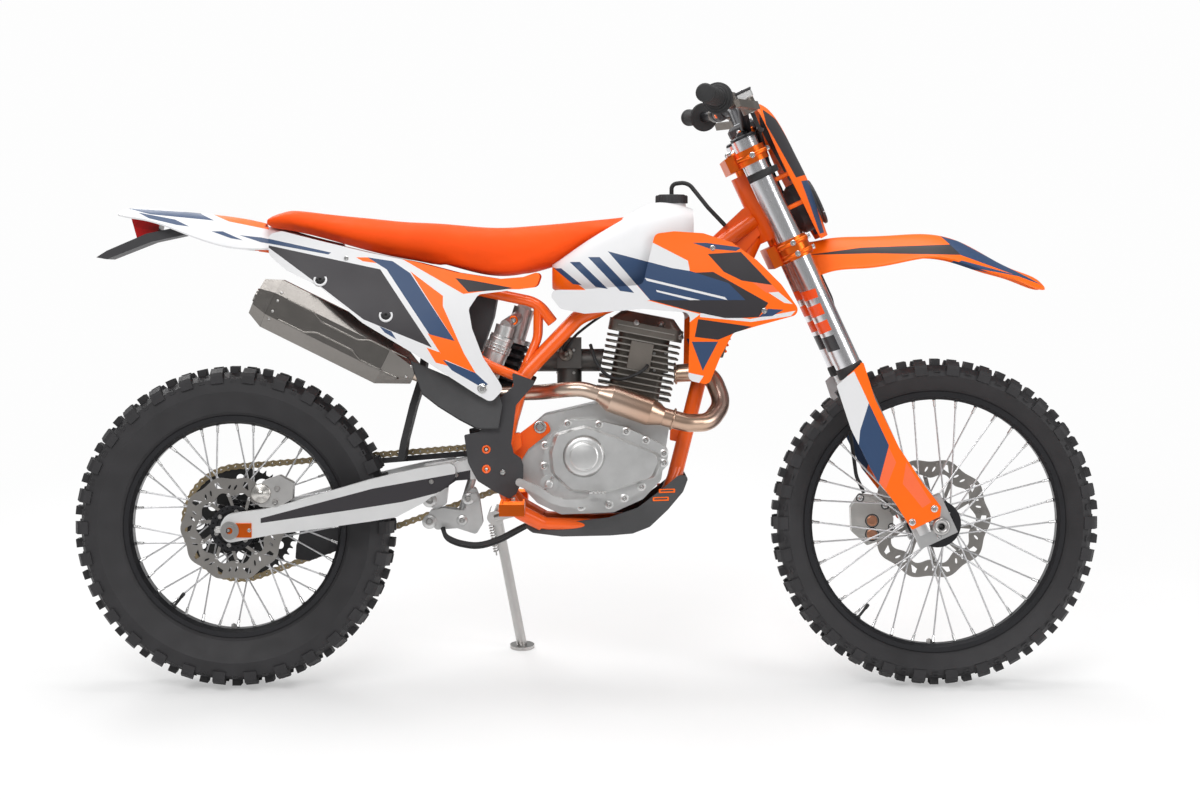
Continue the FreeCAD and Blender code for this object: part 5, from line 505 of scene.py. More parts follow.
SOCKET_HEAD = (12, ((1, -0.22), (0.8, 0), (0.52, 0), (0.48, -0.5), (0, -0.55)))
HEXAGON_HEAD = (6, ((1, -0.15), (0.85, 0), (0.5, 0), (0.45, 0.25), (0, 0.3)))
BESIDE, NEEDLE, OUT = 400, 0.01, -ACROSS


def turns(count, start=0.0):
    """Even angles round one full turn."""
    return [start + 2 * math.pi * k / count for k in range(count)]


def spot(t, reach):
    return reach * math.cos(t), reach * math.sin(t)


def circle(cx, cy, radius, count, start=0.0):
    return [(cx + u, cy + v) for u, v in (spot(t, radius) for t in turns(count, start))]


def in_wheel(t, reach, y=0.0):
    """A step from an axle to a place at an angle in the wheel's plane."""
    return Vector((reach * math.cos(t), y, reach * math.sin(t)))


def plane(origin, along, up):
    """Takes (u, v, height) to a point; heights run to the left."""
    return lambda u, v, height: origin + along * u + up * v + ACROSS * height


def cross_axes(aim):
    """A direction and two more at right angles to it."""
    aim = Vector(aim).normalized()
    normal = aim.orthogonal().normalized()
    return aim, normal, aim.cross(normal)


def around(axes, radius, height, t):
    """A step from a base to a place at a radius, a height and an angle about the first axis."""
    aim, normal, other = axes
    return aim * height + (normal * math.cos(t) + other * math.sin(t)) * radius


def skin(rows, columns, closed=False):
    """Quads between loops of points; the last loop meets the first, or both ends get a cap."""
    faces = []
    for i in range(rows if closed else rows - 1):
        j = (i + 1) % rows
        for k in range(columns):
            m = (k + 1) % columns
            faces.append((i * columns + k, i * columns + m, j * columns + m, j * columns + k))
    if not closed:
        faces += [tuple(reversed(range(columns))), tuple(range((rows - 1) * columns, rows * columns))]
    return faces


class Piece:
    """A mesh gathered from forms, then set into the part's frame."""

    def __init__(self, name, body, *materials):
        self.name, self.body = name, body
        self.materials = [MATS.get(material, material) for material in materials]
        self.mesh = bmesh.new()

    def add(self, verts, faces, slot=0, smooth=True):
        made = [self.mesh.verts.new(v) for v in verts]
        for face in faces:
            try:
                new = self.mesh.faces.new([made[i] for i in face])
            except ValueError:
                continue
            new.material_index = slot
            new.smooth = smooth

    def tube(self, points, radius, sides=10, slot=0):
        """A round rod along points."""
        points = [Vector(p) for p in points]
        verts, normal = [], None
        for i, p in enumerate(points):
            aim = (points[min(i + 1, len(points) - 1)] - points[max(i - 1, 0)]).normalized()
            normal = normal or aim.orthogonal().normalized()
            normal = (normal - aim * normal.dot(aim)).normalized()
            verts += [p + around((aim, normal, aim.cross(normal)), radius, 0, t) for t in turns(sides)]
        self.add(verts, skin(len(points), sides), slot)

    def lathe(self, profile, base, aim, sides=16, slot=0, smooth=True):
        """(radius, height) pairs turned about a line; both ends closed."""
        base, axes = Vector(base), cross_axes(aim)
        verts = [base + around(axes, max(radius, NEEDLE), height, t)
                 for radius, height in profile for t in turns(sides)]
        self.add(verts, skin(len(profile), sides), slot, smooth)

    def ring(self, profile, base, aim, sides=24, slot=0):
        """A closed profile of (radius, height) turned about a line."""
        base, axes = Vector(base), cross_axes(aim)
        verts = [base + around(axes, radius, height, t) for t in turns(sides) for radius, height in profile]
        self.add(verts, skin(sides, len(profile), closed=True), slot)

    def plate(self, outline, holes, place, low, high, slot=0):
        """A flat plate between two heights with holes; place takes (u, v, height) to a point."""
        loops = [outline, *holes]
        flat = [[Vector((u, v, 0)) for u, v in loop] for loop in loops]
        triangles = mathutils.geometry.tessellate_polygon(flat)
        order = [p for loop in loops for p in loop]
        count = len(order)
        verts = [place(u, v, height) for height in (low, high) for u, v in order]
        faces = [tuple(reversed(t)) for t in triangles] + [tuple(i + count for i in t) for t in triangles]
        start = 0
        for loop in loops:
            for i in range(len(loop)):
                a, b = start + i, start + (i + 1) % len(loop)
                faces.append((a, b, b + count, a + count))
            start += len(loop)
        self.add(verts, faces, slot, smooth=False)

    def box(self, centre, half, axes=(FORWARD, ACROSS, UPWARD), slot=0, edge=0.15):
        """A block with all its edges bevelled; axes are three directions."""
        u, v, w = [Vector(a).normalized() for a in axes]
        a, b, c = half
        e = edge * min(half)
        half_ring = [(a - e, b), (a, b - e), (a, e - b), (a - e, -b)]
        ring = half_ring + [(-x, -y) for x, y in half_ring]
        verts = []
        for height, inset in ((-c, e), (-c + e, 0), (c - e, 0), (c, e)):
            for x, y in ring:
                x -= math.copysign(min(inset, abs(x)), x)
                y -= math.copysign(min(inset, abs(y)), y)
                verts.append(Vector(centre) + u * x + v * y + w * height)
        self.add(verts, skin(4, 8), slot, smooth=False)

    def bolt(self, place, aim, radius, height, slot=0, sink=1.5, socket=True, washer=False):
        """A round cap screw with its socket, or a hexagon nut."""
        base = Vector(place) - Vector(aim).normalized() * sink
        if washer:
            plain = [(radius * 1.5, 0), (radius * 1.5, sink + 1.2), (radius * 1.3, sink + 1.6)]
            self.lathe(plain, base, aim, 20, slot)
        sides, head = SOCKET_HEAD if socket else HEXAGON_HEAD
        profile = [(radius, 0)] + [(radius * out, sink + height + radius * up) for out, up in head]
        self.lathe(profile, base, aim, sides, slot, smooth=False)

    def done(self):
        bmesh.ops.recalc_face_normals(self.mesh, faces=self.mesh.faces)
        self.mesh.transform(UPRIGHT)
        data = bpy.data.meshes.new(self.name)
        self.mesh.to_mesh(data)
        self.mesh.free()
        for material in self.materials:
            data.materials.append(material)
        made = bpy.data.objects.new(self.name, data)
        bpy.context.scene.collection.objects.link(made)
        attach(made, self.body)
        return made


TREES = {}


def surface(node, place, aim):
    """Where a line from a place along aim first meets a node, and the face's outward direction."""
    if node not in TREES:
        made = frame["nodes"][node]
        mesh = bmesh.new()
        mesh.from_mesh(made.data)
        mesh.transform(TO_MM @ made.matrix_world)
        TREES[node] = BVHTree.FromBMesh(mesh)
        mesh.free()
    hit, normal, _, _ = TREES[node].ray_cast(Vector(place), Vector(aim).normalized())
    if hit is not None and normal.dot(Vector(aim)) > 0:
        normal = -normal
    return hit, normal


def side_face(nodes, x, z, side=-1):
    """Where the first of some nodes that has a face there is met from the bike's side."""
    for node in nodes.split():
        hit, normal = surface(node, (x, side * BESIDE, z), ACROSS * -side)
        if hit:
            break
    return hit, normal


def seats(nodes, spots, side=-1):
    """The places, with their outward directions, where the nodes have a face at (x, z) spots."""
    faces = [side_face(nodes, x, z, side) for x, z in spots]
    return [(hit, normal) for hit, normal in faces if hit]


def bolts_on(piece, node, spots, side, radius, height, slot=0, **more):
    """Cap screws seated on a node's side face at (x, z) spots."""
    for hit, _ in seats(node, spots, side):
        piece.bolt(hit, ACROSS * side, radius, height, slot, **more)


def rounded_path(points, reach, steps=6):
    """The path with each corner replaced by a smooth bend."""
    points = [Vector(p) for p in points]
    out = [points[0]]
    for a, b, c in zip(points, points[1:], points[2:]):
        cut = min(reach, (b - a).length * 0.48, (c - b).length * 0.48)
        p, q = b + (a - b).normalized() * cut, b + (c - b).normalized() * cut
        for t in [k / steps for k in range(steps + 1)]:
            out.append(p.lerp(b, t).lerp(b.lerp(q, t), t))
    return out + [points[-1]]


def station(path, distance):
    """The place and the direction at a distance along a path."""
    for a, b in zip(path, path[1:]):
        length = (b - a).length
        if distance <= length:
            return a.lerp(b, distance / length), (b - a).normalized()
        distance -= length
    return b, (b - a).normalized()


# Wheels

SPOKES, SPOKE_SWEEP, WAVES = 36, math.radians(52), 10
NIPPLE = ((2.1, -16), (3.0, -14), (3.0, -3), (3.9, -1.5), (3.9, 0.6))
VALVE = ((5.5, 0), (5.5, 4), (3, 5), (3, 26), (4, 27), (4, 36), (2.5, 38))
VALVE_ANGLE, RIM_LOCK_ANGLE = math.radians(232), math.radians(268)
SLOT_LEAN, CUT_LEAN = math.radians(30), math.radians(38)
PITCH, TEETH, CHAIN_Y = 15.875, 48, 71.0
FRONT_SPROCKET, FRONT_SPROCKET_R = Vector((640.0, 0, 478.0)), 35.0
REAR_SPROCKET_R = PITCH / (2 * math.sin(math.pi / TEETH))
TOOTH = ((0.0, 0.0), (0.2, 0.0), (0.36, 3.2), (0.45, 8.4), (0.55, 8.4), (0.64, 3.2), (0.8, 0.0))
LINK_END, LINK_WAIST = 6.9, 4.9
INNER_PLATE, OUTER_PLATE = (4.0, 5.7), (5.9, 7.7)


def wheel_detail(name, body, axle, rim_inner, rim_half, flange, carrier, disc_side):
    """Nipples at the rim, spoke heads, a valve with its cap, the rim lock's nut and the hub's plate."""
    piece = Piece(name, body, metal("NippleMetal" + name, (0.7, 0.7, 0.7), 0.2, 0.32), "black_rubber",
                  "steel", "black_alloy")
    for k, angle in enumerate(turns(SPOKES)):
        side = ACROSS * (1 if k % 2 else -1)
        sweep, rise = (SPOKE_SWEEP, 7.5) if (k // 2) % 2 else (-SPOKE_SWEEP, 3.5)
        head = axle + in_wheel(angle + sweep, flange - 5) + side * 27
        end = axle + in_wheel(angle, rim_inner - 0.9) + side * rim_half * 0.25
        piece.lathe(NIPPLE, end, end - head, 8)
        piece.lathe([(3.2, 0), (3.2, 2.4)], head + side * rise, side, 8)
    out = in_wheel(VALVE_ANGLE, 1)
    piece.lathe(VALVE, axle + out * (rim_inner + 2), -out, 12, 1)
    out = in_wheel(RIM_LOCK_ANGLE, 1)
    piece.bolt(axle + out * rim_inner, -out, 6, 8, 2, socket=False)
    holes = [circle(0, 0, 22, 32)] + [circle(*spot(t, 33), 2.6, 8) for t in turns(18)]
    piece.plate(circle(0, 0, carrier, 48), holes, plane(axle - ACROSS * 58, FORWARD, UPWARD), -2, 2, 3)
    for t in turns(6, 0.3):
        piece.bolt(axle + in_wheel(t, 36, disc_side * 64), ACROSS * disc_side, 5, 4, 2, sink=3)
    return piece.done()


wheel_detail("FrontWheelDetail", "front_wheel", FRONT_AXLE, 260, 21, 40, 50, 1)
wheel_detail("RearWheelDetail", "rear_wheel", REAR_AXLE, 218, 29, 50, 44, -1)


def wave(reach, depth, count):
    """A closed wavy outline about the axle."""
    return [spot(t, reach * (1 + depth * math.cos(WAVES * t))) for t in turns(count)]


def turned(centre, lean, points):
    """(u, v) points turned by an angle and set about a centre."""
    (cx, cy), c, s = centre, math.cos(lean), math.sin(lean)
    return [(cx + u * c - v * s, cy + u * s + v * c) for u, v in points]


def wave_disc(name, body, axle, radius, side, y, inner_share, carrier):
    """A wave-edged brake disc with cut-outs, slots, carrier and arms, in place of the plain one."""
    piece = Piece(name, body, metal("DiscSteel" + name, (0.42, 0.4, 0.38), 0.24, 0.36, bump=0.1),
                  "black_alloy", "steel")
    place = plane(axle + ACROSS * side * y, FORWARD, UPWARD)
    inner = radius * inner_share
    band = radius - inner
    cut = ((-band * 0.3, -2), (band * 0.2, -band * 0.17), (band * 0.34, 0), (band * 0.1, band * 0.2))
    slot = [(math.cos(a) * band * (0.16 if math.cos(a) > 0 else 0.22), math.sin(a) * 2.3) for a in turns(12)]
    holes = [wave(inner, 0.06, 120)]
    for t in turns(WAVES):
        holes.append(turned(spot(t, inner + band * 0.56), t + CUT_LEAN, cut))
        t += math.pi / WAVES
        for shift in (-0.075, 0.075):
            holes.append(turned(spot(t + shift, inner + band * 0.42), t - SLOT_LEAN, slot))
    piece.plate(wave(radius, 0.03, 160), holes, place, -1.9, 1.9)
    drilled = [circle(*spot(t, carrier - 6), 2.3, 8) for t in turns(24)]
    piece.plate(circle(0, 0, carrier, 60), [circle(0, 0, 36, 40)] + drilled, place, -2.6, 2.6, 1)
    near, far = carrier - 1.5, inner * 0.97
    for t in turns(WAVES, math.pi / WAVES):
        end = t + 0.12
        arm = [spot(t - 0.07, near), spot(end - 0.05, far), spot(end + 0.05, far), spot(t + 0.07, near)]
        piece.plate(arm, [], place, -1.7, 1.7)
        rivet = [(4.2, -3), (4.2, 2.4), (3.2, 3.0), (0, 3.0)]
        piece.lathe(rivet, place(*spot(end, far), 0), ACROSS * side, 10, 2)
    return piece.done()


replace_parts(wave_disc("FrontDiscPlate", "front_wheel", FRONT_AXLE, 127, 1, 62, 0.74, 52), "front_disc")
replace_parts(wave_disc("RearDiscPlate", "rear_wheel", REAR_AXLE, 107, -1, 62, 0.68, 48), "rear_disc")


def sprocket_plate():
    """The toothed rear sprocket with round openings and its nuts."""
    piece = Piece("SprocketPlate", "rear_wheel", metal("SprocketSteel", (0.05, 0.05, 0.05), 0.3, 0.45),
                  "steel")
    root = REAR_SPROCKET_R - 5.6
    outline = [spot(2 * math.pi * (k + share) / TEETH, root + height)
               for k in range(TEETH) for share, height in TOOTH]
    holes = [circle(0, 0, 35, 36)]
    for t in turns(6):
        between = t + math.pi / 6
        holes.append(circle(*spot(t, 92), 15, 20))
        holes += [circle(*spot(between, reach), radius, 16) for reach, radius in ((96, 9), (70, 10))]
    piece.plate(outline, holes, plane(REAR_AXLE + ACROSS * CHAIN_Y, FORWARD, UPWARD), -2.8, 2.8)
    for t in turns(6):
        piece.bolt(REAR_AXLE + in_wheel(t, 62, CHAIN_Y + 2.8), ACROSS, 6.5, 5, 1, socket=False)
    return piece.done()


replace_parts(sprocket_plate(), "rear_sprocket")


def chain_pins():
    """The chain's pins, an even number of them about one pitch apart, round both sprockets."""
    gap = FRONT_SPROCKET - REAR_AXLE
    tilt = math.atan2(gap.z, gap.x)
    slope = math.asin((REAR_SPROCKET_R - FRONT_SPROCKET_R) / gap.length)
    up, down = tilt + math.pi / 2 - slope, tilt - math.pi / 2 + slope
    loop = [REAR_AXLE + in_wheel(up + (2 * math.pi - up + down) * k / 60, REAR_SPROCKET_R) for k in range(61)]
    loop += [FRONT_SPROCKET + in_wheel(down + (up - down) * k / 24, FRONT_SPROCKET_R) for k in range(25)]
    loop.append(loop[0])
    total = sum((b - a).length for a, b in zip(loop, loop[1:]))
    count = 2 * round(total / PITCH / 2)
    return [station(loop, total * k / count)[0] for k in range(count)]


def chain_links():
    """Every link of the chain: rollers, waisted side plates and pin ends."""
    piece = Piece("ChainLinks", "chassis", metal("ChainPlate", (0.42, 0.33, 0.2), 0.25, 0.4),
                  metal("ChainRoller", (0.5, 0.48, 0.45), 0.2, 0.35))
    pins = chain_pins()
    ends = [math.pi / 2 + math.pi * j / 6 for j in range(7)]
    for k, a in enumerate(pins):
        gap = pins[(k + 1) % len(pins)] - a
        aim, pitch = gap.normalized(), gap.length
        outline = [spot(t, LINK_END) for t in ends] + [(pitch / 2, -LINK_WAIST)]
        outline += [(pitch - u, -v) for u, v in (spot(t, LINK_END) for t in ends)] + [(pitch / 2, LINK_WAIST)]
        middle = a + ACROSS * CHAIN_Y
        place = plane(middle, aim, Vector((aim.z, 0, -aim.x)))
        near, far = OUTER_PLATE if k % 2 else INNER_PLATE
        piece.plate(outline, [], place, near, far)
        piece.plate(outline, [], place, -far, -near)
        piece.lathe([(4.9, -3.2), (4.9, 3.2)], middle, ACROSS, 10, 1)
        piece.lathe([(2.2, -8.4), (2.6, -8.0), (2.6, 8.0), (2.2, 8.4)], middle, ACROSS, 8, 1)
    return piece.done()


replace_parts(chain_links(), "chain")


def tyre_dimples(name, body, node, axle, radius):
    """A raised square edge on each shoulder lug."""
    piece = Piece(name, body, "tyre_rubber")
    for t in turns(30, math.pi / 30):
        for side in (1, -1):
            hit, normal = surface(node, axle + in_wheel(t, radius, side * 160), ACROSS * -side)
            if hit is None:
                continue
            along = in_wheel(t + math.pi / 2, 1)
            up = normal.cross(along).normalized()
            for du, dv, a, b in ((0, 5, 6, 1.3), (0, -5, 6, 1.3), (5, 0, 1.3, 4), (-5, 0, 1.3, 4)):
                piece.box(hit + along * du + up * dv, (a, b, 0.9), (along, up, normal), edge=0.4)
    return piece.done()


tyre_dimples("FrontDimples", "front_wheel", "front_tyre", FRONT_AXLE, 322)
tyre_dimples("RearDimples", "rear_wheel", "rear_tyre", REAR_AXLE, 314)

# Engine and exhaust

ALONG_SIDE = (FORWARD, UPWARD, ACROSS)
BORE_TILT, BORE_FOOT = math.radians(11), Vector((WHEELBASE * 0.565452, 0, WHEELBASE * 0.402159))
BORE_AHEAD = Vector((math.cos(BORE_TILT), 0, -math.sin(BORE_TILT)))
BORE_UP = Vector((math.sin(BORE_TILT), 0, math.cos(BORE_TILT)))
# Ends of the lighter strips painted as a highlight along each fin's edge, along the bore and across it
FIN_HIGHLIGHT_EDGES = (((-60, 76), (60, 76)), ((62, 75.4), (76, 64)), ((-76, 64), (-62, 75.4)))
FIN_STEP, FIN_MIDDLE, LOWEST_FIN = 152 / 12, 1.75, 600
COVER_SCREWS = (
    (704, 560), (769, 558), (826, 544), (867, 525), (905, 498), (858, 428), (790, 390), (732, 386),
    (668, 406), (657, 515), (655, 472), (905, 478), (822, 404),
)
CLUTCH_BOSS = ((44, -3), (38, 0.2), (31, 0.9), (29.5, 0.9), (28.5, 2.4), (26, 3.2), (0, 3.8))
PLUG_LEAD = (
    (868, -64, 682), (872, -86, 680), (852, -92, 664), (812, -90, 650), (782, -84, 662), (762, -72, 690),
    (752, -52, 724),
)
HEAD_SCREWS = ((802, 756), (848, 770), (900, 766), (940, 740))
HEADER_LINE = (
    (925, -34, 662), (1004, -42, 668), (1030, -60, 600), (1000, -94, 562), (952, -112, 562), (902, -114, 576),
)
# Share of the pipe's length and radius of each weld, and a weld's steps out and along the pipe
WELDS, WELD = ((0.02, 22), (0.93, 22.5)), ((-2, -2.0), (0.7, -1.8), (1.2, 0), (0.7, 1.8), (-2, 2.0))
SILENCER_FRONT, SILENCER_BACK = Vector((387, -110, 665)), Vector((92, -110, 812))


def engine_detail():
    """Case and cover screws, the clutch boss, the barrel's box, lighter strips on the fin edges as a painted
    highlight, the plug lead and head nuts.
    """
    # The last material is a lighter metal for the painted highlight strips on the fin edges
    piece = Piece("EngineDetail", "chassis", metal("ScrewSteel", (0.68, 0.67, 0.66), 0.2, 0.3),
                  "silver_alloy", "black_rubber", "dark_alloy", "steel",
                  metal("FinEdgeHighlight", (0.42, 0.4, 0.37), 0.3, 0.45))
    for hit, _ in seats("engine_covers engine_case", COVER_SCREWS):
        piece.lathe([(9.5, -8), (9.5, 0.8), (8.5, 1.6)], hit, OUT, 16, 1)
        piece.bolt(hit + OUT * 1.6, OUT, 5.6, 5)
    piece.lathe(CLUTCH_BOSS, side_face("engine_covers", 738, 493)[0], OUT, 64, 1)
    piece.box((856, -75, 700), (24, 3.5, 30), (BORE_AHEAD, ACROSS, BORE_UP), 3, 0.2)
    hit, _ = side_face("engine_covers engine_case", 665, 434)
    for rise in (-12, 12):
        piece.bolt(hit + Vector((rise * 0.6, 0, rise)), OUT, 3.6, 3)
    piece.lathe([(9, -2), (9, 3.0), (6, 4.2), (0, 4.2)], hit, OUT, 18, 1)
    bolts_on(piece, "engine_case", ((690, 470), (700, 520)), 1, 5.6, 5)
    bolts_on(piece, "engine_covers", circle(790, 480, 59, 5, math.pi / 10), 1, 5.6, 5)
    piece.tube(rounded_path(PLUG_LEAD, 14), 3.6, 10, 2)
    piece.lathe([(8, 0), (8, 16), (6.5, 20), (6.5, 34), (4, 36)], (868, -34, 688), (0.06, -1, -0.1), 14, 2)
    face = side_face("cylinder", 900, 690)[0].y
    piece.box((898, face + 3, 688), (17, 24, 5), ALONG_SIDE, 3)
    for x in (886, 910):
        for z in (670, 706):
            piece.bolt((x, face - 2, z), OUT, 3.4, 3, 4)
    # Lighter metal strips along the fins' outer edges: a painted highlight on the fin edges
    for k in range(2, 14):
        middle = BORE_FOOT + BORE_UP * (FIN_STEP * k - FIN_MIDDLE)
        for ends in FIN_HIGHLIGHT_EDGES:
            for side in SIDES:
                a, b = [middle + BORE_AHEAD * u + ACROSS * side * v for u, v in ends]
                aim = (b - a).normalized()
                if b.z >= LOWEST_FIN:
                    half = ((b - a).length / 2, 0.6, 1.1)
                    piece.box((a + b) / 2, half, (aim, BORE_UP.cross(aim), BORE_UP), 5, 0.3)
    for hit, normal in seats("cylinder_head", HEAD_SCREWS):
        piece.bolt(hit, normal, 6.5, 5, 4, socket=False)
    return piece.done()


def carburettor_detail():
    """The throttle pulley with its two cables, and the body's screws."""
    piece = Piece("CarburettorDetail", "chassis", "silver_alloy", "black_rubber", "steel", "dark_alloy")
    y = side_face("carburettor", 700, 690)[0].y
    piece.lathe([(15, -2), (15, 3), (13, 4), (6, 4), (6, 7), (0, 7)], (700, y, 704), OUT, 20, 3)
    bolts_on(piece, "carburettor", ((683, 712), (717, 712), (683, 664), (717, 664)), -1, 3.4, 3, 2)
    for line in (((700, y - 5, 712), (716, y - 12, 740), (756, y - 16, 772), (800, y - 10, 800)),
                 ((694, y - 5, 712), (704, y - 16, 744), (748, y - 22, 780), (800, y - 16, 806))):
        piece.tube(rounded_path(line, 24), 2.8, 8, 1)
    return piece.done()


def exhaust_detail():
    """Weld rings on the pipe, and the silencer's rivets and pressed lines."""
    piece = Piece("ExhaustDetail", "chassis", "header_steel", "steel", "silencer_steel", "black_rubber")
    path = [Vector(p) for p in HEADER_LINE]
    total = sum((b - a).length for a, b in zip(path, path[1:]))
    for share, radius in WELDS:
        piece.ring([(radius + out, along) for out, along in WELD], *station(path, share * total), 28)
    aim = (SILENCER_BACK - SILENCER_FRONT).normalized()
    rise = Vector((-aim.z, 0, aim.x))
    rise *= math.copysign(1, rise.z)

    def wall(share, lift):
        place = SILENCER_FRONT.lerp(SILENCER_BACK, share) + rise * lift
        return side_face("silencer", place.x, place.z)

    for share in (0.04, 0.965):
        for lift in (-30, -12, 12, 30):
            hit, normal = wall(share, lift)
            if hit:
                piece.lathe([(3.2, -1), (3.2, 0.8), (2.2, 1.6), (0, 1.9)], hit, normal, 10, 1)
    for lift, dip in ((24, -11), (-22, 11)):
        line = []
        for share in [0.08 + 0.84 * k / 44 for k in range(45)]:
            turn = min(1.0, max(0.0, (share - 0.34) / 0.07)) - min(1.0, max(0.0, (share - 0.66) / 0.07))
            hit, _ = wall(share, lift + dip * turn)
            if hit:
                line.append(hit + ACROSS * 0.6)
        piece.tube(line, 2.3, 10, 2)
    return piece.done()


# Frame, swingarm and foot controls

GUARD_DISCS, PANEL_RINGS = ((535, 508), (535, 467)), ((193, 860), (330, 787))
SIDE_SCREWS = (
    ("frame_guards", ((569, 460),), 6, 4, False), ("side_panels", ((528, 636),), 7, 4, True),
    ("shrouds", ((1004, 925), (1110, 796)), 6, 3.4, False), ("side_panels", ((246, 905),), 5, 3, False),
)
LINKAGE_BOLTS = ((411, 394, 8), (411, 349, 8), (493, 398, 7), (480, 352, 6), (480, 331, 6))
BRAKE_TIP, GEAR_TIP = (780, -134), Vector((840, 134, 446))
PEG_X, PEG_EDGES, PEG_START, TOOTH_STEP, BAR_STEP = 590, (567, 613), 128, 9.8, 10.5


def chassis_detail():
    """Screws and nuts on the frame, its guards, the swingarm's ends and the body panels."""
    piece = Piece("ChassisDetail", "chassis", metal("NutSteel", (0.66, 0.66, 0.65), 0.2, 0.3),
                  "orange_alloy", "orange_frame", "black_rubber", "silver_alloy", "steel",
                  metal("CaliperCap", (0.62, 0.6, 0.57), 0.2, 0.32), "white_plastic")
    bolts_on(piece, "main_frame", ((646, 552),), -1, 9, 6, washer=True)
    for side in SIDES:
        out = ACROSS * side
        for hit, _ in seats("frame_guards", GUARD_DISCS, side):
            piece.lathe([(9, -1.0), (9, 0.8), (6.5, 0.8), (5.5, 0.0), (0, 0.0)], hit, out, 24, 2)
            piece.lathe([(3.4, 0.0), (3.0, 1.0), (0, 1.2)], hit, out, 14, 5)
        for hit, normal in seats("side_panels", PANEL_RINGS, side):
            piece.ring([(10.4, -3.5), (10.4, 1.2), (14.4, 1.2), (14.4, -3.5)], hit, normal, 32, 7)
            piece.lathe([(10.4, -3.0), (10.4, 0.5), (0, 0.5)], hit, normal, 24, 3)
            piece.bolt(hit, normal, 6.0, 3, 3, sink=2.5)
        for node, spots, radius, height, washer in SIDE_SCREWS:
            bolts_on(piece, node, spots, side, radius, height, washer=washer)
        bolts_on(piece, "swingarm", ((470, 452), (420, 440)), side, 5, 3, 5)
        piece.box((18, side * 109.5, 339), (27, 15, 2.2), ALONG_SIDE, 1, 0.3)
        for x in (-3, 40):
            piece.bolt((x, side * 111, 339), out, 4.2, 3)
        piece.lathe([(16, 0), (16, 3), (14.5, 4.5), (10, 4.5), (10, 0)], (0, side * 110, 339), out, 32, 5)
        piece.bolt((-24, side * 98, 339), -FORWARD, 8, 8, 5, sink=6, socket=False)
    bolts_on(piece, "chain_guides", ((136, 330), (206, 332), (140, 276), (206, 292)), 1, 5, 4)
    hit, _ = side_face("rear_caliper", 62, 414)
    piece.lathe([(21, -4), (21, 3), (19, 5), (9, 6), (7, 9), (0, 9)], hit, OUT, 32, 6)
    bolts_on(piece, "rear_caliper", ((96, 424), (92, 396), (36, 428)), -1, 6, 5, 5)
    for x, z, radius in LINKAGE_BOLTS:
        hit, _ = side_face("shock_linkage swingarm main_frame", x, z)
        if hit:
            piece.lathe([(radius * 1.9, -7), (radius * 1.9, 1.5), (radius * 1.7, 2.6)], hit, OUT, 28, 4)
            piece.bolt(hit + OUT * 2.6, OUT, radius, 4, 5)
    pivot, _ = side_face("main_frame", 566, 472)
    piece.lathe([(20, -4), (20, 2), (17, 4), (9, 4), (9, 0), (0, 0)], pivot, OUT, 32, 5)
    return piece.done()


def peg_teeth():
    """Pointed teeth along both footpegs, their cross bars, pins and springs."""
    piece = Piece("PegTeeth", "chassis", "orange_alloy", "steel")
    tooth = [(du, dv, low) for half_u, half_v, low in ((2.6, 4, -1), (1.2, 0.8, 5.2))
             for du, dv in ((-half_u, -half_v), (half_u, -half_v), (half_u, half_v), (-half_u, half_v))]
    for side in SIDES:
        for x in PEG_EDGES:
            for k in range(9):
                hit, _ = surface("footpegs", (x, side * (PEG_START + k * TOOTH_STEP), 461), -UPWARD)
                if hit:
                    piece.add([hit + Vector(corner) for corner in tooth], skin(2, 4), 0, smooth=False)
        for k in range(8):
            piece.box((PEG_X, side * (PEG_START + 4 + k * BAR_STEP), 396), (20, 1.6, 4.5), slot=0, edge=0.3)
        piece.bolt((PEG_X, side * 112, 404), UPWARD, 5, 4, 1, sink=6)
        coil = [Vector((570 + 5.5 * math.cos(t), side * (106 + t * 0.55), 380 + 5.5 * math.sin(t)))
                for t in [k * 0.7 for k in range(28)]]
        piece.tube(coil, 1.3, 6, 1)
    return piece.done()


def pedal_detail():
    """Ribs on the brake pedal's tip and a ribbed rubber on the gear lever."""
    piece = Piece("PedalDetail", "chassis", "steel", "black_rubber")
    for k in range(4):
        hit, _ = surface("brake_pedal", (BRAKE_TIP[0] - 22 + k * 8, BRAKE_TIP[1], 600), -UPWARD)
        if hit:
            piece.box(hit + UPWARD, (1.6, 15, 2.0), slot=0, edge=0.4)
    piece.lathe([(7, -18), (9.2, -16), (9.2, 16), (7, 18)], GEAR_TIP, ACROSS, 16, 1)
    for k in range(6):
        rib = [(8.9, -1.2), (9.9, -0.6), (9.9, 0.6), (8.9, 1.2)]
        piece.ring(rib, GEAR_TIP + ACROSS * (k * 5.2 - 13), ACROSS, 16, 1)
    return piece.done()


# Fork and handlebar

CHROME_BOLT = metal("ClampScrew", (0.72, 0.72, 0.72), 0.18, 0.28)
STEERED = (AHEAD, ACROSS, RISE)
FORK_AHEAD, FORK_Y = 24, 100
FORK_CAP = ((26, -2), (26, 4), (22, 7), (13, 7), (13, 12), (9, 12), (9, 15), (0, 15))
CALIPER_CAPS = (
    (1356, 343, 12, 5), (1356, 314, 12, 5), (1384, 376, 6, 0), (1330, 392, 6, 0), (1398, 330, 5, 0),
)
GRIP_INNER, GRIP_OUTER = (-3.2, 308.3, 994.5), (-28, 402, 1011)
CABLES = (
    ((26, -196, 975), (60, -150, 960), (66, -90, 930), (58, -74, 860), (40, -66, 780), (10, -52, 730)),
    ((40, 190, 960), (70, 140, 945), (72, 96, 930), (64, 84, 860), (44, 74, 780), (14, 56, 730)),
)


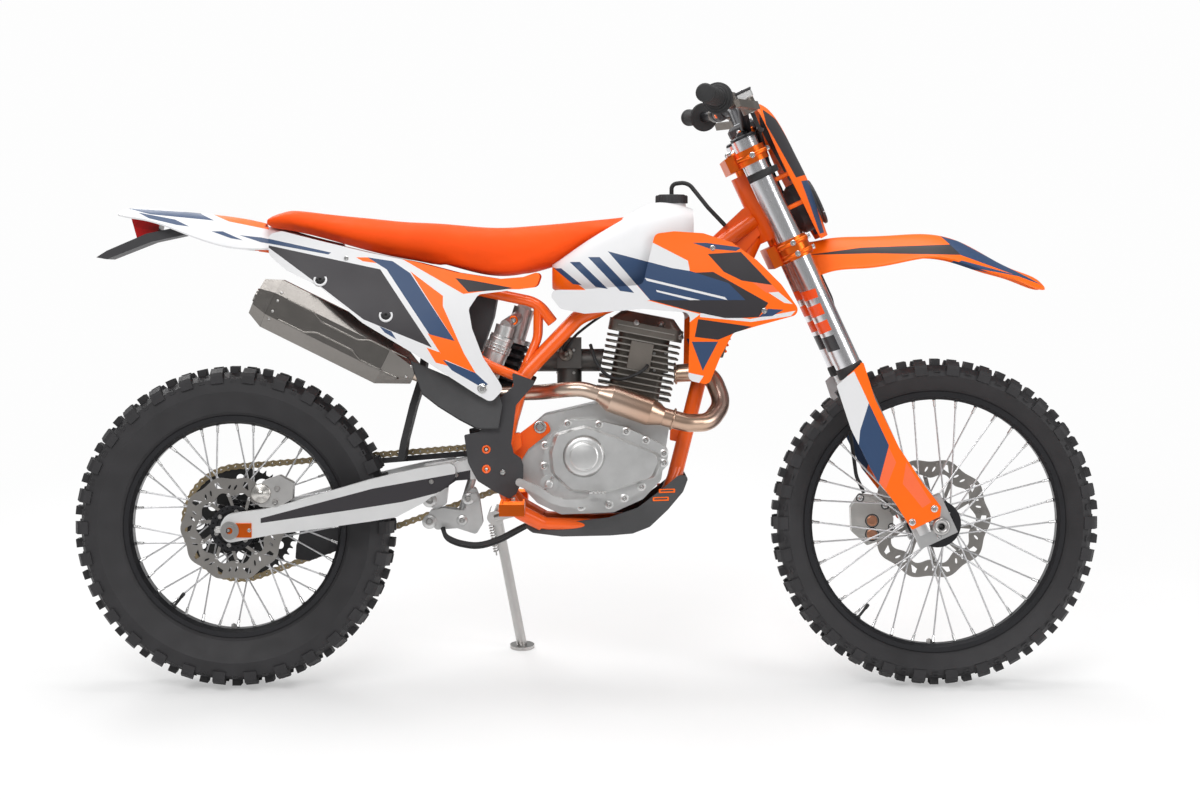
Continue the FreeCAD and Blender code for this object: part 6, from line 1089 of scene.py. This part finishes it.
def fork_detail():
    """Clamp bolts, fork caps with adjusters, straps, dust seals, caliper caps and axle nuts."""
    piece = Piece("ForkDetail", "steering", CHROME_BOLT, "black_rubber", "orange_alloy", "steel",
                  "black_alloy", metal("CopperCap", (0.55, 0.27, 0.17), 0.25, 0.4))
    for side in SIDES:
        out, y = ACROSS * side, side * FORK_Y
        for u in (642, 666, 866):
            back, front = steer(FORK_AHEAD - 34, y + side * 30, u), steer(FORK_AHEAD + 34, y + side * 30, u)
            piece.tube([back, front], 5.2, 12, 2)
            piece.bolt(front, AHEAD, 5.4, 5, 0, sink=1)
            hit, _ = surface("triple_clamps", steer(FORK_AHEAD, y + side * 200, u), -out)
            if hit:
                piece.bolt(hit, out, 6.2, 5, 0, sink=2)
        top = steer(FORK_AHEAD, y, 905)
        piece.lathe(FORK_CAP, top, RISE, 30, 4)
        piece.lathe([(4, 0), (4, 18), (0, 18)], top, RISE, 12, 2)
        piece.lathe([(28.2, -12), (29.2, -9), (29.2, 6), (27.6, 10)], steer(FORK_AHEAD, y, 376), RISE, 30, 1)
        for u in (16, -18):
            hit, _ = surface("fork_sliders", steer(44, side * BESIDE, u), -out)
            if hit:
                piece.bolt(hit, out, 5, 5)
        nut = [(9, -6), (9, 0.5), (16, 0.5), (18.5, -1.5), (18.5, -6)]
        piece.ring(nut, FRONT_AXLE + out * 128, out, 32, 3)
        strap = steer(FORK_AHEAD, side * 104, 822)
        piece.ring([(24.2, -8), (27.4, -8), (27.4, 8), (24.2, 8)], strap, RISE, 32, 1)
        piece.box(strap + AHEAD * 31, (9, 5, 7), STEERED, 1, 0.3)
    piece.lathe([(20, -2), (20, 6), (17, 9), (10, 9), (10, 5), (0, 5)], steer(0, 0, 885), RISE, 6)
    for x, z, radius, slot in CALIPER_CAPS:
        hit, _ = side_face("front_caliper", x, z)
        if hit:
            cap = [(radius, -3), (radius, 1.6), (radius * 0.8, 2.6), (radius * 0.5, 2.0), (0, 2.0)]
            collar = [(radius + 1, -1), (radius + 1, 0.8), (radius + 3, 0.8), (radius + 3, -1)]
            piece.lathe(cap, hit, OUT, 24, slot)
            piece.ring(collar, hit, OUT, 24, 4)
    return piece.done()


def bar_detail():
    """Ribbed grips with their flanges and ends, lever perches, and switch pods with a button."""
    piece = Piece("BarDetail", "steering", "black_rubber", "silver_alloy", "black_plastic", CHROME_BOLT,
                  "orange_alloy", "clear_lens", "black_alloy")
    for side in SIDES:
        inner, outer = steer(*GRIP_INNER), steer(*GRIP_OUTER)
        inner.y, outer.y = side * inner.y, side * outer.y
        aim = (outer - inner).normalized()
        step = ((outer - inner).length - 26) / 16
        for k in range(17):
            rib = [(16.6, -2.1), (18.3, -1.5), (18.3, 1.5), (16.6, 2.1)]
            piece.ring(rib, inner + aim * (16 + step * k), aim, 22)
        for reach, radius in ((4, 31), (9, 26), (14, 21)):
            flange = [(16.5, -2), (radius, -1.4), (radius + 1, 0.4), (radius, 2.2), (16.5, 2.6)]
            piece.ring(flange, inner + aim * reach, aim, 30)
        piece.lathe([(17.4, -7), (19, -4), (19, 1), (15, 3), (0, 3.4)], outer + aim * 4, aim, 24)
        perch = steer(21.2, side * 232, 984.8)
        clamp = [(11.4, -9), (16.4, -9), (17.4, -7), (17.4, 7), (16.4, 9), (11.4, 9)]
        piece.ring(clamp, perch, aim, 26, 6)
        for lift in (-6.8, 2.8):
            piece.bolt(perch + RISE * lift - FORWARD * math.cos(RAKE) * 14, -AHEAD, 3.4, 3, 3)
        pod = perch + (steer(48, side * 150, 975) - perch).normalized() * 32
        piece.box(pod - AHEAD * 2, (16, 15, 13), (AHEAD, aim, RISE), 2, 0.3)
        piece.box(pod - AHEAD * 17, (2.4, 5, 4), (AHEAD, aim, RISE), 4, 0.3)
    return piece.done()


def cockpit_detail():
    """Bar clamps, bar pad, reservoirs, lever pivots, the display and two cables."""
    piece = Piece("CockpitDetail", "steering", "orange_alloy", "black_plastic", "silver_alloy", CHROME_BOLT,
                  "black_rubber", "clear_lens")
    for side, path in zip(SIDES, CABLES):
        piece.box(steer(38, side * 43, 915), (19, 13, 8), STEERED, 0, 0.4)
        piece.box(steer(38, side * 43, 891), (17, 12, 9), STEERED, 0, 0.3)
        for a in (25, 51):
            for y in (36, 50):
                piece.bolt(steer(a, side * y, 922), RISE, 4, 4, 3, sink=2)
        cup = steer(53, side * 212, 980)
        piece.box(cup, (17, 25, 8), STEERED, 2, 0.3)
        piece.box(cup + RISE * 9.5, (18, 26, 2.2), STEERED, 1, 0.4)
        for y in (-16, 16):
            piece.bolt(cup + ACROSS * y + RISE * 11.5, RISE, 3, 2, 3, sink=1)
        piece.bolt(steer(55, side * 214, 947), -RISE, 4.5, 4, 3, socket=False)
        piece.tube(rounded_path([steer(*p) for p in path], 40, 8), 3.4, 10, 4)
    piece.box(steer(38, 0, 925), (30, 34, 13), STEERED, 1, 0.5)
    piece.box(steer(44, 0, 938.5), (20, 24, 1.4), STEERED, 5, 0.5)
    return piece.done()


def lamp_detail():
    """The lamp's rim with its screws and the ring-shaped ribs of its lens."""
    piece = Piece("LampDetail", "steering", "black_plastic", "clear_lens", "silver_alloy", CHROME_BOLT)
    reach = {}
    for u in range(640, 840, 6):
        hit, _ = surface("headlamp", steer(500, 0, u), -AHEAD)
        if hit:
            reach[u] = (hit - steer(0, 0, 0)).dot(AHEAD)
    front = max(reach.values())
    face = [u for u in reach if abs(reach[u] - front) < 0.5]
    centre = steer(front, 0, (face[0] + face[-1]) / 2)
    for radius in (44, 36, 26, 14):
        rib = [(radius - 1.6, -0.8), (radius - 1.0, 0.9), (radius + 1.0, 0.9), (radius + 1.6, -0.8)]
        piece.ring(rib, centre, AHEAD, 40, 1)
    piece.ring([(45, -6), (49.5, -4), (49.5, 1.0), (47.5, 2.2), (45, 1.0)], centre, AHEAD, 44)
    for u, v in circle(0, 0, 47, 3, math.pi / 2):
        piece.bolt(centre + ACROSS * u + RISE * v, AHEAD, 3, 2, 3)
    return piece.done()


# Tail, tank, stand and shock

STAND_FOOT, STAND_HEAD = Vector((600, 262, 42.7)), Vector((548, 126, 352))
STAND_COILS, COIL_STEPS, COIL_R, WIRE_R = 11, 110, 5, 1.3
SHOCK_LOW, SHOCK_HIGH = Vector((536, -62, 662)), Vector((568, -62, 742))
FILLER_X, FILLER_Z = 924, 1029
INNER_GUARD = (
    (378, 694), (461, 659), (535, 619), (562, 626), (569, 600), (560, 551), (515, 551), (479, 570),
    (436, 597), (403, 623),
)
GUARD_Y, GUARD_HALF = -131, 1.5
DRAIN_BOW, HOSE_R = ((600, 338), (556, 314), (512, 302), (470, 310), (446, 322)), 4.6
TURNED_EDGE, TURNED_Y, TURNED_RISE, TURNED_THICK = 5, -104, 6, 3


def tail_detail():
    """The tail lamp's cells and the bracket's screws."""
    piece = Piece("TailDetail", "chassis", "red_lens", "black_plastic", CHROME_BOLT)
    for y in (-22, -11, 0, 11, 22):
        for z in (962, 974, 986):
            hit, normal = surface("tail_lamp", (-BESIDE, y, z), FORWARD)
            if hit:
                piece.box(hit, (4.2, 4.6, 1.0), (ACROSS, normal.cross(ACROSS), normal), 0, 0.5)
    for side in SIDES:
        bolts_on(piece, "tail_bracket", ((-40, 948), (20, 940)), side, 4.5, 3, 2)
    return piece.done()


def trim_detail():
    """Orange slot rims on the skid plate, each with a black strip inside as painted shade for the slot's dark
    opening; the radiators' louvres and the tank cap's ribs.
    """
    piece = Piece("TrimDetail", "chassis", "orange_plastic", "black_plastic", CHROME_BOLT, "orange_frame")
    for side in SIDES:
        for hit, normal in seats("skid_plate", ((912, 418), (899, 401)), side):
            u = (Vector((1, 0, 0.03)) - normal * normal.x).normalized()
            piece.box(hit, (17, 4.4, 1.2), (u, normal.cross(u), normal), 0, 0.7)
            # A black strip inside each rim: painted shade standing for the dark inside of the slot
            piece.box(hit + normal * 0.7, (14, 1.8, 0.9), (u, normal.cross(u), normal), 1, 0.7)
        for k in range(11):
            hit, _ = surface("radiators", (1200, side * 96, 712 + k * 13), -FORWARD)
            if hit:
                louvre = (Vector((1, 0, 0.5)), ACROSS, Vector((-0.5, 0, 1)))
                piece.box(hit + FORWARD * 1.5, (2.6, 30, 3.4), louvre, 3, 0.3)
    for t in turns(30):
        out = Vector((*spot(t, 1), 0))
        centre = Vector((FILLER_X, 0, FILLER_Z)) + out * 33
        piece.box(centre, (1.2, 1.8, 7.5), (out, UPWARD.cross(out), UPWARD), 1, 0.4)
    piece.ring([(20, 0), (23, 2.4), (27, 2.4), (30, 0)], (FILLER_X, 0, FILLER_Z + 8.5), UPWARD, 40, 1)
    return piece.done()


def stand_detail():
    """The side stand's spring and its hook."""
    piece = Piece("StandDetail", "side_stand", "steel", CHROME_BOLT)
    a, b = [STAND_FOOT.lerp(STAND_HEAD, share) - FORWARD * 17 for share in (0.72, 0.93)]
    axes, length = cross_axes(b - a), (b - a).length
    shares = [k / COIL_STEPS for k in range(COIL_STEPS + 1)]
    turn = 2 * math.pi * STAND_COILS
    piece.tube([a + around(axes, COIL_R, length * share, turn * share) for share in shares], WIRE_R, 6)
    piece.tube([a - axes[0] * 8, a + axes[0] * 4], 1.6, 8)
    return piece.done()


def shock_detail():
    """The reservoir's bands and knurl, and the shock's upper screw."""
    piece = Piece("ShockDetail", "chassis", "silver_alloy", CHROME_BOLT, "orange_alloy", "black_rubber")
    middle = SHOCK_LOW.lerp(SHOCK_HIGH, 0.5)
    radius = middle.y - side_face("shock_absorber", middle.x, middle.z)[0].y
    axes = cross_axes(SHOCK_HIGH - SHOCK_LOW)
    for share, extra in ((0.16, 0.8), (0.24, 0.8), (0.62, 1.4), (0.7, 1.4), (0.78, 1.4), (0.92, 0.8)):
        band = [(radius - 1, -2.4), (radius + extra, -1.8), (radius + extra, 1.8), (radius - 1, 2.4)]
        piece.ring(band, SHOCK_LOW.lerp(SHOCK_HIGH, share), axes[0], 36)
    for t in turns(18):
        out = around(axes, 1, 0, t)
        centre = SHOCK_LOW.lerp(SHOCK_HIGH, 0.7) + out * (radius + 1.2)
        piece.box(centre, (1, 1.6, 8), (out, axes[0].cross(out), axes[0]), 0, 0.4)
    hit, _ = side_face("shock_absorber", 590, 775)
    piece.ring([(6, -1), (6, 1.4), (10, 1.4), (10, -1)], hit, OUT, 28, 2)
    piece.bolt(hit, OUT, 5.6, 4, 1)
    return piece.done()


def inner_guard():
    """The dark inner plate between the panel's lower edge and the frame, with a turned edge."""
    piece = Piece("InnerGuard", "chassis", "grey_plastic")
    piece.plate(INNER_GUARD, [], plane(ACROSS * GUARD_Y, FORWARD, UPWARD), -GUARD_HALF, GUARD_HALF)
    for (x, z), (x2, z2) in zip(INNER_GUARD[TURNED_EDGE:], INNER_GUARD[TURNED_EDGE + 1:] + INNER_GUARD[:1]):
        face = GUARD_Y - GUARD_HALF
        edge = [(x, face, z), (x2, face, z2)]
        edge += [(px, TURNED_Y, pz + TURNED_RISE) for px, _, pz in reversed(edge)]
        strip = [(px, y, pz + lift) for lift in (0, TURNED_THICK) for px, y, pz in edge]
        piece.add(strip, [(0, 1, 2, 3), (7, 6, 5, 4), (0, 4, 5, 1), (1, 5, 6, 2), (2, 6, 7, 3), (3, 7, 4, 0)],
                  smooth=False)
    return piece.done()


def drain_hoses():
    """Two drain hoses that hang in a bow behind the skid plate, each held at both ends."""
    piece = Piece("DrainHoses", "chassis", "black_rubber")
    for y, drop in ((-58, 0), (-44, -7)):
        bow = [(x, y, z + drop) for x, z in DRAIN_BOW]
        line = [(640, y, 356 + drop * 0.4), *bow, (440, y + 8, 338)]
        piece.tube(rounded_path(line, 30, 5), HOSE_R, 12)
    return piece.done()


def guard_detail():
    """The fork guards' screws with their washers."""
    piece = Piece("GuardDetail", "steering", CHROME_BOLT, "orange_plastic")
    for side in SIDES:
        bolts_on(piece, "fork_guards", ((1420, 356), (1466, 384)), side, 5, 3, washer=True)
    return piece.done()


# Seat

SEAT_INSET, SEAT_CELL, MOST_SWELL, FRAMES = 0.0025, 0.0052, 0.006, 20
EDGE_Z, EDGE_BEND_X, EDGE_FALL, HOLD_ABOVE, HOLD_FADE = 900, 300, 0.12, 14, 10


def bake(made):
    """Turns an object's modifiers into its mesh."""
    graph = bpy.context.evaluated_depsgraph_get()
    graph.update()
    data = bpy.data.meshes.new_from_object(made.evaluated_get(graph))
    made.modifiers.clear()
    made.data = data


def pin_base(made):
    """Pins the cushion's lower edge, which falls ahead of a bend; the hold fades out above it."""
    group = made.vertex_groups.new(name="Pin")
    for i, vert in enumerate(made.data.vertices):
        place = TO_MM @ vert.co
        edge = EDGE_Z - max(0, place.x - EDGE_BEND_X) * EDGE_FALL
        hold = max(0.0, min(1.0, (edge + HOLD_ABOVE - place.z) / HOLD_FADE))
        if hold > 0:
            group.add([i], hold, "REPLACE")


def blow_up(made):
    """Swells the pinned cushion as cloth under a little pressure, by a few millimetres at most."""
    start = [v.co.copy() for v in made.data.vertices]
    cloth = made.modifiers.new("Cloth", "CLOTH")
    cloth.settings.use_pressure = True
    cloth.settings.uniform_pressure_force = 4.0
    cloth.settings.effector_weights.gravity = 0.0
    cloth.settings.vertex_group_mass = "Pin"
    cloth.settings.tension_stiffness = 30
    cloth.settings.compression_stiffness = 30
    cloth.settings.quality = 6
    cloth.point_cache.frame_start = 1
    cloth.point_cache.frame_end = FRAMES
    for number in range(1, FRAMES + 1):
        bpy.context.scene.frame_set(number)
    bake(made)
    for vert, before in zip(made.data.vertices, start):
        move = vert.co - before
        if move.length > MOST_SWELL:
            vert.co = before + move * (MOST_SWELL / move.length)
    bpy.context.scene.frame_set(1)


def seat_cushion():
    """The seat as a soft padded cushion, blown up a little against its own form."""
    source = frame["nodes"]["seat"]
    data = source.data.copy()
    data.transform(source.matrix_world)
    made = bpy.data.objects.new("SeatCushion", data)
    bpy.context.scene.collection.objects.link(made)
    mesh = bmesh.new()
    mesh.from_mesh(data)
    bmesh.ops.remove_doubles(mesh, verts=mesh.verts, dist=0.00005)
    mesh.normal_update()
    for vert in mesh.verts:
        vert.co -= vert.normal * SEAT_INSET
    mesh.to_mesh(data)
    mesh.free()
    bpy.context.view_layer.objects.active = made
    remesh = made.modifiers.new("Remesh", "REMESH")
    remesh.mode = "VOXEL"
    remesh.voxel_size = SEAT_CELL
    bake(made)
    pin_base(made)
    blow_up(made)
    smooth = made.modifiers.new("Smooth", "SMOOTH")
    smooth.factor, smooth.iterations = 0.5, 3
    bake(made)
    low, high = CAD_BOX
    for vert in made.data.vertices:
        for k in range(3):
            vert.co[k] = min(max(vert.co[k], low[k]), high[k])
    made.data.materials.clear()
    made.data.materials.append(MATS["seat_cover"])
    for polygon in made.data.polygons:
        polygon.use_smooth = True
    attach(made, "chassis")
    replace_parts(made, "seat")


for make in (engine_detail, carburettor_detail, exhaust_detail, chassis_detail, peg_teeth, pedal_detail,
             fork_detail, bar_detail, cockpit_detail, lamp_detail, tail_detail, trim_detail, stand_detail,
             shock_detail, inner_guard, drain_hoses, guard_detail, seat_cushion):
    make()

# Camera, light and floor

PIXEL, FAR, EYE_X, EYE_Z = 2.12, 5700.0, 740.4, 857.5
IMAGE_WIDTH, CENTRE_PIXEL, EYE_PIXEL = 1200, (600, 400), (585, 281)
SENSOR, CLIP_END, FLOOR_HALF, FLOOR_DROP, GLOW = 36, 100, 30.0, 0.0005, 0.985
# Name, place, target, size and power
LIGHTS = (
    ("Key", (-1.2, -3.2, 3.6), (0, 0, 0.5), (3.2, 1.6), 98),
    ("Side", (3.4, -2.2, 1.8), (0.3, 0, 0.6), (1.2, 2.0), 44),
    ("Top", (0.2, 0.6, 3.6), (0, 0, 0.5), (3.2, 1.8), 84),
    ("Back", (-2.0, 3.2, 2.6), (0, 0, 0.5), (2.2, 1.6), 55),
)


def placed(name, data, place, aim):
    """A camera or lamp that looks along a direction."""
    made = bpy.data.objects.new(name, data)
    bpy.context.scene.collection.objects.link(made)
    made.location = place
    made.rotation_mode = "QUATERNION"
    made.rotation_quaternion = aim.to_track_quat("-Z", "Y")
    return made


def look():
    """The photograph's camera, carried round with the bike's lean."""
    data = bpy.data.cameras.new("Camera")
    data.sensor_width = SENSOR
    data.lens = SENSOR * FAR / (IMAGE_WIDTH * PIXEL)
    data.clip_end = CLIP_END
    right, down = [(centre - eye) * PIXEL for centre, eye in zip(CENTRE_PIXEL, EYE_PIXEL)]
    aim = UP @ Vector((right, FAR, -down)).normalized()
    bpy.context.scene.camera = placed("Camera", data, UPRIGHT @ Vector((EYE_X, -FAR, EYE_Z)), aim)


def area_light(name, place, target, size, power):
    data = bpy.data.lights.new(name, "AREA")
    data.shape = "RECTANGLE"
    data.size, data.size_y = size
    data.energy = power
    placed(name, data, place, Vector(target) - Vector(place))


def pale_world():
    """A world that lights softly and looks almost white to the camera."""
    world = bpy.data.worlds.new("World")
    bpy.context.scene.world = world
    world.use_nodes = True
    tree = world.node_tree
    lit, seen = tree.nodes["Background"], tree.nodes.new("ShaderNodeBackground")
    for back, strength in ((lit, 0.3), (seen, GLOW)):
        back.inputs["Color"].default_value = (1, 1, 1, 1)
        back.inputs["Strength"].default_value = strength
    path = tree.nodes.new("ShaderNodeLightPath")
    mix = tree.nodes.new("ShaderNodeMixShader")
    for k, source in enumerate((path.outputs["Is Camera Ray"], lit.outputs[0], seen.outputs[0])):
        tree.links.new(source, mix.inputs[k])
    tree.links.new(mix.outputs[0], tree.nodes["World Output"].inputs["Surface"])


def pale_floor():
    """A floor with a soft shadow near the bike that fades into the world's white."""
    mesh = bpy.data.meshes.new("Floor")
    half = FLOOR_HALF
    corners = [(-half, -half, 0), (half, -half, 0), (half, half, 0), (-half, half, 0)]
    mesh.from_pydata(corners, [], [(0, 1, 2, 3)])
    floor = bpy.data.objects.new("Floor", mesh)
    bpy.context.scene.collection.objects.link(floor)
    floor.location.z = -FLOOR_DROP
    made = Shader("FloorPale")
    made.paint((0.95, 0.95, 0.95), 0.008, 3)
    made.set(Roughness=0.7)
    reach = made.node("ShaderNodeVectorMath", {0: made.local()}, operation="LENGTH").outputs["Value"]
    fade = {"From Min": 0.75, "From Max": 2.3, "To Min": 0.4, "Value": reach}
    share = made.node("ShaderNodeMapRange", fade, interpolation_type="SMOOTHSTEP").outputs["Result"]
    camera = made.node("ShaderNodeLightPath", {}).outputs["Is Camera Ray"]
    glow = made.node("ShaderNodeEmission", {"Color": (1, 1, 1, 1), "Strength": GLOW}).outputs[0]
    parts = {0: made.math("MULTIPLY", share, camera), 1: made.bsdf.outputs[0], 2: glow}
    blend = made.node("ShaderNodeMixShader", parts)
    made.tree.links.new(blend.outputs[0], made.tree.nodes["Material Output"].inputs["Surface"])
    mesh.materials.append(made.mat)


look()
pale_world()
pale_floor()
for row in LIGHTS:
    area_light(*row)
bpy.context.scene.view_settings.view_transform = "Standard"
